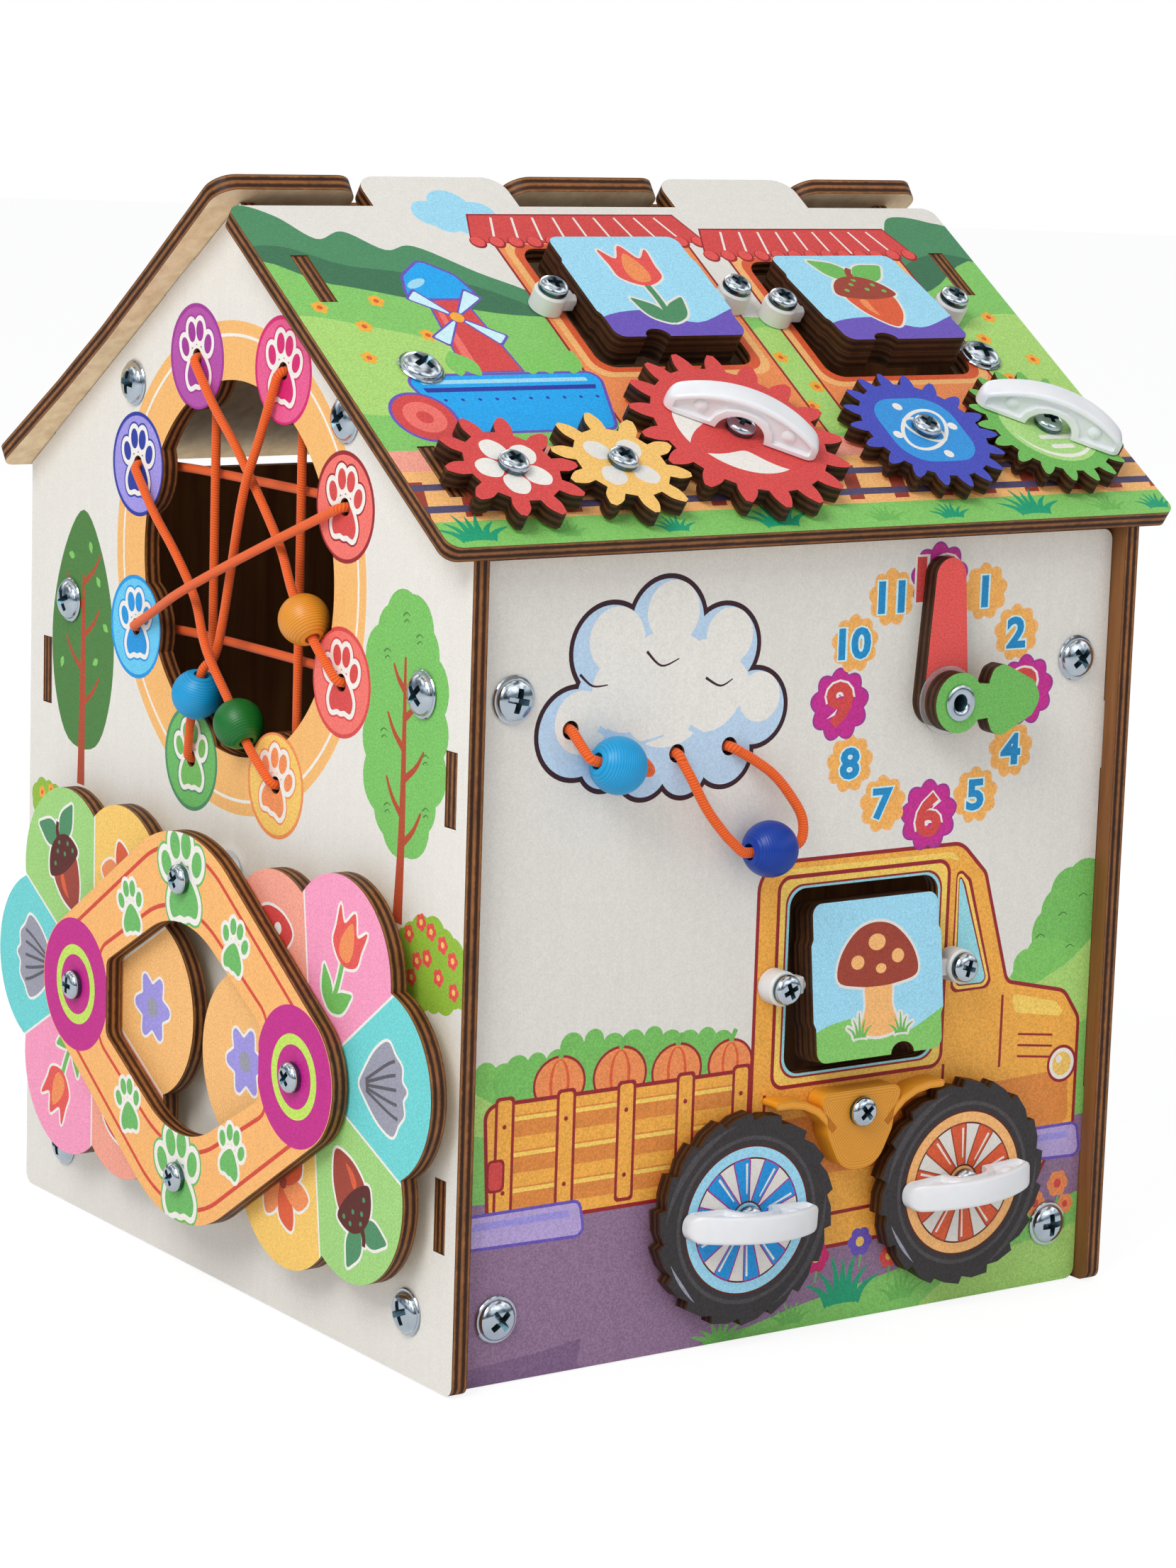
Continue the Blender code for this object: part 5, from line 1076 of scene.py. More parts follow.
def wheel_outline(hand):
    points = []
    root = WHEEL_RADIUS - WHEEL_TOOTH_DEPTH
    for k in range(WHEEL_TEETH):
        start = 2 * math.pi * k / WHEEL_TEETH
        pitch = 2 * math.pi / WHEEL_TEETH
        shape = ((0.04, root), (0.40, root + 0.62 * WHEEL_TOOTH_DEPTH), (0.94, WHEEL_RADIUS))
        for share, radius in shape:
            a = -hand * (start + share * pitch)
            points.append((radius * math.cos(a), radius * math.sin(a)))
    return points[::-1] if hand > 0 else points


def pawl_arm(side):
    path = [Vector((side * x * PAWL_REACH, y * PAWL_REACH)) for x, y in PAWL_ARM_SHARES]
    upper, lower = [], []
    for k, p in enumerate(path):
        ahead = path[min(k + 1, len(path) - 1)] - path[max(k - 1, 0)]
        normal = Vector((-ahead.y, ahead.x)).normalized() * (PAWL_ARM_THICKNESS / 2)
        upper.append(tuple(p + normal))
        lower.append(tuple(p - normal))
    radii = [0] * len(path)
    radii[-1] = PAWL_ARM_THICKNESS * 0.45
    return rounded(upper + lower[::-1], radii + radii[::-1])


print("points round a petal disc", len(petal_outline()), "and a wheel", len(wheel_outline(1)))

# %% Routes of the cords
def smooth(route, spacing):
    points = [Vector(p) for p in route]
    out = []
    for k in range(len(points) - 1):
        before = points[max(k - 1, 0)]
        start, end = points[k], points[k + 1]
        after = points[min(k + 2, len(points) - 1)]
        length = (end - start).length
        lead = (end - before).normalized() * length / 3
        trail = (after - start).normalized() * length / 3
        steps = max(1, round(length / spacing))
        for i in range(steps):
            t = i / steps
            out.append(start * (1 - t) ** 3 + (start + lead) * 3 * t * (1 - t) ** 2
                       + (end - trail) * 3 * t ** 2 * (1 - t) + end * t ** 3)
    return out + [points[-1]]


def exit_bend(hole, toward, lift, sign=1, base=0.0):
    direction = (Vector(toward) - Vector(hole)).normalized()
    points = []
    for i in range(CORD_STEPS + 1):
        a = (math.pi / 2) * i / CORD_STEPS
        out = CORD_BEND_RADIUS * (1 - math.cos(a))
        up = lift - CORD_BEND_RADIUS * (1 - math.sin(a))
        p = Vector(hole) + direction * out
        points.append((p.x, p.y, base + sign * up))
    return points


def lace_strands():
    holes = lace_holes()
    low = LACE_RADIUS + TOUCH_GAP
    step = 2 * LACE_RADIUS + STRAND_GAP
    short = 2 * LACE_PITCH_RADIUS * math.sin(math.radians(67.5))
    long = 2 * LACE_PITCH_RADIUS

    def run(k, length):
        reach = LACE_BEAD_RADIUS * BEAD_RUN_SHARE
        return [(1 - (LACE_BEAD_BACKS[k] + side * reach) / length, LACE_BEAD_LIFTS[k]) for side in (1, -1)]

    sunk, raised, top = low - LACE_RADIUS, low - LACE_RADIUS + step, low + 1.25 * step
    first = (0, 3, [(0.15, low), (0.293, sunk), (0.586, sunk), *run(0, short)])
    second = (1, 5, [(0.16, low + step / 4), (0.293, raised), (0.5, low), (0.64, sunk), (0.725, sunk),
                     *run(1, long)])
    third = (7, 4, [(0.15, low), (0.29, sunk), (0.43, sunk), (0.584, raised), *run(2, short)])
    fourth = (2, 6, [(0.14, low + step / 3), (0.293, raised + step / 4), (0.5, top), (0.707, top),
                     (0.86, low + step / 2)])
    return holes, first, second, third, fourth


def lace_path():
    holes, first, second, third, fourth = lace_strands()
    low = LACE_RADIUS + TOUCH_GAP
    behind = LACE_RADIUS + TOUCH_GAP
    deeper = behind + 2 * LACE_RADIUS + STRAND_GAP
    fourth_back = (fourth[1], fourth[0], [(1 - s, h) for s, h in reversed(fourth[2])])
    order = [first, fourth_back, third, second]
    points = []
    for k, (start, end, middle) in enumerate(order):
        a, b = Vector(holes[start]), Vector(holes[end])
        points += exit_bend(a, b, low)
        points += [(*(a + (b - a) * share), lift) for share, lift in middle]
        points += exit_bend(b, a, low)[::-1]
        c = Vector(holes[order[(k + 1) % 4][0]])
        level = k < 2
        depth = deeper if level else behind
        points += exit_bend(b, c, behind, -1, -PLY)
        if level:
            points += [(*(b + (c - b) * s), -PLY - depth) for s in (0.18, 0.82)]
        points += exit_bend(c, b, behind, -1, -PLY)[::-1]
    return points


CLOUD_FIRST_LOOP_SHARES = ((0.019, -0.179, 0.236), (0.033, -0.302, 0.392))
CLOUD_FIRST_BEAD_SHARES = (0.566, -0.505)
CLOUD_FIRST_REST_SHARES = ((1.208, -0.646, 0.406), (1.231, -0.547, 0.236))
CLOUD_SECOND_LOOP_SHARES = ((0.132, -0.382, 0.236), (0.335, -0.821, 0.354), (0.637, -1.222, 0.425),
                            (0.830, -1.415, 0.462))
CLOUD_SECOND_BEAD_SHARES = (1.509, -1.538)
CLOUD_SECOND_REST_SHARES = ((2.142, -1.406, 0.462), (2.156, -1.094, 0.415), (1.958, -0.731, 0.330),
                            (1.684, -0.410, 0.259), (1.330, -0.151, 0.165))


def cloud_path():
    holes = [Vector(p) for p in cloud_holes()]
    span = CLOUD_HOLE_SPACING
    lift = CLOUD_CORD_RADIUS + TOUCH_GAP

    def spots(hole, shares):
        return [(hole.x + a * span, hole.y + b * span, c * span) for a, b, c in shares]

    def bead_run(hole, shares, lean):
        at = Vector((hole.x + shares[0] * span, hole.y + shares[1] * span, CLOUD_BEAD_LIFT))
        along = Vector((math.cos(lean), math.sin(lean), 0))
        reach = CLOUD_BEAD_RADIUS * BEAD_RUN_SHARE
        return at, along, [tuple(at - along * reach), tuple(at), tuple(at + along * reach)]

    def knot(hole):
        top = -PLY - TOUCH_GAP
        return [(hole.x, hole.y, top - CLOUD_KNOT_RADIUS * drop) for drop in (0.05, 0.55, 1.25, 1.75)]

    first_at, first_along, first_run = bead_run(holes[0], CLOUD_FIRST_BEAD_SHARES, CLOUD_FIRST_BEAD_LEAN)
    second_at, second_along, second_run = bead_run(holes[2], CLOUD_SECOND_BEAD_SHARES,
                                                   CLOUD_SECOND_BEAD_LEAN)
    first_rest = spots(holes[0], CLOUD_FIRST_REST_SHARES)
    second_loop = spots(holes[2], CLOUD_SECOND_LOOP_SHARES)
    second_rest = spots(holes[2], CLOUD_SECOND_REST_SHARES)
    first_loop = spots(holes[0], CLOUD_FIRST_LOOP_SHARES)
    step = 4 * CLOUD_CORD_RADIUS
    path = knot(holes[0])[::-1]
    path += smooth([(*holes[0], 0), *first_loop, *first_run, *first_rest,
                    *exit_bend(holes[1], first_rest[-1][:2], lift)[::-1]], step)
    path += exit_bend(holes[1], holes[2], lift, -1, -PLY)
    path += exit_bend(holes[2], holes[1], lift, -1, -PLY)[::-1]
    path += smooth([*exit_bend(holes[2], second_loop[0][:2], lift), *second_loop, *second_run,
                    *second_rest, *exit_bend(holes[3], second_rest[-1][:2], lift)[::-1]], step)
    path += knot(holes[3])
    return path, (first_at, first_along), (second_at, second_along)


print("points on the lace", len(lace_path()), "and on the cloud's cord", len(cloud_path()[0]))

# %% [markdown]
# ## Round pieces
# Screws, beads, rivets and lugs are profiles that are spun round their axis. The recess of a screw is cut
# with a tapering cross, once for each kind of head, and the heads are copies. A truss head has a low dome
# inside a thin flange. The faces inside the recess and in the rivet's bore take a dark teal in place of
# zinc: painted shade and painted reflection.

# %% Helpers: spin a profile, cut and join
def spin(profile, steps):
    work = bmesh.new()
    verts = [work.verts.new((r, 0, z)) for r, z in profile]
    for a, b in zip(verts, verts[1:]):
        work.edges.new((a, b))
    bmesh.ops.spin(work, geom=work.verts[:] + work.edges[:], cent=(0, 0, 0), axis=(0, 0, 1),
                   angle=2 * math.pi, steps=steps, use_merge=True)
    bmesh.ops.remove_doubles(work, verts=work.verts, dist=1e-6)
    bmesh.ops.recalc_face_normals(work, faces=work.faces)
    for f in work.faces:
        f.smooth = True
    return as_mesh(work, "spun")


def cut(mesh, tool):
    base, knife = bpy.data.objects.new("base", mesh), bpy.data.objects.new("knife", tool)
    for o in (base, knife):
        scene.collection.objects.link(o)
    step = base.modifiers.new("cut", "BOOLEAN")
    step.operation, step.solver, step.object = "DIFFERENCE", "EXACT", knife
    bpy.context.view_layer.update()
    after = bpy.data.meshes.new_from_object(base.evaluated_get(bpy.context.evaluated_depsgraph_get()))
    for o in (base, knife):
        bpy.data.objects.remove(o, do_unlink=True)
    return after


def gathered(name, parts, body, nodes, material, slot, smooth=35):
    work = bmesh.new()
    for mesh, matrix in parts:
        copy = mesh.copy()
        copy.transform(matrix)
        work.from_mesh(copy)
        bpy.data.meshes.remove(copy)
    for f in work.faces:
        f.smooth = True
    materials = [material, RECESS_PAINTED_SHADE] if material == ZINC else [material]
    finish(name, work, Matrix.Identity(4), body, nodes, materials, slot, smooth)


def at(x, y, z):
    return Matrix.Translation((x * 0.001, y * 0.001, z * 0.001))


# %% Screw heads and nuts
def cross_cutter(reach, width, depth, top):
    half, work, rows = width / 2, bmesh.new(), []
    for z, long, wide in ((top - depth, reach * 0.42, half * 0.55), (top + 1.0, reach * 1.25, half * 1.15)):
        plus = []
        for a, b in ((1, 0), (0, 1), (-1, 0), (0, -1)):
            plus += [(a * long + b * wide, b * long - a * wide), (a * long - b * wide, b * long + a * wide),
                     (a * wide - b * wide, b * wide + a * wide)]
        rows.append([work.verts.new((x, y, z)) for x, y in plus])
    work.faces.new(rows[0][::-1])
    work.faces.new(rows[1])
    for i in range(12):
        work.faces.new((rows[0][i], rows[0][(i + 1) % 12], rows[1][(i + 1) % 12], rows[1][i]))
    bmesh.ops.recalc_face_normals(work, faces=work.faces)
    return as_mesh(work, "cross")


def head(radius, rise, shank, depth, reach, flat, dome, wide):
    arc, foot = [(0.01, rise)], 0.42 if dome == 1.0 else 0.26
    for k in range(9):
        a = k / 8 * math.pi / 2
        arc.append((flat * radius + (dome - flat) * radius * math.sin(a),
                    rise * (foot + (1 - foot) * math.cos(a))))
    if dome < 1.0:
        arc += [(radius * (dome + 0.01), rise * 0.22), (radius * 0.96, rise * 0.20)]
    profile = [*arc, (radius, rise * 0.10), (radius * 0.97, 0.0), (shank, 0.0), (shank, -depth),
               (0.01, -depth)]
    made = cut(spin(profile, 40), cross_cutter(reach, wide, rise * 0.90, rise))
    # Faces down in the cross recess take the second material, dark teal as painted shade.
    for p in made.polygons:
        r, z = math.hypot(p.center.x, p.center.y), p.center.z
        under = [z0 + (z1 - z0) * (r - r0) / (r1 - r0)
                 for (r0, z0), (r1, z1) in zip(arc, arc[1:]) if r0 <= r < r1]
        p.material_index = 1 if under and 0 < z < under[0] - 0.15 else 0
    return made


def nut(size, thickness):
    work = bmesh.new()
    bmesh.ops.create_cone(work, cap_ends=True, segments=6, radius1=size, radius2=size, depth=thickness)
    bmesh.ops.bevel(work, geom=[e for e in work.edges], offset=0.35, segments=2, affect="EDGES", profile=0.5,
                    material=-1)
    return as_mesh(work, "nut")


PAN = head(radius=5.2, rise=3.6, shank=2.3, depth=12.0, reach=2.8, flat=0.45, dome=1.0, wide=1.7)
TRUSS = head(radius=8.0, rise=3.6, shank=2.9, depth=12.0, reach=4.2, flat=0.05, dome=0.87, wide=2.2)
PAN_NUT, TRUSS_NUT = nut(4.5, 3.8), nut(5.6, 4.5)
print("pan head", len(PAN.polygons), "faces, truss head", len(TRUSS.polygons), "faces")


# Heights above the face of a panel, in millimetres
BEHIND = -6.3
POST_SEAT, GEAR_SEAT, WHEEL_SEAT, HOLDER_SEAT = 19.3, 7.8, 8.3, 7.5
COLLAR, POST = 5.2, 8.5


def screw(name, body, nodes, matrix, x, y, seat, turn=0.0, collars=()):
    spot = matrix @ at(x, y, 0) @ MM
    parts = [(PAN, spot @ Matrix.Translation((0, 0, seat)) @ Matrix.Rotation(math.radians(turn), 4, "Z"))]
    parts.append((PAN_NUT, spot @ Matrix.Translation((0, 0, BEHIND - 1.9))))
    for low, high, radius in collars:
        tube = spin([(2.5, low), (radius - 0.3, low), (radius, low + 0.3), (radius, high - 0.3),
                     (radius - 0.3, high), (2.5, high)], 32)
        parts.append((tube, spot))
    shank = [(0.01, BEHIND - 3.7), (2.3, BEHIND - 3.7), (2.3, seat - 4.0), (0.01, seat - 4.0)]
    parts.append((spin(shank, 16), spot))
    gathered(name, parts, body, nodes, ZINC, "zinc_steel")


# %% [markdown]
# ## Drawings
# The prints use a small set of drawn things: paws, trees, flowers, tufts, clouds and a few plain motifs.
# Each drawing is a list of an ink and a closed shape, the lowest first, in millimetres round its own
# middle.

# %% Small drawings
def moved_art(shapes, x, y, size=1.0, turn=0.0):
    return [(name, spin_points([(p * size, q * size) for p, q in points], turn, x, y))
            for name, points in shapes]


def paw(pad, rim="white", heavy=1.3, line=None):
    toes = [(-5.7, 2.5, 1.8, 2.5, 20), (-2.05, 6.0, 1.85, 2.6, 6), (2.05, 6.0, 1.85, 2.6, -6),
            (5.7, 2.5, 1.8, 2.5, -20)]
    sole = soft([(-5.4, -4.6), (-4.4, -7.5), (-1.7, -7.1), (0, -7.4), (1.7, -7.1), (4.4, -7.5), (5.4, -4.6),
                 (3.3, -0.9), (0.0, 1.3), (-3.3, -0.9)])
    shapes = []
    for name, more in ((line, heavy + 0.5), (rim, heavy)):
        if name:
            shapes.append((name, grown(sole, more)))
            shapes += [(name, oval(x, y, a + more, b + more, turn, 28)) for x, y, a, b, turn in toes]
    return shapes + [(pad, sole)] + [(pad, oval(x, y, a, b, turn, 24)) for x, y, a, b, turn in toes]


def bloom(petals, inner, count=5, r=2.0):
    turns = [2 * math.pi * k / count for k in range(count)]
    shapes = [(petals, ring(r * math.cos(a), r * math.sin(a), r * 0.82, 14)) for a in turns]
    return shapes + [(inner, ring(0, 0, r * 0.62, 12))]


def tuft(colour, width, height, blades=7):
    shapes = []
    for k in range(blades):
        share = (k / (blades - 1) - 0.5) * 2
        tip = (share * width * 0.62, height * (1 - 0.55 * share * share) * (0.86 if k % 2 else 1.0))
        base = share * width * 0.22
        bend = (base + (tip[0] - base) * 0.35, tip[1] * 0.6)
        shapes.append((colour, stroke([(base, 0), bend, tip], width * 0.16, 0.2)))
    return shapes


def crown(colour, x, y, a, b, count, swell):
    shapes = [(colour, oval(x, y, a, b))]
    for k in range(count):
        t = 2 * math.pi * k / count
        bump_radius = swell * (1.0 + 0.12 * math.sin(k * 2.3))
        shapes.append((colour, ring(x + a * math.cos(t), y + b * math.sin(t), bump_radius, 26)))
    return shapes


def twig(colour, x, y, reach, rise, width):
    return (colour, stroke([(x, y), (x + reach * 0.6, y + rise * 0.45), (x + reach, y + rise)], width,
                           width * 0.35))


def leaf_shape(length, width):
    return soft([(0, 0), (width * 0.45, length * 0.28), (width * 0.5, length * 0.55),
                 (width * 0.22, length * 0.85), (0, length), (-width * 0.22, length * 0.85),
                 (-width * 0.5, length * 0.55), (-width * 0.45, length * 0.28)])


def lined(colour, points, width, line="red_dark"):
    return [(line, grown(points, width)), (colour, points)]


def scattered(shapes, spots, size=1.0):
    return [shape for x, y in spots for shape in moved_art(shapes, x, y, size)]


def rimmed(shapes, rim, width):
    return [(rim, grown(points, width)) for _, points in shapes] + shapes


def tulip(petal, inner, stem):
    cup = soft([(-6, 3), (-6.6, 8), (-7, 14), (-3.4, 10.5), (0, 15.5), (3.4, 10.5), (7, 14), (6.6, 8), (6, 3),
                (0, 0)])
    mid = soft([(-2.6, 2.5), (-3, 7), (0, 12.5), (3, 7), (2.6, 2.5), (0, 1.4)])
    leaves = [(stem, spin_points(leaf_shape(12, 5), t, 0, -14)) for t in (38, -38)]
    return [(stem, stroke([(0, -14), (0.5, -6), (0, 2)], 1.8)), *leaves, (petal, cup), (inner, mid)]


def acorn(nut_ink, light, cap, leaf):
    nut_shape = soft([(-7, 1), (-6.6, -5), (-4, -10), (0, -13.5), (4, -10), (6.6, -5), (7, 1), (0, 2.5)])
    top = soft([(-8.6, 0.5), (-8.4, 4.2), (-5, 8), (0, 9.4), (5, 8), (8.4, 4.2), (8.6, 0.5), (0, -1.2)])
    shine = soft([(-4, -1.5), (-4.2, -5), (-2.4, -8.5), (-2.2, -5), (-2.0, -1.5)])
    dots = [(leaf, ring(x, y, 0.7, 12))
            for x, y in ((-5, 3), (-2, 5.6), (1.6, 3.4), (4.6, 5.4), (0, 7.6), (6.4, 2.6))]
    leaves = [(leaf, spin_points(leaf_shape(13, 7), t, 1, 8)) for t in (-62, 48)]
    return [*leaves, (nut_ink, nut_shape), (light, shine), (cap, top), *dots,
            (cap, stroke([(0, 8), (0.6, 11), (2, 13)], 2.2, 1.5))]


def mushroom(cap, dots, stem, grass):
    top = soft([(-12, 0), (-11, 6), (-6, 11.5), (0, 13.2), (6, 11.5), (11, 6), (12, 0), (6, -1.8), (0, -2.2),
                (-6, -1.8)])
    foot = soft([(-3.6, -1), (-4, -7), (-5.6, -12.5), (0, -14.2), (5.6, -12.5), (4, -7), (3.6, -1)])
    spots = [(dots, oval(x, y, a, b, 0, 20))
             for x, y, a, b in ((-6, 4, 2, 1.7), (0, 8.4, 2.6, 2), (6.2, 4.6, 1.9, 1.7), (1, 2, 1.6, 1.2))]
    blades = [(n, shifted(p, -6, -14)) for n, p in tuft(grass, 6, 6, 5)]
    blades += [(n, shifted(p, 6.5, -14)) for n, p in tuft(grass, 6, 5, 5)]
    return [(stem, foot), (cap, top), *spots, *blades]


def star(colour, inner, points=5, r=11.0):
    out = []
    for k in range(points * 2):
        a = math.pi / 2 + math.pi * k / points
        reach = r if k % 2 == 0 else r * 0.52
        out.append((reach * math.cos(a), reach * math.sin(a)))
    return [(colour, rounded(out, [1.8, 0.8] * points, 4)), (inner, ring(0, 0, r * 0.24, 20))]


def pinwheel(one, two, hub, blades=6, r=13.0):
    shapes = []
    for k in range(blades):
        blade = soft([(0, 0), (r * 0.30, r * 0.12), (r * 0.55, r * 0.55), (r * 0.28, r * 0.98),
                      (-r * 0.04, r * 0.62)])
        shapes.append((one if k % 2 else two, spin_points(blade, 360 * k / blades)))
    return shapes + [(hub, ring(0, 0, r * 0.15, 20))]


def shell(outer, line):
    fan = soft([(-3, -9), (-9, -3), (-12, 3.5), (-8.6, 6.8), (-6, 9.6), (-2.4, 9.4), (0, 11.4), (2.4, 9.4),
                (6, 9.6), (8.6, 6.8), (12, 3.5), (9, -3), (3, -9), (0, -11)])
    ribs = [(line, stroke([(x * 0.18, -8), (x * 0.8, 2), (x, 6.5)], 0.9)) for x in (-7.4, -3.8, 0, 3.8, 7.4)]
    return [(outer, fan), *ribs]


print("paw", len(paw("red")), "tulip", len(tulip("red", "red", "leaf")), "acorn",
      len(acorn("red", "red", "red", "leaf")), "shapes")

# %% [markdown]
# ## Gables
# The left gable is cream with a broad orange ring round the lacing window. Each lacing hole has a coloured
# disc with a paw. A tree stands on each side of the ring, and bushes grow below. The right gable has a
# plainer print of the same kind. The discs are laid out from the list of lacing holes itself, so print and
# holes can't drift apart.

# %% Print of the left gable
def tree_round(x, low, high, a, dark, light, trunk):
    y, b = (low + high) / 2, (high - low) / 2
    egg = soft([(x, high), (x - a * 0.62, high - b * 0.34), (x - a, y + b * 0.08),
                (x - a * 0.92, y - b * 0.5), (x - a * 0.45, low + b * 0.08), (x + a * 0.45, low + b * 0.08),
                (x + a * 0.92, y - b * 0.5), (x + a, y + b * 0.08), (x + a * 0.62, high - b * 0.34)])
    shapes = [(dark, egg),
              (trunk, stroke([(x - 0.5, low - 12), (x + 0.3, y - 4), (x, high - b * 0.52)], 5.6, 1.0))]
    for share, side in ((0.20, 1), (0.34, -1), (0.48, 1), (0.60, -1), (0.70, 1)):
        z = low + share * (high - low)
        shapes.append(twig(trunk, x, z, side * a * 0.55, b * 0.26, 2.4))
    leaves = ((-0.6, 0.25), (0.55, 0.4), (-0.3, 0.6), (0.5, -0.2), (-0.65, -0.25), (0.2, 0.75), (0.66, 0.1))
    for k, (p, q) in enumerate(leaves):
        shapes.append((light, spin_points(leaf_shape(4.4, 2.6), 40 * k, x + p * a, y + q * b)))
    return shapes


GABLE_ART = tree_round(-107.6, 170.8, 259.3, 23.0, "tree_dark", "leaf", "trunk")
GABLE_ART += crown("tree_light", 110.2, 214.0, 15.5, 33.0, 15, 10.6)
GABLE_ART += [("trunk", stroke([(108.6, 149), (110.2, 185), (110.0, 236)], 6.0, 1.2))]
for up, side, reach, rise in ((175, 1, 11, 12), (184, -1, 10, 12), (196, 1, 12, 11), (206, -1, 10, 11),
                              (216, 1, 9, 9), (225, -1, 7, 8)):
    GABLE_ART.append(twig("trunk", 110.1, up, side * reach, rise, 2.8))
for u, v in ((99, 236), (121, 228), (98, 210), (123, 205), (101, 186), (118, 243), (110, 249), (124, 188)):
    GABLE_ART += [("tree_dark", stroke([(u - 2, v), (u, v + 1.2), (u + 2.2, v + 0.4)], 0.7, 0.3)),
                  ("tree_dark", stroke([(u - 1.4, v - 2), (u + 0.4, v - 1), (u + 1.8, v - 1.8)], 0.6, 0.3))]
GABLE_ART += crown("bush", 129.0, 139.0, 15.0, 9.5, 13, 6.6) + [("bush", rectangle((130, 133), 38, 9))]
GABLE_ART += scattered(bloom("red_bright", "yellow", 5, 1.7),
                       ((116, 147), (121, 139), (129, 150), (127, 141), (136, 147),
                        (134, 136), (142, 143), (118, 133), (143, 133), (123, 152)))
GABLE_ART += crown("bush", -134.0, 148.0, 8.0, 4.6, 9, 4.4)
GABLE_ART += scattered(bloom("yellow_deep", "orange_rust", 5, 1.4),
                       ((-138, 151), (-131, 153), (-134, 147), (-127, 148)))
GABLE_ART += [("ring_orange", ring(1.5, 250.9, 84.0, 160)), ("white", ring(1.5, 250.9, 79.7, 160)),
              ("ring_orange", ring(1.5, 250.9, 78.6, 160))]
PADS = (("plum", "plum_pale", "plum", 8), ("pink_deep", "pink_disc", "pink_deep", -6),
        ("red_dark", "red_pale", "red", -4), ("red", "red_pale", "red", 0),
        ("orange", "yellow", "orange", -14), ("hill", "paw_green", "gear_green", 4),
        ("blue", "pad_blue", "blue", 6), ("blue_deep", "violet_pale", "blue_deep", 0))
for (u, v), (rim, disc, pad, turn) in zip(mm(lace_holes()), PADS):
    GABLE_ART += [(rim, ring(u, v, 18.4, 48)), (disc, ring(u, v, 17.0, 48))]
    GABLE_ART += moved_art(paw(pad, line=rim), u, v + 0.6, 1.36, turn)
print(len(GABLE_ART), "shapes on the left gable")

# %% Gables
left_holes = wall_slots(-1) + gable_bracket_holes(-1) + [window_outline()]
left_holes += [circle(p, LACE_HOLE_RADIUS, 28) for p in lace_holes()]
left_holes += [circle((GABLE_SHIFT + side * PETAL_PIVOT_REACH, PETAL_HEIGHT), PAN_HOLE) for side in (-1, 1)]
left_holes += [circle((GABLE_SHIFT, PETAL_HEIGHT + side * FRAME_POST_REACH), PAN_HOLE) for side in (-1, 1)]
panel_sheet("left_gable_sheet", "gable_left", LEFT, gable_outline(), left_holes, GABLE_ART, "printed_panel")
RIGHT_ART = tree_round(100, 168, 256, 24, "tree_dark", "leaf", "trunk")
RIGHT_ART += crown("tree_light", -104, 210, 16, 32, 14, 10.5)
RIGHT_ART += [("trunk", stroke([(-105, 150), (-104, 185), (-104, 236)], 4.4, 1.0)),
              ("ring_orange", ring(0, 250.9, 62, 120)),
              ("white", ring(0, 250.9, 58, 120)), ("sky", ring(0, 250.9, 57, 120))]
RIGHT_ART += moved_art(star("yellow", "orange", 8, 34), 0, 250.9)
RIGHT_ART += crown("bush", 60, 8, 60, 12, 16, 11) + crown("leaf", -70, 6, 50, 10, 14, 10)
for k in range(9):
    RIGHT_ART += moved_art(bloom(("red_bright", "yellow_deep", "plum")[k % 3], "white", 5, 3.2),
                           -118 + k * 29, 12 + 5 * math.sin(k * 1.9))
panel_sheet("right_gable_sheet", "gable_right", RIGHT, gable_outline(),
            wall_slots(1) + gable_bracket_holes(1), RIGHT_ART, "birch_ply")
print("two gables")

# %% [markdown]
# ## Front wall
# The front wall shows a plain cloud, a clock face with scalloped badges, and an orange farm truck with
# pumpkins on a purple road. The numbers come from the built-in font: they are made into a mesh first and
# their outlines are read from it. The rear wall has a drawn door with two windows. Numbers could also float
# as thin pieces above the wall, but in the sheet's own mesh they lie flat, as ink does.

# %% Digits
DIGIT_STRETCH = 1.16


def glyphs(word, height, weight):
    curve = bpy.data.curves.new("word", "FONT")
    curve.body, curve.size, curve.offset, curve.resolution_u = word, 1.0, weight, 3
    holder = bpy.data.objects.new("word", curve)
    scene.collection.objects.link(holder)
    bpy.context.view_layer.update()
    mesh = bpy.data.meshes.new_from_object(holder.evaluated_get(bpy.context.evaluated_depsgraph_get()))
    bpy.data.objects.remove(holder, do_unlink=True)
    work = bmesh.new()
    work.from_mesh(mesh)
    bpy.data.meshes.remove(mesh)
    bmesh.ops.remove_doubles(work, verts=work.verts, dist=1e-5)
    xs, ys = [v.co.x for v in work.verts], [v.co.y for v in work.verts]
    size, cx, cy = height / (max(ys) - min(ys)), (max(xs) + min(xs)) / 2, (max(ys) + min(ys)) / 2
    faces = [[((v.co.x - cx) * size * DIGIT_STRETCH, (v.co.y - cy) * size) for v in f.verts]
             for f in work.faces]
    work.free()
    return [f for f in faces if abs(area(f)) > 1e-4]


def flower_badge(x, y, r, colour, edge_colour, lobes=9):
    return [(edge_colour, scallop(x, y, r, lobes, 0.16, 0.2)),
            (colour, scallop(x, y, r - 0.8, lobes, 0.16, 0.2))]


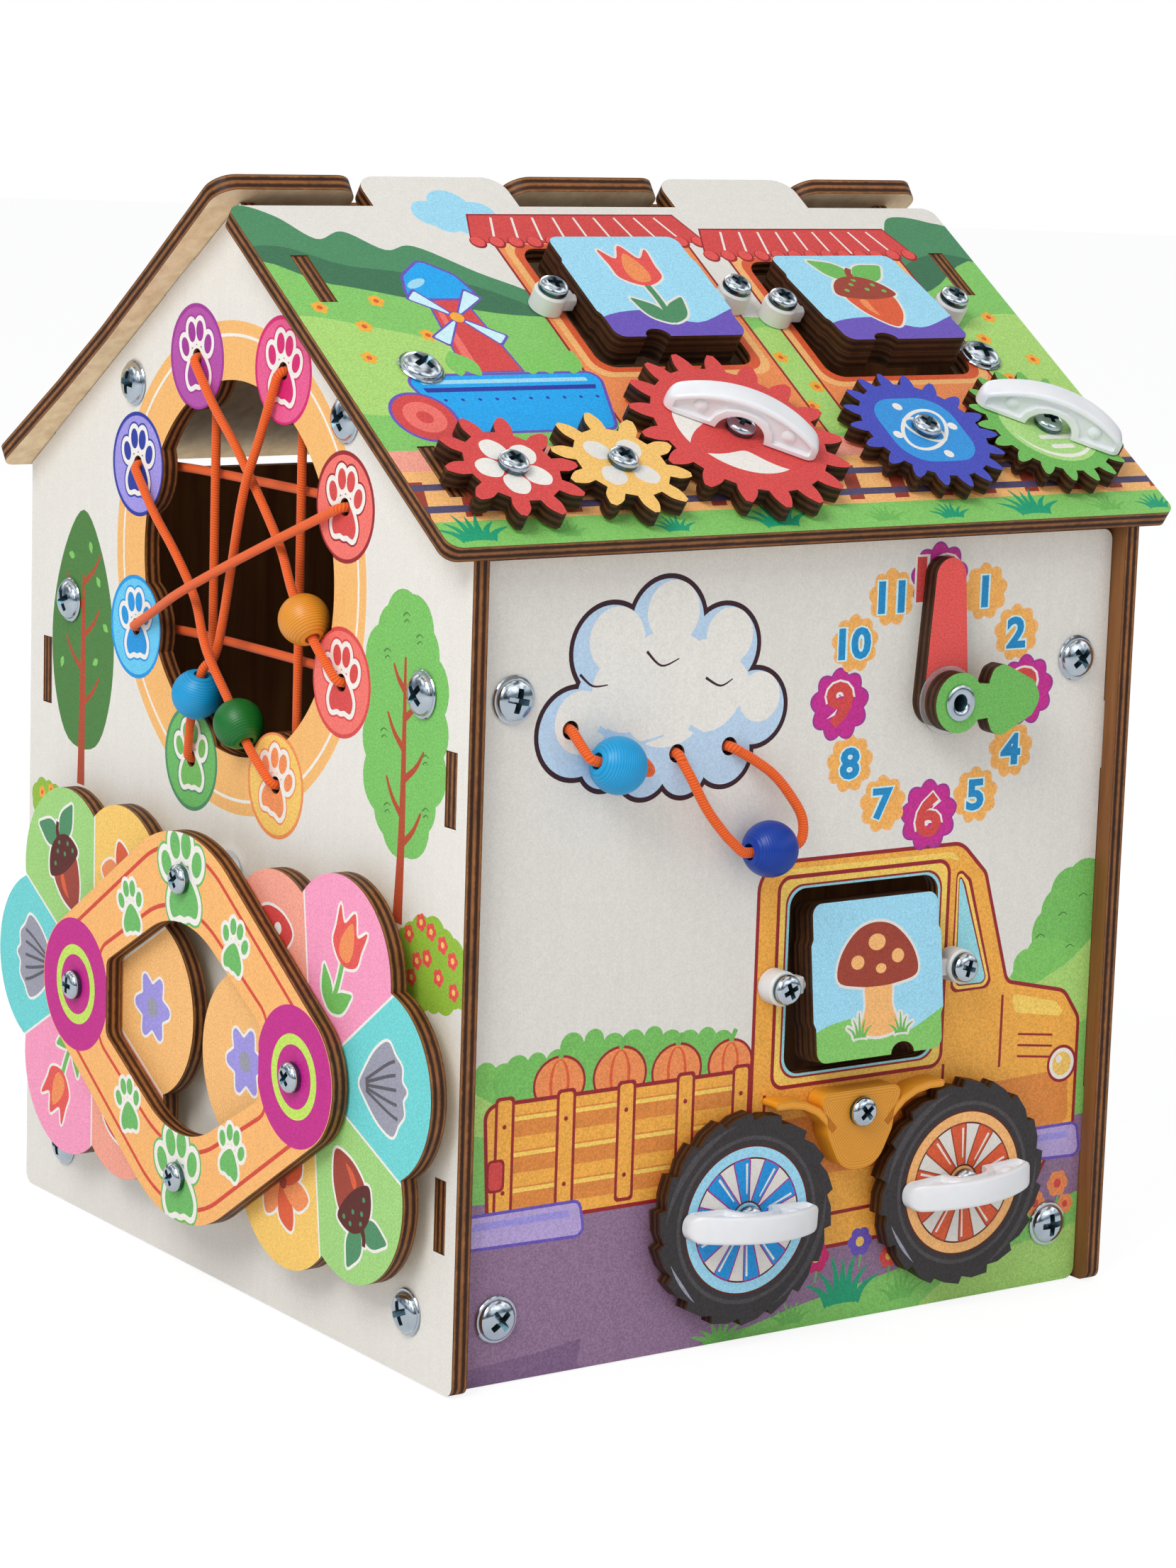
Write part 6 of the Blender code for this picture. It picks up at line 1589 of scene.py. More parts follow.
CLOCK_ART = []
for hour in range(1, 13):
    a = math.pi / 2 - 2 * math.pi * hour / 12
    x, y = CLOCK_AT[0] * 1000 + 40.7 * math.cos(a), CLOCK_AT[1] * 1000 + 40.7 * math.sin(a)
    big = hour % 3 == 0
    CLOCK_ART += flower_badge(x, y, 12.6 if big else 10.0, "badge_pink" if big else "badge",
                              "plum" if big else "orange_pale")
    tall = 15.6 if big else 11.0
    for under, name, weight in ((True, "white" if big else "window_pale", 0.090),
                                (False, "red" if big else "digit_blue", 0.040)):
        CLOCK_ART += [(name, shifted(f, x, y))
                      for f in glyphs(str(hour), tall * (1.10 if under else 1.0), weight)]
print(len(CLOCK_ART), "shapes in the clock face")

# %% Cloud, truck and meadow
puffs = [(-93, 213, 15), (-80, 239, 15.5), (-58, 247, 15.0), (-35, 238, 14.0), (-22, 217, 13.0),
         (-34, 203, 11.5), (-50, 199, 10.0), (-66, 200, 10.5), (-82, 203, 9.5), (-60, 222, 24),
         (-44, 222, 20), (-76, 222, 18)]
CLOUD_ART = [("outline", ring(x, y, r + 1.1, 48)) for x, y, r in puffs]
CLOUD_ART += [("cloud_shade", ring(x, y, r - 0.6, 48)) for x, y, r in puffs]
CLOUD_ART += [("white", ring(x + 2.2, y + 3.4, r - 4.6, 48)) for x, y, r in puffs if r > 12]
CLOUD_ART.append(("white", oval(-55, 225, 31, 15)))
for colour, width, tail, line in (("outline", 1.0, 0.4, [(-92, 232), (-87, 228), (-81, 228)]),
                                  ("outline", 1.0, 0.4, [(-66, 238), (-60, 233), (-53, 235)]),
                                  ("outline", 1.0, 0.4, [(-42, 228), (-36, 225), (-31, 227)]),
                                  ("cloud_shade", 2.2, 0.6, [(-84, 214), (-72, 208), (-58, 210)]),
                                  ("cloud_shade", 2.0, 0.6, [(-48, 212), (-38, 208), (-30, 211)])):
    CLOUD_ART.append((colour, stroke(line, width, tail)))


# %% Meadow and road
FRONT_ART = crown("tree_light", 128, 128, 14, 16, 12, 9) + crown("leaf", 112, 112, 12, 9, 10, 6)
FRONT_ART += [("meadow_pale", soft([(88, 60), (88, 112), (104, 110), (120, 116), (142, 124), (144, 60)], 6)),
              ("meadow", soft([(84, 56), (90, 92), (110, 98), (128, 94), (144, 98), (144, 50)], 6))]
for x, y in ((108, 127), (118, 134), (127, 140), (134, 122), (122, 122)):
    FRONT_ART.append(("tree_dark", stroke([(x - 2, y), (x, y + 1), (x + 2, y)], 0.6, 0.3)))
FRONT_ART += crown("leaf", -126, 98, 12, 6, 9, 5)
FRONT_ART += [("meadow_pale", soft([(-144, 60), (-144, 98), (-130, 99), (-112, 90), (-84, 84), (-40, 80),
                                    (-20, 60)], 6)),
              ("meadow", soft([(-144, 52), (-144, 82), (-126, 84), (-104, 76), (-70, 74), (-40, 56)], 6))]
FRONT_ART += [("road", [(-144, -6), (144, -6), (144, 62), (90, 56), (40, 52), (-30, 54), (-90, 60),
                        (-144, 62)]),
              ("road_dark", [(-144, -6), (-144, 5), (-100, 8), (-50, 15), (-10, 19), (20, 14), (-10, 4),
                             (-40, -6)])]
VERGE = ("meadow", soft([(-46, -8), (-24, 1), (8, 8), (40, 13), (80, 20), (112, 27), (150, 32), (150, -8)],
                        6))
FRONT_ART += [VERGE, ("meadow_pale", soft([(30, -8), (58, 8), (96, 16), (150, 20), (150, -8)], 6))]
print(len(FRONT_ART), "shapes in the meadow and the road")

# %% Truck with pumpkins
for x, y, r in ((-106, 98, 11), (-84, 102, 13), (-60, 101, 12), (-38, 99, 11)):
    FRONT_ART += crown("tree_light", x, y, r, r * 0.7, 9, 4.4)
for x, y, r in ((-95, 98, 9.5), (-71, 98, 10), (-48, 97, 9.5), (-26, 97, 8.5)):
    for colour, a, b in (("red_dark", r + 0.9, r), ("orange", r, r - 0.9), ("orange_rust", r * 0.42, r - 1.4),
                         ("orange", r * 0.30, r - 1.8)):
        FRONT_ART.append((colour, oval(x, y, a, b)))
    FRONT_ART.append(("gear_green", stroke([(x, y + r - 1), (x + 2, y + r + 3)], 1.8)))
bed = rounded([(-121, 54), (-14, 54), (-14, 93), (-123, 93)], [5, 1, 1, 4])
cab = rounded([(-16, 27), (-16, 163), (70, 163), (81, 152), (93, 112), (120, 106), (127, 96), (127, 56),
               (116, 48), (106, 30)], [2, 9, 8, 5, 5, 6, 6, 5, 4, 4])
FRONT_ART += lined("car", bed, 1.4)
for low in (58, 70, 82):
    FRONT_ART += [("car_dark", soft_box((-67, low + 3.8), 102, 7.4, 1.2)),
                  ("car_light", soft_box((-67, low + 6.2), 98, 1.4, 0.6))]
for x in (-116, -92, -68, -44, -21):
    FRONT_ART += [("red_dark", soft_box((x, 75.5), 7.6, 41, 1.6)),
                  ("car", soft_box((x, 75.5), 5.4, 38.6, 1.2)),
                  ("red_dark", ring(x, 86, 0.8, 12)), ("red_dark", ring(x, 64, 0.8, 12))]
FRONT_ART += lined("car", cab, 1.4)
FRONT_ART += [("car_light", rounded([(-10, 159), (-10, 161), (66, 161), (72, 157), (64, 159)], 0.8)),
              ("car_dark", rounded([(-14, 54), (-14, 74), (124, 78), (125, 60), (114, 52)], 3)),
              ("car_light", rounded([(96, 108), (117, 103), (122, 97), (98, 101)], 1.4))]
pane = [(69, 112), (69, 155), (74, 150), (86, 112)]
FRONT_ART += [("red_dark", rounded(grown(pane, 1.4), 3)), ("car_light", rounded(pane, 3)),
              ("red_dark", rounded(grown(pane, -1.6), 2.4)), ("window", rounded(grown(pane, -2.4), 2))]
frame_box = soft_box((28.5, 122), 72, 71, 4)
FRONT_ART += lined("car_light", frame_box, 1.4)
FRONT_ART += [("red_dark", soft_box((28.5, 122), 67.5, 67, 7)),
              ("window", soft_box((28.5, 122), 66, 65.6, 6.8))]
seams = [([(-14, 38), (110, 41)], 1.3), ([(-11, 84), (-11, 60)], 1.2), ([(66.5, 86), (66.5, 60)], 1.2),
         ([(-11, 60), (66.5, 60)], 1.2), ([(92, 108), (92, 82)], 1.1)]
slits = [([(100, y), (116, y - 2)], 0.8) for y in (93, 89, 85)]
FRONT_ART += [("red_dark", stroke(line, width)) for line, width in seams]
FRONT_ART += [("red_dark", soft_box((54, 80.5), 10, 3.6, 1.6)),
              ("car_light", soft_box((54, 80.8), 8.2, 2.0, 0.9))]
FRONT_ART += [("red_dark", stroke(line, width)) for line, width in slits]
FRONT_ART += [("red_dark", soft_box((-119, 70), 7, 11, 2)), ("red", soft_box((-119, 70), 5.2, 9.2, 1.6))]
FRONT_ART += [(colour, ring(121, 80, r, 32))
              for colour, r in (("red_dark", 6.8), ("white", 5.7), ("yellow", 4.3))]
FRONT_ART.append(("white", ring(119.6, 81.8, 1.4, 16)))
for low, high in ((-132, -84), (100, 131)):
    bar = rounded([(low, 47), (low + 2, 57), (high - 2, 57), (high, 46)], 2.5)
    FRONT_ART += lined("lilac", bar, 1.1, "violet")
    FRONT_ART.append(("violet_pale",
                      rounded([(low + 4, 52.5), (low + 5, 55), (high - 6, 55), (high - 5, 52.5)], 1.0)))
for x, y in (WHEEL_LEFT_AT, WHEEL_RIGHT_AT):
    FRONT_ART += [("red_dark", ring(x * 1000, y * 1000, 32.4, 60)),
                  ("brown_dark", ring(x * 1000, y * 1000, 31.8, 60))]
print(len(FRONT_ART), "shapes with the truck")

# %% Verge in front of the truck
FRONT_ART += [("road", soft([(-70, -6), (-64, 30), (-20, 22), (20, 24), (60, 27), (112, 38), (140, 40),
                             (140, -6)], 4))]
FRONT_ART += [VERGE, ("meadow_pale", soft([(60, -8), (76, 10), (104, 16), (150, 20), (150, -8)], 6))]
for x, y, w, h in ((26, 6, 26, 19), (52, 4, 16, 10), (-26, 0, 20, 8), (88, 12, 16, 10), (118, 18, 14, 9),
                   (4, 2, 14, 8)):
    FRONT_ART += moved_art(tuft("grass_teal" if w > 20 else "gear_green", w, h), x, y)
for x, y, petals, inner, size in ((14, 24, "pink_deep", "yellow", 1.5), (33, 27, "violet", "yellow", 1.4),
                                  (46, 20, "red_bright", "yellow", 1.1),
                                  (112, 30, "orange", "red", 1.2), (122, 36, "orange", "red", 1.3),
                                  (118, 25, "yellow_deep", "red", 1.1),
                                  (126, 28, "orange", "red", 1.0)):
    FRONT_ART += [("gear_green", stroke([(x, y - 9), (x + 0.5, y - 4), (x, y)], 0.8))]
    FRONT_ART += moved_art(bloom(petals, inner, 6, 2.1), x, y, size)
FRONT_ART += CLOUD_ART + CLOCK_ART
print(len(FRONT_ART), "shapes on the front wall")

# %% Walls
front_holes = wall_bracket_holes() + [block_window(WALL_BLOCK_AT)] + holder_holes(WALL_BLOCK_AT)
front_holes += [circle(p, CLOUD_HOLE_RADIUS, 28) for p in cloud_holes()]
front_holes += [circle(p, PAN_HOLE) for p in (WHEEL_LEFT_AT, WHEEL_RIGHT_AT, PAWL_AT)]
front_holes.append(circle(CLOCK_AT, RIVET_RADIUS + TOUCH_GAP))
panel_sheet("front_wall_sheet", "front_wall", FRONT, wall_outline(), front_holes, FRONT_ART, "printed_panel")
REAR_ART = [("meadow", soft([(-150, -8), (-150, 60), (-100, 66), (-40, 54), (30, 62), (100, 52), (150, 60),
                             (150, -8)], 6)),
            ("meadow_pale", soft([(-150, -8), (-150, 34), (-90, 40), (0, 28), (80, 36), (150, 26), (150, -8)],
                                 6))]
REAR_ART += [("orange_pale", soft_box((0, 118), 96, 118, 6)), ("car", soft_box((0, 116), 88, 114, 4)),
             ("red_dark", soft_box((0, 96), 36, 74, 4)), ("red", soft_box((0, 96), 33, 71, 3))]
for side in (-1, 1):
    REAR_ART += [("white", soft_box((side * 31, 140), 20, 24, 3)),
                 ("window", soft_box((side * 31, 140), 17, 21, 2))]
    REAR_ART += tree_round(side * 92, 92, 196, 25, "tree_dark", "leaf", "trunk")
for k in range(10):
    REAR_ART += moved_art(tuft("grass_teal", 16, 10), -120 + 27 * k, 12 + 6 * math.sin(k * 2.1))
    REAR_ART += moved_art(bloom(("red_bright", "yellow_deep", "plum", "white")[k % 4], "orange", 5, 3.0),
                          -108 + 25 * k, 30 + 8 * math.sin(k * 1.3))
REAR_ART += moved_art(bloom("ring_orange", "yellow", 12, 12), 0, 222)
panel_sheet("rear_wall_sheet", "rear_wall", REAR, wall_outline(), wall_bracket_holes(), REAR_ART, "birch_ply")
print("two walls")

# %% [markdown]
# ## Roof
# The front roof shows two market stalls with striped awnings round the block windows, a small mill and a
# blue cart on a meadow, and a plank track with two rails along the eave. The rear roof has rows of tiles.
# What repeats, such as the stripes, planks and tiles, comes from a loop over one shape.

# %% Print of the front roof
ROOF_ART = [("hill", soft([(-156, 96), (-156, 164), (-146, 172), (-134, 166), (-124, 154), (-112, 158),
                           (-100, 148), (-88, 150), (-70, 136), (-50, 120), (-50, 96)], 6)),
            ("hill_dark", soft([(-156, 120), (-156, 146), (-140, 150), (-120, 140), (-100, 136), (-70, 126),
                                (-60, 110)], 6)),
            ("hill", soft([(156, 96), (156, 152), (142, 164), (126, 166), (116, 154), (104, 150), (92, 130),
                           (84, 110)], 6)),
            ("hill_dark", soft([(156, 110), (156, 134), (142, 144), (124, 142), (104, 128), (96, 112)], 6)),
            ("meadow", soft([(-158, -10), (-158, 132), (-130, 130), (-96, 120), (-60, 112), (0, 112),
                             (60, 108), (96, 112), (120, 124), (158, 132), (158, -10)], 6)),
            ("meadow_pale", soft([(-158, 70), (-158, 112), (-120, 106), (-90, 92), (-100, 76), (-130, 64)],
                                 6)),
            ("meadow_pale", soft([(158, 60), (158, 104), (130, 108), (112, 90), (116, 70)], 6)),
            ("meadow_pale", soft([(20, 50), (22, 96), (36, 104), (50, 90), (46, 56)], 6))]
ROOF_ART += scattered(bloom("yellow_deep", "orange_rust", 5, 1.7), (
    (-140, 118), (-128, 108), (-117, 121), (-106, 103), (-134, 92), (-120, 84), (30, 88), (36, 72), (28, 62),
    (126, 96), (136, 108), (141, 84), (124, 74), (-92, 116)))
ROOF_ART += [("sky", ring(x, y, r, 36))
             for x, y, r in ((-72, 168, 7), (-62, 173, 8), (-52, 168, 6.5), (-60, 164, 7.5), (-68, 163, 5.5))]


def band(colour, low, high):
    return (colour, [(-158, low), (158, low), (158, high), (-158, high)])


ROOF_ART += [band("orange_pale", 12, 46), band("salmon", 36, 46)]
ROOF_ART += [("brown", [(x, 14), (x + 6, 14), (x + 11, 31), (x + 5, 31)]) for x in range(-156, 150, 19)]
ROOF_ART += [band("rail", 16.3, 19.5), band("rail", 26.8, 29.8)]


def stall(x, y, half, low, high, awning_low, awning_high):
    wall = rounded([(x - half, low), (x + half, low), (x + half, high), (x - half, high)], 2)
    left, right = x - half + 4, x + half - 4
    shapes = lined("orange", wall, 1.0)
    shapes += [("orange_pale", soft_box((x, y), 76, 74, 8)), ("orange_rust", soft_box((x, y), 70, 69, 7)),
               ("orange_pale",
                rounded([(left, low + 4), (right, low + 4), (right, low + 8), (left, low + 8)], 1))]
    roof = [(x - half - 9, awning_low), (x + half + 9, awning_low), (x + half + 3, awning_high),
            (x - half - 3, awning_high)]
    shapes += lined("red", roof, 0.9)
    for k in range(9):
        t = (k + 1) / 10
        a, b = x - half - 9 + t * (2 * half + 18), x - half - 3 + t * (2 * half + 6)
        shapes.append(("white", stroke([(a, awning_low + 1.2), (b, awning_high - 1.2)], 0.9)))
    for colour, lift, r in (("red_dark", 0.0, 3.3), ("red_bright", 0.5, 2.7)):
        fringe = [x - half - 9 + 2.5 + (2 * half + 13) * k / 12 for k in range(13)]
        shapes += [(colour, ring(scallop_x, awning_low + lift, r, 20)) for scallop_x in fringe]
    return shapes


ROOF_ART += stall(-14.3, 116.5, 40, 46, 153, 152, 167)
ROOF_ART += stall(77.6, 108.7, 38, 46, 146, 144, 159)
tower = [(-101, 84), (-79, 84), (-83.5, 124), (-96.5, 124)]
cap = [(-104, 122), (-76, 122), (-80, 134), (-90, 142), (-100, 134)]
ROOF_ART += lined("red", tower, 1.1, "violet")
ROOF_ART.append(("red_pale", [(-99, 86), (-95, 86), (-94, 120), (-95.6, 120)]))
ROOF_ART += lined("blue_bright", rounded(cap, 3), 1.1, "violet") + [("sky", oval(-97, 130, 4.6, 1.8, 28))]
for k in range(4):
    for colour, sail, corner in (("violet", [(-1.0, 2), (1.0, 2), (3.9, 18), (-3.9, 18)], 1),
                                 ("window_pale", [(-0.4, 3), (0.4, 3), (3.0, 17), (-3.0, 17)], 0.8)):
        ROOF_ART.append((colour, spin_points(rounded(sail, corner), 45 + 90 * k, -90, 112)))
ROOF_ART += [("yellow_deep", ring(-90, 112, 2.6, 20))]
cart = rounded([(-118, 54), (-58, 54), (-50, 82), (-126, 82)], 4)
ROOF_ART += lined("blue_bright", cart, 1.2, "violet")
ROOF_ART += [("blue_deep", [(-121, 74), (-55, 74), (-54, 76.2), (-121.6, 76.2)]),
             ("sky", rounded([(-121, 78), (-56, 78), (-56, 80), (-121, 80)], 0.8))]
ROOF_ART += [("blue_deep", ring(-116 + 6.6 * k, 70, 0.7, 12)) for k in range(10)]
ROOF_ART += [(colour, ring(-128, 62, r, steps)) for colour, r, steps in (
    ("violet", 12.4, 40), ("red", 11.2, 40), ("red_pale", 7.6, 36), ("red", 3.0, 24))]
ROOF_ART += [("leaf", spin_points(leaf_shape(13, 7), t, x, 82)) for x, t in (
    (-112, 20), (-104, -10), (-96, 24), (-76, -20), (-68, 12), (-60, -26))]
ROOF_ART += [("meadow", soft([(-158, -8), (-158, 9), (-110, 12), (-50, 9), (0, 12), (60, 9), (110, 12),
                              (158, 9), (158, -8)], 6))]
for k, x in enumerate((-138, -104, -62, -20, 24, 52, 88, 122, 144)):
    ROOF_ART += moved_art(tuft("grass_teal" if k % 3 != 1 else "gear_green", 22 if k % 3 == 0 else 14,
                               13 if k % 3 == 0 else 8), x, 3)
print(len(ROOF_ART), "shapes on the front roof")

# %% Roof sheets
roof_front_holes = roof_slots() + roof_bracket_holes()
for spot in (ROOF_BLOCK_LEFT_AT, ROOF_BLOCK_RIGHT_AT):
    roof_front_holes += [block_window(spot)] + holder_holes(spot)
roof_front_holes += [circle(p, PAN_HOLE) for p in gear_places().values()]
panel_sheet("front_roof_sheet", "roof_front", ROOF_FRONT, roof_outline(True), roof_front_holes, ROOF_ART,
            "printed_panel", "bare")
REAR_ROOF_ART = [("meadow", soft([(-158, -8), (-158, 46), (-90, 54), (0, 44), (90, 54), (158, 46), (158, -8)],
                                 6))]
for row in range(5):
    for k in range(9):
        x, y = -136 + 34 * k + (17 if row % 2 else 0), 66 + row * 22
        tile = rounded([(x - 15, y - 10), (x + 15, y - 10), (x + 15, y + 9), (x - 15, y + 9)], [8, 8, 2, 2])
        REAR_ROOF_ART += lined(("red", "red_bright", "orange_rust")[(row + k) % 3], tile, 0.8)
for k in range(10):
    REAR_ROOF_ART += moved_art(bloom(("white", "yellow_deep", "pink")[k % 3], "orange", 5, 3.0),
                               -132 + 29 * k, 26 + 7 * math.sin(k * 1.7))
panel_sheet("rear_roof_sheet", "roof_rear", ROOF_REAR, roof_outline(False),
            roof_slots() + roof_bracket_holes(), REAR_ROOF_ART, "birch_ply", "bare")
print("two roof sheets")

# %% [markdown]
# ## Corner brackets
# Each bracket is a bent steel strip with a rounded elbow. A truss head screw with a nut holds each leg to
# its sheet. A cube with a bevelled edge would do as well, but an extruded outline keeps the strip equally
# thick round the bend. One mesh serves all twelve.

# %% Brackets
def bracket():
    low, high, half, leg, bend = 0.3, 2.3, 7.5, 21.0, 2.0
    turns = [math.pi / 2 * k / 5 for k in range(6)]
    elbow = [(low + bend * (1 - math.cos(a)), low + bend * (1 - math.sin(a))) for a in turns]
    outline = [(leg, low), (leg, high), (high, high), (high, leg), (low, leg), *elbow]
    work = bmesh.new()
    flat = work.faces.new([work.verts.new((x, y, -half)) for x, y in outline])
    pushed = bmesh.ops.extrude_face_region(work, geom=[flat])["geom"]
    lifted = [v for v in pushed if isinstance(v, bmesh.types.BMVert)]
    bmesh.ops.translate(work, verts=lifted, vec=(0, 0, 2 * half))
    bmesh.ops.recalc_face_normals(work, faces=work.faces)
    tips = [e for e in work.edges if all(abs(max(v.co.x, v.co.y) - leg) < 0.01 for v in e.verts)]
    tips = [e for e in tips if abs(e.verts[0].co.z - e.verts[1].co.z) < 0.01]
    bmesh.ops.bevel(work, geom=tips, offset=0.4, segments=2, affect="EDGES", profile=0.5, material=-1)
    return as_mesh(work, "bracket")


BRACKET = bracket()


# Millimetres from the elbow: the outer face of the sheet, the middle of a leg, and the nut inside it
SHEET_FACE, LEG_MIDDLE, NUT_BACK = 6.3, 14.5, 10.55


def truss_parts(matrix):
    return [(TRUSS, matrix), (TRUSS_NUT, matrix @ Matrix.Translation((0, 0, -NUT_BACK)))]


def place_bracket(name, node, corner, in_a, in_b, turn):
    a, b = Vector(in_a), Vector(in_b)
    spot = Matrix.Translation(Vector(corner)) @ Matrix((a, b, a.cross(b))).transposed().to_4x4() @ MM
    parts = [(BRACKET, spot)]
    for place, tilt, axis, spun_by in (((-SHEET_FACE, LEG_MIDDLE, 0), -math.pi / 2, "Y", turn),
                                       ((LEG_MIDDLE, -SHEET_FACE, 0), math.pi / 2, "X", turn * 1.7)):
        to_leg = Matrix.Translation(place) @ Matrix.Rotation(tilt, 4, axis) @ Matrix.Rotation(spun_by, 4, "Z")
        parts += truss_parts(spot @ to_leg)
    gathered(name, parts, "house", [node], ZINC, "zinc_steel")


x = HALF_WIDTH - PLY
count = 0
for side, side_name in ((-1, "left"), (1, "right")):
    for face, face_name, frame_here in ((-1, "front", ROOF_FRONT), (1, "rear", ROOF_REAR)):
        y = (FRONT_FACE if face < 0 else REAR_FACE) - PLY
        for height_here, level in zip(BRACKET_HEIGHTS, ("lower", "upper")):
            node = "bracket_%s_%s_%s" % (face_name, side_name, level)
            count += 1
            place_bracket("angle_%s_%s_%s" % (face_name, side_name, level), node,
                          Vector((side * x, face * y, height_here)) + SHIFT,
                          (-side, 0, 0), (0, -face, 0), 0.4 * count)
        across = side * x if face < 0 else -side * x
        corner = frame_here @ Vector((across, ROOF_BRACKET_UP, -PLY))
        inward = -(frame_here.to_3x3() @ Vector((0, 0, 1)))
        count += 1
        place_bracket("angle_roof_%s_%s" % (face_name, side_name),
                      "bracket_roof_%s_%s" % (face_name, side_name), corner,
                      (-side, 0, 0), inward, 0.4 * count)
print(count, "brackets")

# %% [markdown]
# ## Petal discs and their frame
# Each disc has six petals in six colours. The motifs on them are plain garden things: a pinwheel, an acorn,
# a mushroom, a tulip, a star and a shell. The diamond frame lies over both discs and its posts stand on the
# gable. The frame's outline is the hull of four circles, which gives even corners without drawing each arc.

# %% Petal discs
MOTIFS = {
    "petal_green": acorn("brown", "orange_rust", "brown_dark", "hill"),
    "cyan": shell("grey", "grey_dark"),
    "pink": tulip("red_bright", "orange", "gear_green"),
    "salmon": mushroom("red", "white", "red_pale", "red_dark"),
    "petal_orange": star("violet_pale", "grey", 6, 12.0),
    "yellow": pinwheel("orange_rust", "orange", "brown")}
for side, name, phase, colours in ((-1, "left", 60.6,
                                    ("petal_green", "cyan", "pink", "salmon", "petal_orange", "yellow")),
                                   (1, "right", 68.2,
                                    ("pink", "cyan", "petal_green", "yellow", "petal_orange", "salmon"))):
    art = []
    first = 60.0 if side < 0 else 113.0
    step = -60.0 if side < 0 else 60.0
    for k, colour in enumerate(colours):
        turn = 180.0 - (first + step * k)
        art.append((colour, [(0, 0)] + [polar(80, turn + a) for a in (-30, -15, 0, 15, 30)]))
    for k, colour in enumerate(colours):
        turn = 180.0 - (first + step * k)
        art.append(("white", stroke([(0, 0), polar(62, turn + 30)], 0.9)))
        art += moved_art(rimmed(MOTIFS[colour], "white", 0.8), *polar(44, turn), 1.28, turn - 90)
    spot = (GABLE_SHIFT + side * PETAL_PIVOT_REACH, PETAL_HEIGHT, PETAL_LIFT)
    plate("petal_sheet_" + name, "petal_disc_" + name, ["petal_disc_" + name], LEFT, spot,
          spun(petal_outline(), math.radians(phase)), [circle((0, 0), PAN_SHANK_RADIUS + RUN_GAP)], "white",
          art, "printed_teal")
    screw("pivot_screw_" + name, "house", ["petal_pivot_" + name], LEFT, spot[0] * 1000, spot[1] * 1000,
          POST_SEAT, 20 + 25 * side, ((0.3, 5.7, COLLAR), (12.3, 12.7, COLLAR)))

# %% Diamond frame
ends = [((side * PETAL_PIVOT_REACH, 0), FRAME_END_RADIUS) for side in (-1, 1)]
ends += [((0, side * FRAME_PEAK_REACH), FRAME_PEAK_RADIUS) for side in (-1, 1)]
diamond = hull(ends, 160)
holes = [frame_window()] + [circle((side * PETAL_PIVOT_REACH, 0), PAN_HOLE) for side in (-1, 1)]
holes += [circle((0, side * FRAME_POST_REACH), PAN_HOLE) for side in (-1, 1)]
rim, opening = mm(diamond), mm(frame_window())
art = [("frame_line", grown(rim, -4.6)), ("frame_orange", grown(rim, -6.1)),
       ("frame_line", grown(opening, 6.2)), ("frame_orange", grown(opening, 4.7))]
for side in (-1, 1):
    for colour, r, steps in (("magenta", 24.0, 80), ("lime", 14.4, 60), ("magenta", 10.8, 60)):
        art.append((colour, ring(side * 76.1, 0, r, steps)))
    art += moved_art(paw("paw_green", "white", 1.2, "paw_green"), 0, side * 52.4 + 0.5, 1.84, 8)
    for across in (-1, 1):
        art += moved_art(paw("paw_green", "white", 1.3), across * 36, side * 35.5, 1.12, -12 * across)
plate("diamond_sheet", "house", ["diamond_frame"], LEFT, (GABLE_SHIFT, PETAL_HEIGHT, FRAME_LIFT), diamond,
      holes, "frame_orange", art, "printed_orange")
for side, name in ((1, "upper"), (-1, "lower")):
    screw("post_screw_" + name, "house", ["frame_post_" + name], LEFT, GABLE_SHIFT * 1000,
          (PETAL_HEIGHT + side * FRAME_POST_REACH) * 1000, POST_SEAT, 35, ((0.3, 12.7, POST),))
print("petal discs and frame")

# %% [markdown]
# ## Gears
# The teeth are involutes, as on the plates they replace. The prints are plain: petals, leaves, crescents,
# rings and bars. Plain round bumps would look alike from afar, but involutes stay clear of each other while
# the gears turn.

# %% Gear prints and gears
def crescent(r, width, start, end):
    turns = [start + (end - start) * k / 20 for k in range(21)]
    inner = [polar(r - width * math.sin(math.pi * k / 20), turns[k]) for k in range(19, 0, -1)]
    return [polar(r, a) for a in turns] + inner


def petals(colour, count, near, far, width, turn=0.0):
    low, wide = near + (far - near) * 0.25, near + (far - near) * 0.6
    blade = soft([(0, near), (width * 0.45, low), (width * 0.5, wide), (width * 0.30, far - 0.8), (0, far),
                  (-width * 0.30, far - 0.8), (-width * 0.5, wide), (-width * 0.45, low)])
    return [(colour, spin_points(blade, turn + 360 * k / count)) for k in range(count)]


def hoop(colour, inner, a, b, width, turn):
    return [(colour, oval(0, 0, a, b, turn, 48)), (inner, oval(0, 0, a - width, b - width, turn, 48))]


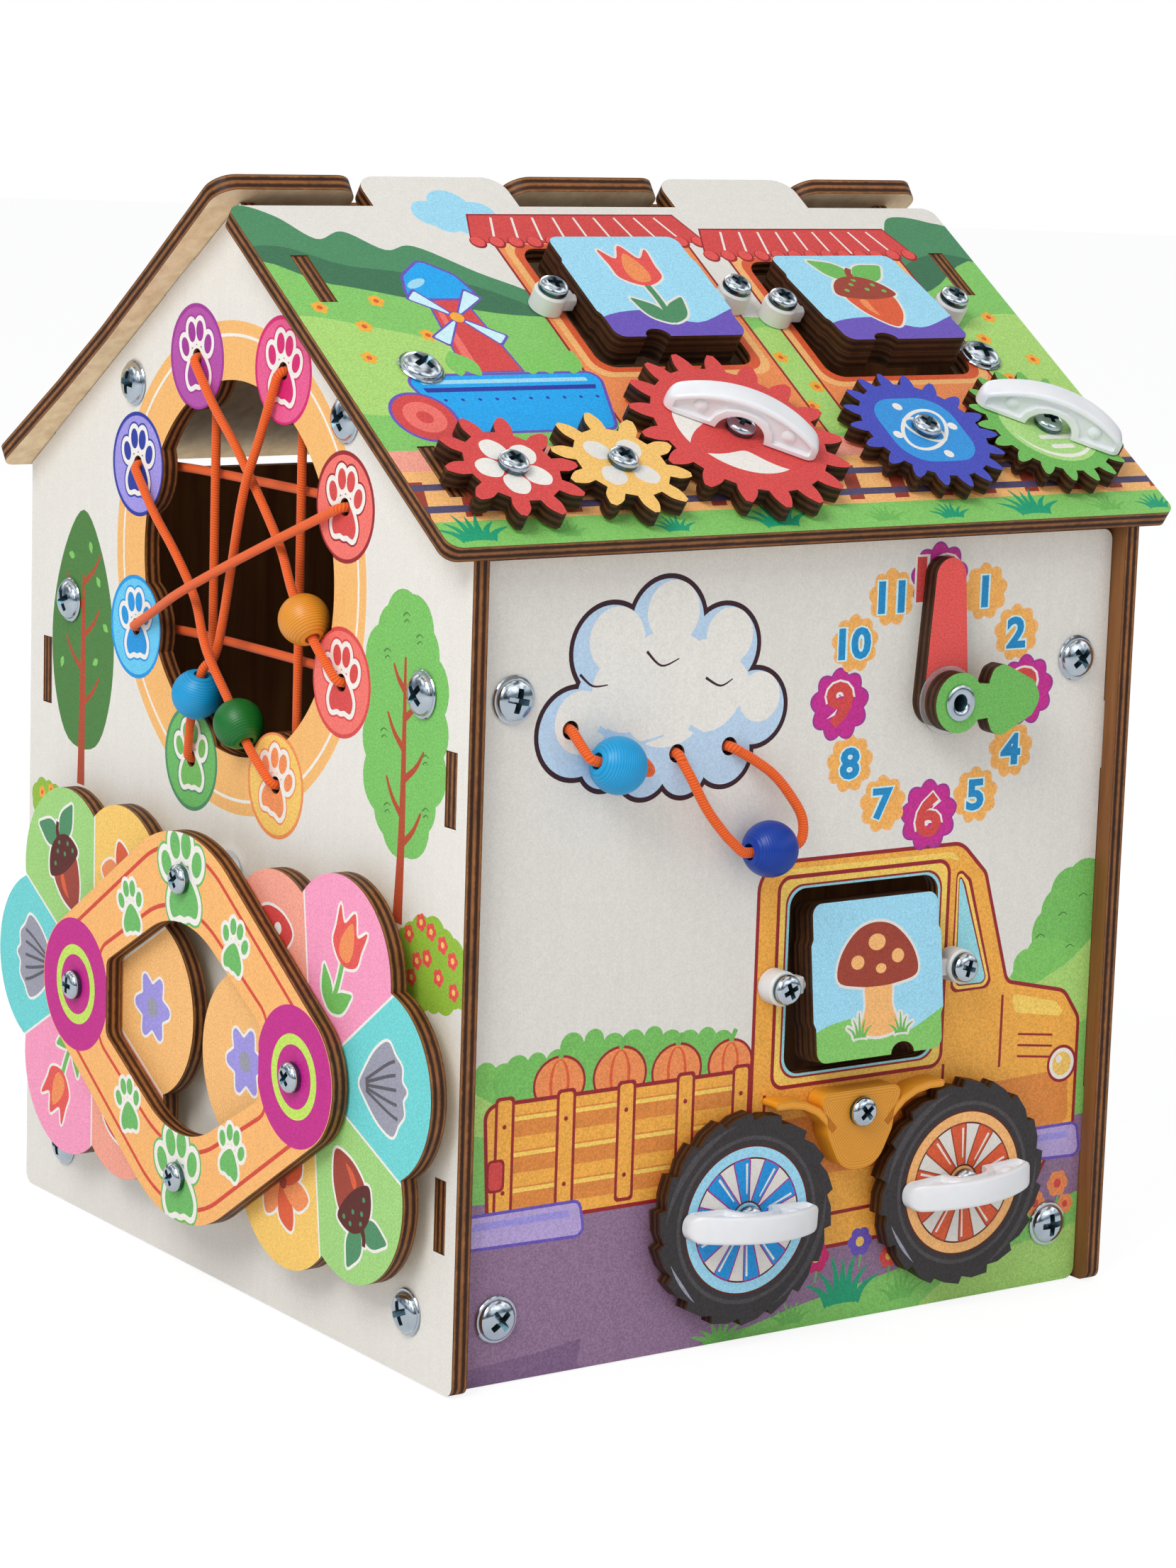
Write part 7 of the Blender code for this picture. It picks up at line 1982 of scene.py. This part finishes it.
GEAR_PRINTS = {
    "small_red": ("red", petals("white", 5, 3.4, 13.6, 9.0, 20)),
    "yellow": ("yellow_gear", petals("cream", 4, 3.8, 13.6, 8.6, 45)),
    "big_red": ("red", [("white", crescent(24.0, 12.5, 106, 194)),
                        ("white", crescent(22.5, 11.0, 210, 292))]),
    "blue": ("gear_blue", [("gear_panel", soft_box((0, 0), 33, 33, 11)),
                           *hoop("white", "gear_panel", 13.6, 8.2, 1.5, 40),
                           *hoop("white", "gear_panel", 8.4, 5.4, 1.4, -40),
                           *[("white", ring(13 * math.cos(a), 13 * math.sin(a), 1.9, 20))
                             for a in (0.1, 1.9, 3.3, 4.9)]]),
    "green": ("gear_green", [("gear_green_pale", ring(0, 0, 19, 60)), ("white", crescent(17.0, 1.7, 10, 170)),
                             ("white", crescent(17.0, 1.7, 190, 350)),
                             *[("white", soft_box((0, q), 21 - abs(q), 2.2, 1)) for q in (-11, -6, 6, 11)]])}
yellow_phase = mesh_phase(BIG_TEETH, BIG_GEAR_PHASE, SMALL_TEETH, YELLOW_TO_BIG_TURN + math.pi)
small_phase = mesh_phase(SMALL_TEETH, yellow_phase, SMALL_TEETH, math.pi)
green_phase = mesh_phase(PAIR_TEETH, BLUE_GEAR_PHASE, PAIR_TEETH, 0)
for name, teeth, module, phase, slot_name, handled in (
        ("small_red", SMALL_TEETH, BIG_MODULE, small_phase, "printed_red", False),
        ("yellow", SMALL_TEETH, BIG_MODULE, yellow_phase, "printed_yellow", False),
        ("big_red", BIG_TEETH, BIG_MODULE, BIG_GEAR_PHASE, "printed_red", True),
        ("blue", PAIR_TEETH, SMALL_MODULE, BLUE_GEAR_PHASE, "printed_blue", False),
        ("green", PAIR_TEETH, SMALL_MODULE, green_phase, "printed_green", True)):
    at_x, at_y = gear_places()[name]
    face, art = GEAR_PRINTS[name]
    body = "gear_" + name
    plate("gear_sheet_" + name, body, [] if handled else [body], ROOF_FRONT, (at_x, at_y, GEAR_LIFT),
          gear_outline(teeth, module, phase), [circle((0, 0), PAN_SHANK_RADIUS + RUN_GAP)], face, art,
          slot_name, edge=CHARRED)
    screw("gear_axle_" + name, body if handled else "house", [body] if handled else ["gear_screw_" + name],
          ROOF_FRONT, at_x * 1000, at_y * 1000, GEAR_SEAT, 15 + 30 * len(name), ((0.3, 1.2, COLLAR),))
print("five gears")

# %% [markdown]
# ## Handles
# A moulded handle is a smooth bridge with thick ends. Both long sides are hollowed, which leaves a narrow
# rim, a web in the middle and one small round boss in each end. Its width, crest and foot each follow a
# curve of their own, so cross sections are strung along it and joined. The hollows are cut last with a
# tapering tool, as a mould would leave them.

# %% Handle
def handle():
    half, rise, wide, nose, tip = 27.0, 9.0, 4.75, 4.0, 2.2
    arch, arch_rise, top = 8.6, 7.2, 14.0
    radius = (half * half + rise * rise) / (2 * rise)
    places = [arch * math.sin(math.pi / 2 * k / 12) for k in range(13)]
    places += [8.62 + 14.2 * k / 10 for k in range(11)]
    places += [half - nose + nose * math.sin(math.pi / 2 * k / 9) for k in range(1, 10)]
    places = [-x for x in places[:0:-1]] + places

    def crest(x):
        end = max(abs(x) - (half - tip), 0.0)
        tip_rise = math.sqrt(max(tip * tip - end * end, 0.0))
        return top - radius + math.sqrt(radius * radius - x * x) - tip + tip_rise

    def sole(x):
        return 0.3 + (arch_rise * math.sqrt(max(1 - (x / arch) ** 2, 0.0)) if abs(x) <= arch else 0.0)

    def across(x):
        end = max(abs(x) - (half - nose), 0.0)
        return wide - nose + math.sqrt(max(nose * nose - end * end, 0.0)) * 0.98 + 0.02 * nose

    work, rows = bmesh.new(), []
    for x in places:
        low, high, w = sole(x), crest(x), across(x)
        box = [(-w, low), (w, low), (w, high), (-w, high)]
        corners = [0.45, 0.45, min(1.2, w * 0.8), min(1.2, w * 0.8)]
        rows.append([work.verts.new((x, y, z)) for y, z in rounded(box, corners, 4)])
    for one, two in zip(rows, rows[1:]):
        for i in range(len(one)):
            j = (i + 1) % len(one)
            work.faces.new((one[i], one[j], two[j], two[i]))
    work.faces.new(rows[0])
    work.faces.new(rows[-1][::-1])
    bmesh.ops.recalc_face_normals(work, faces=work.faces)
    mesh = as_mesh(work, "handle")
    upper = [(x, crest(x) - 1.9) for x in [24.2 * k / 24 for k in range(25)]]
    lower = [(24.4, 1.9), (10.9, 1.9), (10.0, 4.9), (7.3, 8.0), (3.4, 9.3)]
    loop = rounded([*upper, *lower, (0, 9.5), *[(-x, z) for x, z in [*upper[1:], *lower]][::-1]], 0.8, 3)
    for face in (-1, 1):
        knife, walls = bmesh.new(), []
        for deep, shrink in ((wide - 1.7, 0.55), (wide - 1.3, 0.12), (wide - 0.5, 0.0), (wide + 2.0, -0.5)):
            walls.append([knife.verts.new((x, face * deep, z)) for x, z in grown(loop, -shrink)])
        for one, two in zip(walls, walls[1:]):
            for i in range(len(one)):
                j = (i + 1) % len(one)
                knife.faces.new((one[i], one[j], two[j], two[i]))
        knife.faces.new(walls[0][::-1])
        knife.faces.new(walls[-1])
        bmesh.ops.recalc_face_normals(knife, faces=knife.faces)
        mesh = cut(mesh, as_mesh(knife, "pocket"))
    dome = spin([(0.01, 1.2), (1.0, 1.1), (1.9, 0.75), (2.5, 0.2), (2.8, -0.5), (0.01, -0.5)], 28)
    parts = [(mesh, Matrix.Identity(4))]
    for x in (-15.5, 15.5):
        for face in (-1, 1):
            spot = Matrix.Translation((x, face * (wide - 1.7), 5.6))
            parts.append((dome, spot @ Matrix.Rotation(-face * math.pi / 2, 4, "X")))
    return parts


HANDLE = handle()
for name, frame_here, spot, turn, body in (
        ("gear_handle_big_red", ROOF_FRONT, (*gear_places()["big_red"], GEAR_LIFT + PLY), GEAR_HANDLE_TURN,
         "gear_big_red"),
        ("gear_handle_green", ROOF_FRONT, (*gear_places()["green"], GEAR_LIFT + PLY), GEAR_HANDLE_TURN,
         "gear_green"),
        ("wheel_handle_left", FRONT, (*WHEEL_LEFT_AT, WHEEL_LIFT + PLY), math.radians(-3), "wheel_left"),
        ("wheel_handle_right", FRONT, (*WHEEL_RIGHT_AT, WHEEL_LIFT + PLY), math.radians(3), "wheel_right")):
    spot_matrix = frame_here @ Matrix.Translation(spot) @ Matrix.Rotation(turn, 4, "Z") @ MM
    gathered(name.replace("handle", "grip"), [(m, spot_matrix @ t) for m, t in HANDLE], body, [name], MOULDED,
             "white_plastic", 40)
print("four handles")

# %% [markdown]
# ## Turning blocks
# A block is two plies of 6 mm plywood glued together, printed on both faces and held by two pegs. Each
# print has a light blue ground, a plain garden motif in warm browns and a violet hill. A holder is a ridged
# lug, a short arm and the peg, and the three are gathered into one mesh.

# %% Blocks
BLOCK_PRINTS = (
    ("roof_left", ROOF_BLOCK_LEFT_AT, 0.0, ROOF_FRONT, tulip("red_bright", "orange", "hill"), "violet"),
    ("roof_right", ROOF_BLOCK_RIGHT_AT, ROOF_BLOCK_RIGHT_LEAN, ROOF_FRONT,
     acorn("orange_rust", "orange", "brown", "gear_green"), "violet"),
    ("wall", WALL_BLOCK_AT, WALL_BLOCK_LEAN, FRONT,
     mushroom("brown", "orange_pale", "orange_pale", "gear_green"), "meadow"))
# Millimetres: from the block's middle to a holder and to its own edge, the bulge of that edge, and the gap
HOLDER_MIDDLE, HALF_BLOCK, EDGE_BULGE, BLOCK_GAP = 38.4, 27.0, 1.0, 0.6
for (name, at_here, lean, frame_here, motif, hill), notch_share in zip(BLOCK_PRINTS, BLOCK_NOTCH_SHARES):
    outline = mm(block_outline(notch_share))
    art = [(hill, soft([(-34, -34), (-30, -18), (-8, -13), (10, -20), (34, -12), (34, -34)], 6))]
    art += moved_art(rimmed(motif, "cream", 0.7), 0, 0, 1.42)
    turned_block = frame_here @ Matrix.Translation((at_here[0], at_here[1], BLOCK_AXIS_LIFT))
    turned_block = turned_block @ Matrix.Rotation(lean, 4, "X")
    sheet("block_board_" + name, "block_" + name, ["block_" + name], turned_block, outline, [], -6, 6, "sky",
          art, "sky", 2, "printed_teal", CHARRED)
    for side, side_name in ((-1, "left"), (1, "right")):
        spot = frame_here @ at(at_here[0] * 1000 + side * HOLDER_MIDDLE, at_here[1] * 1000, 0) @ MM
        if side > 0:
            spot = spot @ Matrix.Rotation(math.pi, 4, "Z")
        ridges = [(6.0 - 0.05 * (k % 2), 0.4 + 6.3 * k / 36) for k in range(37)]
        lug = spin([(2.4, 0.3), (5.8, 0.3), *ridges, (5.6, 7.4), (5.3, 7.5), (2.4, 7.5)], 40)
        reach = HOLDER_MIDDLE - HALF_BLOCK - EDGE_BULGE - BLOCK_GAP
        arm = bmesh.new()
        made = bmesh.ops.create_cube(arm, size=1)["verts"]
        for vert in made:
            vert.co = ((vert.co.x + 0.5) * (reach - 2) + 2, vert.co.y * 6.0, 3.0 + vert.co.z * 5.0)
        bmesh.ops.bevel(arm, geom=arm.edges[:], offset=0.7, segments=3, affect="EDGES", profile=0.5,
                        material=-1)
        arm_mesh = as_mesh(arm, "arm")
        peg = spin([(0.01, 0), (2.2, 0), (2.2, reach + 6.3), (1.9, reach + 6.6), (0.01, reach + 6.6)], 24)
        to_peg = spot @ Matrix.Translation((0, 0, 3.0)) @ Matrix.Rotation(math.pi / 2, 4, "Y")
        gathered("lug_%s_%s" % (name, side_name), [(lug, spot), (arm_mesh, spot), (peg, to_peg)], "house",
                 ["holder_%s_%s" % (name, side_name)], LAYERED, "white_plastic")
        screw("lug_screw_%s_%s" % (name, side_name), "house", ["holder_%s_%s" % (name, side_name)],
              frame_here, at_here[0] * 1000 + side * HOLDER_MIDDLE, at_here[1] * 1000, HOLDER_SEAT,
              25 * side + 12 * len(name))
print("three blocks with six holders")

# %% [markdown]
# ## Wheels, pawl and clock
# The wheels are printed as tyres with spoked rims. The pawl between them is one amber piece with two
# springy arms: its printed layers follow the rim and then run aslant. The clock hands turn on a hollow
# rivet with a clear washer between them. Insets give the pawl's faces their rings, and each corner keeps a
# count of its layer, which the plastic reads.

# %% Wheels
for spot, name, hand, turn in ((WHEEL_LEFT_AT, "left", 1, -3.0), (WHEEL_RIGHT_AT, "right", -1, 3.0)):
    rim_ink, spoke, line = (("sky", "blue", "plum") if name == "left"
                            else ("orange_pale", "orange_rust", "brown"))
    art = [("tyre_pale", crescent(33.5, 2.6, 100, 176)), ("grey", crescent(33.0, 1.2, 200, 232)),
           ("tyre_pale", crescent(33.5, 2.2, -70, 10))]
    art += [(colour, ring(0, 0, r, 80))
            for colour, r in (("tyre_pale", 29.0), ("tyre", 27.6), ("brown_dark", 25.9), (rim_ink, 25.2),
                              ("brown_dark", 21.6), ("cream", 21.0))]
    blade = rounded([(-1.0, 4), (1.0, 4), (3.2, 20.9), (-3.2, 20.9)], 0.8)
    shine = rounded([(0.6, 9), (1.1, 9), (2.4, 19.6), (1.5, 19.6)], 0.2)
    for k in range(10):
        for colour, points in ((line, grown(blade, 0.55)), (spoke, blade), ("white", shine)):
            art.append((colour, spin_points(points, 36 * k + 8)))
    art += [("brown_dark", ring(0, 0, 6.6, 40)), (rim_ink, ring(0, 0, 6.0, 40))]
    plate("wheel_sheet_" + name, "wheel_" + name, ["wheel_" + name], FRONT, (*spot, WHEEL_LIFT),
          spun(wheel_outline(hand), hand * WHEEL_PHASE),
          [circle((0, 0), PAN_SHANK_RADIUS + RUN_GAP)], "tyre", art, "printed_tyre", edge=CHARRED)
    screw("wheel_axle_" + name, "wheel_" + name, ["wheel_" + name], FRONT, spot[0] * 1000, spot[1] * 1000,
          WHEEL_SEAT, 30, ((0.3, 1.7, COLLAR),))

# %% Pawl
def pawl():
    work = bmesh.new()
    side = [(0.500, 0.205), (0.390, -0.040), (0.375, -0.200), (0.200, -0.545)]
    corners = [(-x * PAWL_REACH, y * PAWL_REACH) for x, y in side[::-1]]
    corners += [(x * PAWL_REACH, y * PAWL_REACH) for x, y in side]
    small, chin = PAWL_CORNER_RADIUS, 0.0095
    outline = mm(rounded(corners, [chin, 2 * small, small / 2, small, small, small / 2, 2 * small, chin], 8))
    layer = work.loops.layers.float.new("layer")
    for shape in (outline, mm(pawl_arm(-1)), mm(pawl_arm(1))):
        flat = work.faces.new([work.verts.new((x, y, 0.3)) for x, y in turned_left(shape)])
        pushed = bmesh.ops.extrude_face_region(work, geom=[flat])["geom"]
        bmesh.ops.translate(work, verts=[v for v in pushed if isinstance(v, bmesh.types.BMVert)],
                            vec=(0, 0, 8.0))
    bmesh.ops.recalc_face_normals(work, faces=work.faces)
    for face in [f for f in work.faces if f.normal.z > 0.99]:
        rings = 3 if face.calc_area() > 120 else 1
        for k in range(rings):
            width = 0.95 if rings > 1 else 0.7
            fresh = bmesh.ops.inset_individual(work, faces=[face], thickness=width, depth=0.0)["faces"]
            inner = set(face.verts)
            for loop in [loop for f in fresh for loop in f.loops]:
                loop[layer] = k + (1.0 if loop.vert in inner else 0.0)
        for loop in face.loops if rings > 1 else ():
            loop[layer] = rings + (loop.vert.co.x - loop.vert.co.y) * 0.7
    return as_mesh(work, "pawl")


pawl_spot = FRONT @ Matrix.Translation((*PAWL_AT, 0)) @ MM
gathered("pawl_body", [(pawl(), pawl_spot)], "house", ["ratchet_pawl"], AMBER, "amber_plastic", 30)
screw("pawl_screw", "house", ["ratchet_pawl"], FRONT, PAWL_AT[0] * 1000, PAWL_AT[1] * 1000, WHEEL_SEAT, 40)
print("two wheels and a pawl")

# %% Clock hands, washer and rivet
hub = [circle((0, 0), RIVET_RADIUS + TOUCH_GAP)]
minute = hull([((0, 0), HAND_HUB_RADIUS * 0.94), ((0, MINUTE_LENGTH), MINUTE_TIP_RADIUS)], 120)
plate("minute_sheet", "minute_hand", ["minute_hand"], FRONT, (*CLOCK_AT, TOUCH_GAP), minute, hub,
      "red_bright", [], "printed_red", edge=CHARRED)
low = 2 * TOUCH_GAP + PLY
washer = spin([(3.9, low * 1000), (11.8, low * 1000), (11.8, low * 1000 + 0.8), (3.9, low * 1000 + 0.8),
               (3.9, low * 1000)], 80)
clock_spot = FRONT @ Matrix.Translation((*CLOCK_AT, 0)) @ MM
gathered("clear_washer", [(washer, clock_spot)], "house", ["clock_washer"], CLEAR, "clear_plastic")
low += CLOCK_WASHER_THICKNESS + TOUCH_GAP
head_points = [(x * HOUR_LENGTH, y * HOUR_LENGTH) for x, y in HOUR_HEAD_SHARES]
head_points = rounded(head_points, [HOUR_HEAD_RADIUS] * 5 + [HOUR_HEAD_RADIUS * 1.5] + [HOUR_HEAD_RADIUS] * 5,
                      8)
meet = math.atan2(head_points[0][1], head_points[0][0] * 0.62)
hub_turns = [-meet - (2 * math.pi - 2 * meet) * i / 60 for i in range(61)]
hub_points = [(HAND_HUB_RADIUS * math.cos(a), HAND_HUB_RADIUS * math.sin(a)) for a in hub_turns]
plate("hour_sheet", "hour_hand", ["hour_hand"], FRONT, (*CLOCK_AT, low), head_points[::-1] + hub_points[::-1],
      hub, "gear_green", [], "printed_green", edge=CHARRED)
top, bottom = (low + PLY + TOUCH_GAP) * 1000, BEHIND
flare = [(2.9, bottom - 0.7), (5.9, bottom - 0.7), (6.1, bottom - 0.4), (6.1, bottom), (3.6, bottom),
         (3.6, top), (6.1, top), (6.05, top + 0.35), (5.5, top + 0.62), (4.4, top + 0.7),
         (3.3, top + 0.55), (2.9, top + 0.2), (2.9, bottom - 0.7)]
eyelet = spin(flare, 64)
# Faces in the bore take the second material, dark teal as painted shade.
for p in eyelet.polygons:
    p.material_index = 1 if math.hypot(p.center.x, p.center.y) < 3.05 and p.center.z < top else 0
gathered("clock_eyelet", [(eyelet, clock_spot)], "house", ["clock_rivet"], ZINC, "zinc_steel", 50)
print("clock")

# %% [markdown]
# ## Beads and cords
# The beads are printed in fine rings round their bore. The cords are elastic, with an orange thread wound
# round them: the tube carries a shallow helical ridge. Both cords are held by the object all the way. A
# curve with a round bevel could carry a cord too, but it can't twist a ridge along its length.

# %% Beads
BEAD_GROOVE = 0.14


def bead(radius, bore, rows):
    reach = radius * BEAD_FLAT_SHARE * 1000
    radius, bore = radius * 1000, bore * 1000
    profile = [(bore, -reach)]
    for k in range(rows * 2 + 1):
        z = -reach + 2 * reach * k / (rows * 2)
        profile.append((math.sqrt(max(radius * radius - z * z, 0.01)) - (BEAD_GROOVE if k % 2 else 0.0), z))
    profile += [(bore, reach), (bore, -reach)]
    mesh = spin(profile, 72)
    layer = mesh.attributes.new("layer", "FLOAT", "POINT")
    for v, spot in zip(mesh.vertices, layer.data):
        spot.value = v.co.z * rows / (2 * reach)
    return mesh


def place_bead(name, node, colour, mesh, frame_here, spot, along):
    turn = Vector((0, 0, 1)).rotation_difference(Vector(along)).to_matrix().to_4x4()
    gathered(name, [(mesh, frame_here @ Matrix.Translation(spot) @ turn @ MM)], node, [node], BEADS[colour],
             "bead_" + colour, 60)


lace_bead = bead(LACE_BEAD_RADIUS, LACE_BEAD_HOLE, 20)
cloud_bead = bead(CLOUD_BEAD_RADIUS, CLOUD_BEAD_HOLE, 22)
lace_spots, first, second, third, _ = lace_strands()
lace_beads = zip((first, second, third), LACE_BEAD_BACKS, LACE_BEAD_LIFTS, ("amber", "sky", "green"))
for strand, back, lift_here, colour in lace_beads:
    start, end = Vector(lace_spots[strand[0]]), Vector(lace_spots[strand[1]])
    along = (end - start).normalized()
    spot = end - along * back
    place_bead("lace_ball_" + colour, "lacing_bead_" + colour, colour, lace_bead, LEFT,
               (spot.x, spot.y, lift_here), (along.x, along.y, 0))
cloud_points, first_place, second_place = cloud_path()
for name, colour, spot in (("cloud_ball_sky", "sky", first_place), ("cloud_ball_navy", "navy", second_place)):
    place_bead(name, "cloud_bead_" + colour, colour, cloud_bead, FRONT, spot[0], spot[1])
print("five beads")

# %% Cords
def evened(points, spacing, closed):
    points = [Vector(p) for p in points]
    fine = []
    count = len(points)
    for i in range(count if closed else count - 1):
        a, b, c, d = [points[(i + k) % count] if closed else points[min(max(i + k, 0), count - 1)]
                      for k in (-1, 0, 1, 2)]
        span = (c - b).length
        lead, trail = (c - a).normalized() * span / 3, (d - b).normalized() * span / 3
        for k in range(12):
            t = k / 12
            fine.append(b * (1 - t) ** 3 + (b + lead) * 3 * t * (1 - t) ** 2
                        + (c - trail) * 3 * t * t * (1 - t) + c * t ** 3)
    fine.append(points[0] if closed else points[-1])
    along = [0.0]
    for a, b in zip(fine, fine[1:]):
        along.append(along[-1] + (b - a).length)
    steps = max(2, round(along[-1] / spacing))
    out, k = [], 0
    for i in range(steps + 1):
        goal = along[-1] * i / steps
        while k < len(along) - 2 and along[k + 1] < goal:
            k += 1
        share = (goal - along[k]) / max(along[k + 1] - along[k], 1e-9)
        out.append(fine[k].lerp(fine[k + 1], min(max(share, 0), 1)))
    return out, along[-1]


# One turn of the wound thread, the step along the cord, and the share by which the thread stands out
THREAD_PITCH, THREAD_STEP, THREAD_RELIEF = 0.0009, 0.00022, 0.085
ROUND_CORD = 12


def wound(name, points, radius, frame_here, closed, node, swell=None):
    line, length = evened(points, THREAD_STEP, closed)
    steps = ROUND_CORD
    if closed:
        line = line[:-1]
    work = bmesh.new()
    rise = work.verts.layers.float.new("thread_rise")
    count = len(line)
    normal = (line[1] - line[0]).orthogonal()
    rows = []
    turns = round(length / THREAD_PITCH)
    for i, p in enumerate(line):
        if closed:
            ahead = line[(i + 1) % count] - line[i - 1]
        else:
            ahead = line[min(i + 1, count - 1)] - line[max(i - 1, 0)]
        ahead.normalize()
        normal = (normal - ahead * normal.dot(ahead)).normalized()
        across = ahead.cross(normal)
        row = []
        size = radius * (swell(i / count * length) if swell else 1.0)
        for k in range(steps):
            a = 2 * math.pi * k / steps
            wave = 0.5 + 0.5 * math.cos(2 * a + 2 * math.pi * turns * i / count)
            r = size * (1.0 - THREAD_RELIEF * (1 - wave))
            vert = work.verts.new(p + normal * r * math.cos(a) + across * r * math.sin(a))
            vert[rise] = wave
            row.append(vert)
        rows.append(row)
    best = 0
    if closed:
        gaps = [sum((rows[-1][k].co - rows[0][(k + s) % steps].co).length for k in range(steps))
                for s in range(steps)]
        best = gaps.index(min(gaps))
    for i in range(count if closed else count - 1):
        shift_here = best if i == count - 1 else 0
        one, two = rows[i], rows[(i + 1) % count]
        for k in range(steps):
            j = (k + 1) % steps
            f = work.faces.new((one[k], one[j], two[(j + shift_here) % steps], two[(k + shift_here) % steps]))
            f.smooth = True
    if not closed:
        work.faces.new(rows[0][::-1])
        work.faces.new(rows[-1])
    bmesh.ops.recalc_face_normals(work, faces=work.faces)
    piece = finish(name, work, frame_here, "house", [node], [THREAD], "orange_cord", 80)
    print(name, round(length, 3), "m,", len(piece.data.polygons), "faces")
    return piece


wound("lace_thread", lace_path(), LACE_RADIUS, LEFT, True, "lacing_cord")
cloud_marks = [Vector(p) for p in cloud_points]
CLOUD_CORD_LENGTH = sum((b - a).length for a, b in zip(cloud_marks, cloud_marks[1:]))
KNOT_SWELL, KNOT_FROM_END, KNOT_REACH = 1.5, 0.0042, 0.0022


def knotted(place_along):
    near = min(place_along, CLOUD_CORD_LENGTH - place_along)
    return 1.0 + KNOT_SWELL * math.exp(-((near - KNOT_FROM_END) / KNOT_REACH) ** 2)


wound("cloud_thread", cloud_points, CLOUD_CORD_RADIUS, FRONT, False, "cloud_cord", knotted)

# %% [markdown]
# ## Floor
# The house stands on a pale floor. The floor looks white to the camera where no shadow falls on it. Only
# rays from the camera, or from it through the clear washer, see the glow, so it adds no light to the house.

# %% Floor
FLOOR_RADIUS, FLOOR_DROP = 9.0, 0.0004
ground, tree, shader = new_material("pale_floor", 0.9)
grit = noise(tree, object_place(tree), 60.0, 3.0)
wire(tree, shader, Base_Color=ramp(tree, grit, ((0.0, (0.90, 0.90, 0.90)), (1.0, (0.93, 0.93, 0.93)))))
rays = add_node(tree, "ShaderNodeLightPath").outputs
dusk = add_node(tree, "ShaderNodeEmission", Color=(0.34, 0.40, 0.46, 1), Strength=1.0).outputs[0]
darker = mixed(tree, calc(tree, "MULTIPLY", rays["Is Glossy Ray"], 0.5), shader.outputs[0], dusk)
glow = add_node(tree, "ShaderNodeEmission", Color=(1, 1, 1, 1), Strength=1.08).outputs[0]
paler = mixed(tree, calc(tree, "MULTIPLY", seen_directly(rays, tree), 0.80), darker, glow)
tree.links.new(paler, tree.nodes["Material Output"].inputs["Surface"])
work = bmesh.new()
bmesh.ops.create_circle(work, cap_ends=True, radius=FLOOR_RADIUS, segments=96)
mesh = as_mesh(work, "floor")
mesh.materials.append(ground)
floor = bpy.data.objects.new("floor", mesh)
floor.location.z = -FLOOR_DROP
scene.collection.objects.link(floor)
floor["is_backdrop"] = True
print("floor", 2 * FLOOR_RADIUS, "m across")

# %% [markdown]
# ## Size
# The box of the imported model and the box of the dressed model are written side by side.

# %% Write both boxes and finish
now_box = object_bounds()
for title, corners in (("cad box", cad_box), ("visual box", now_box)):
    print(title, [[round(c, 5) for c in v] for v in corners])
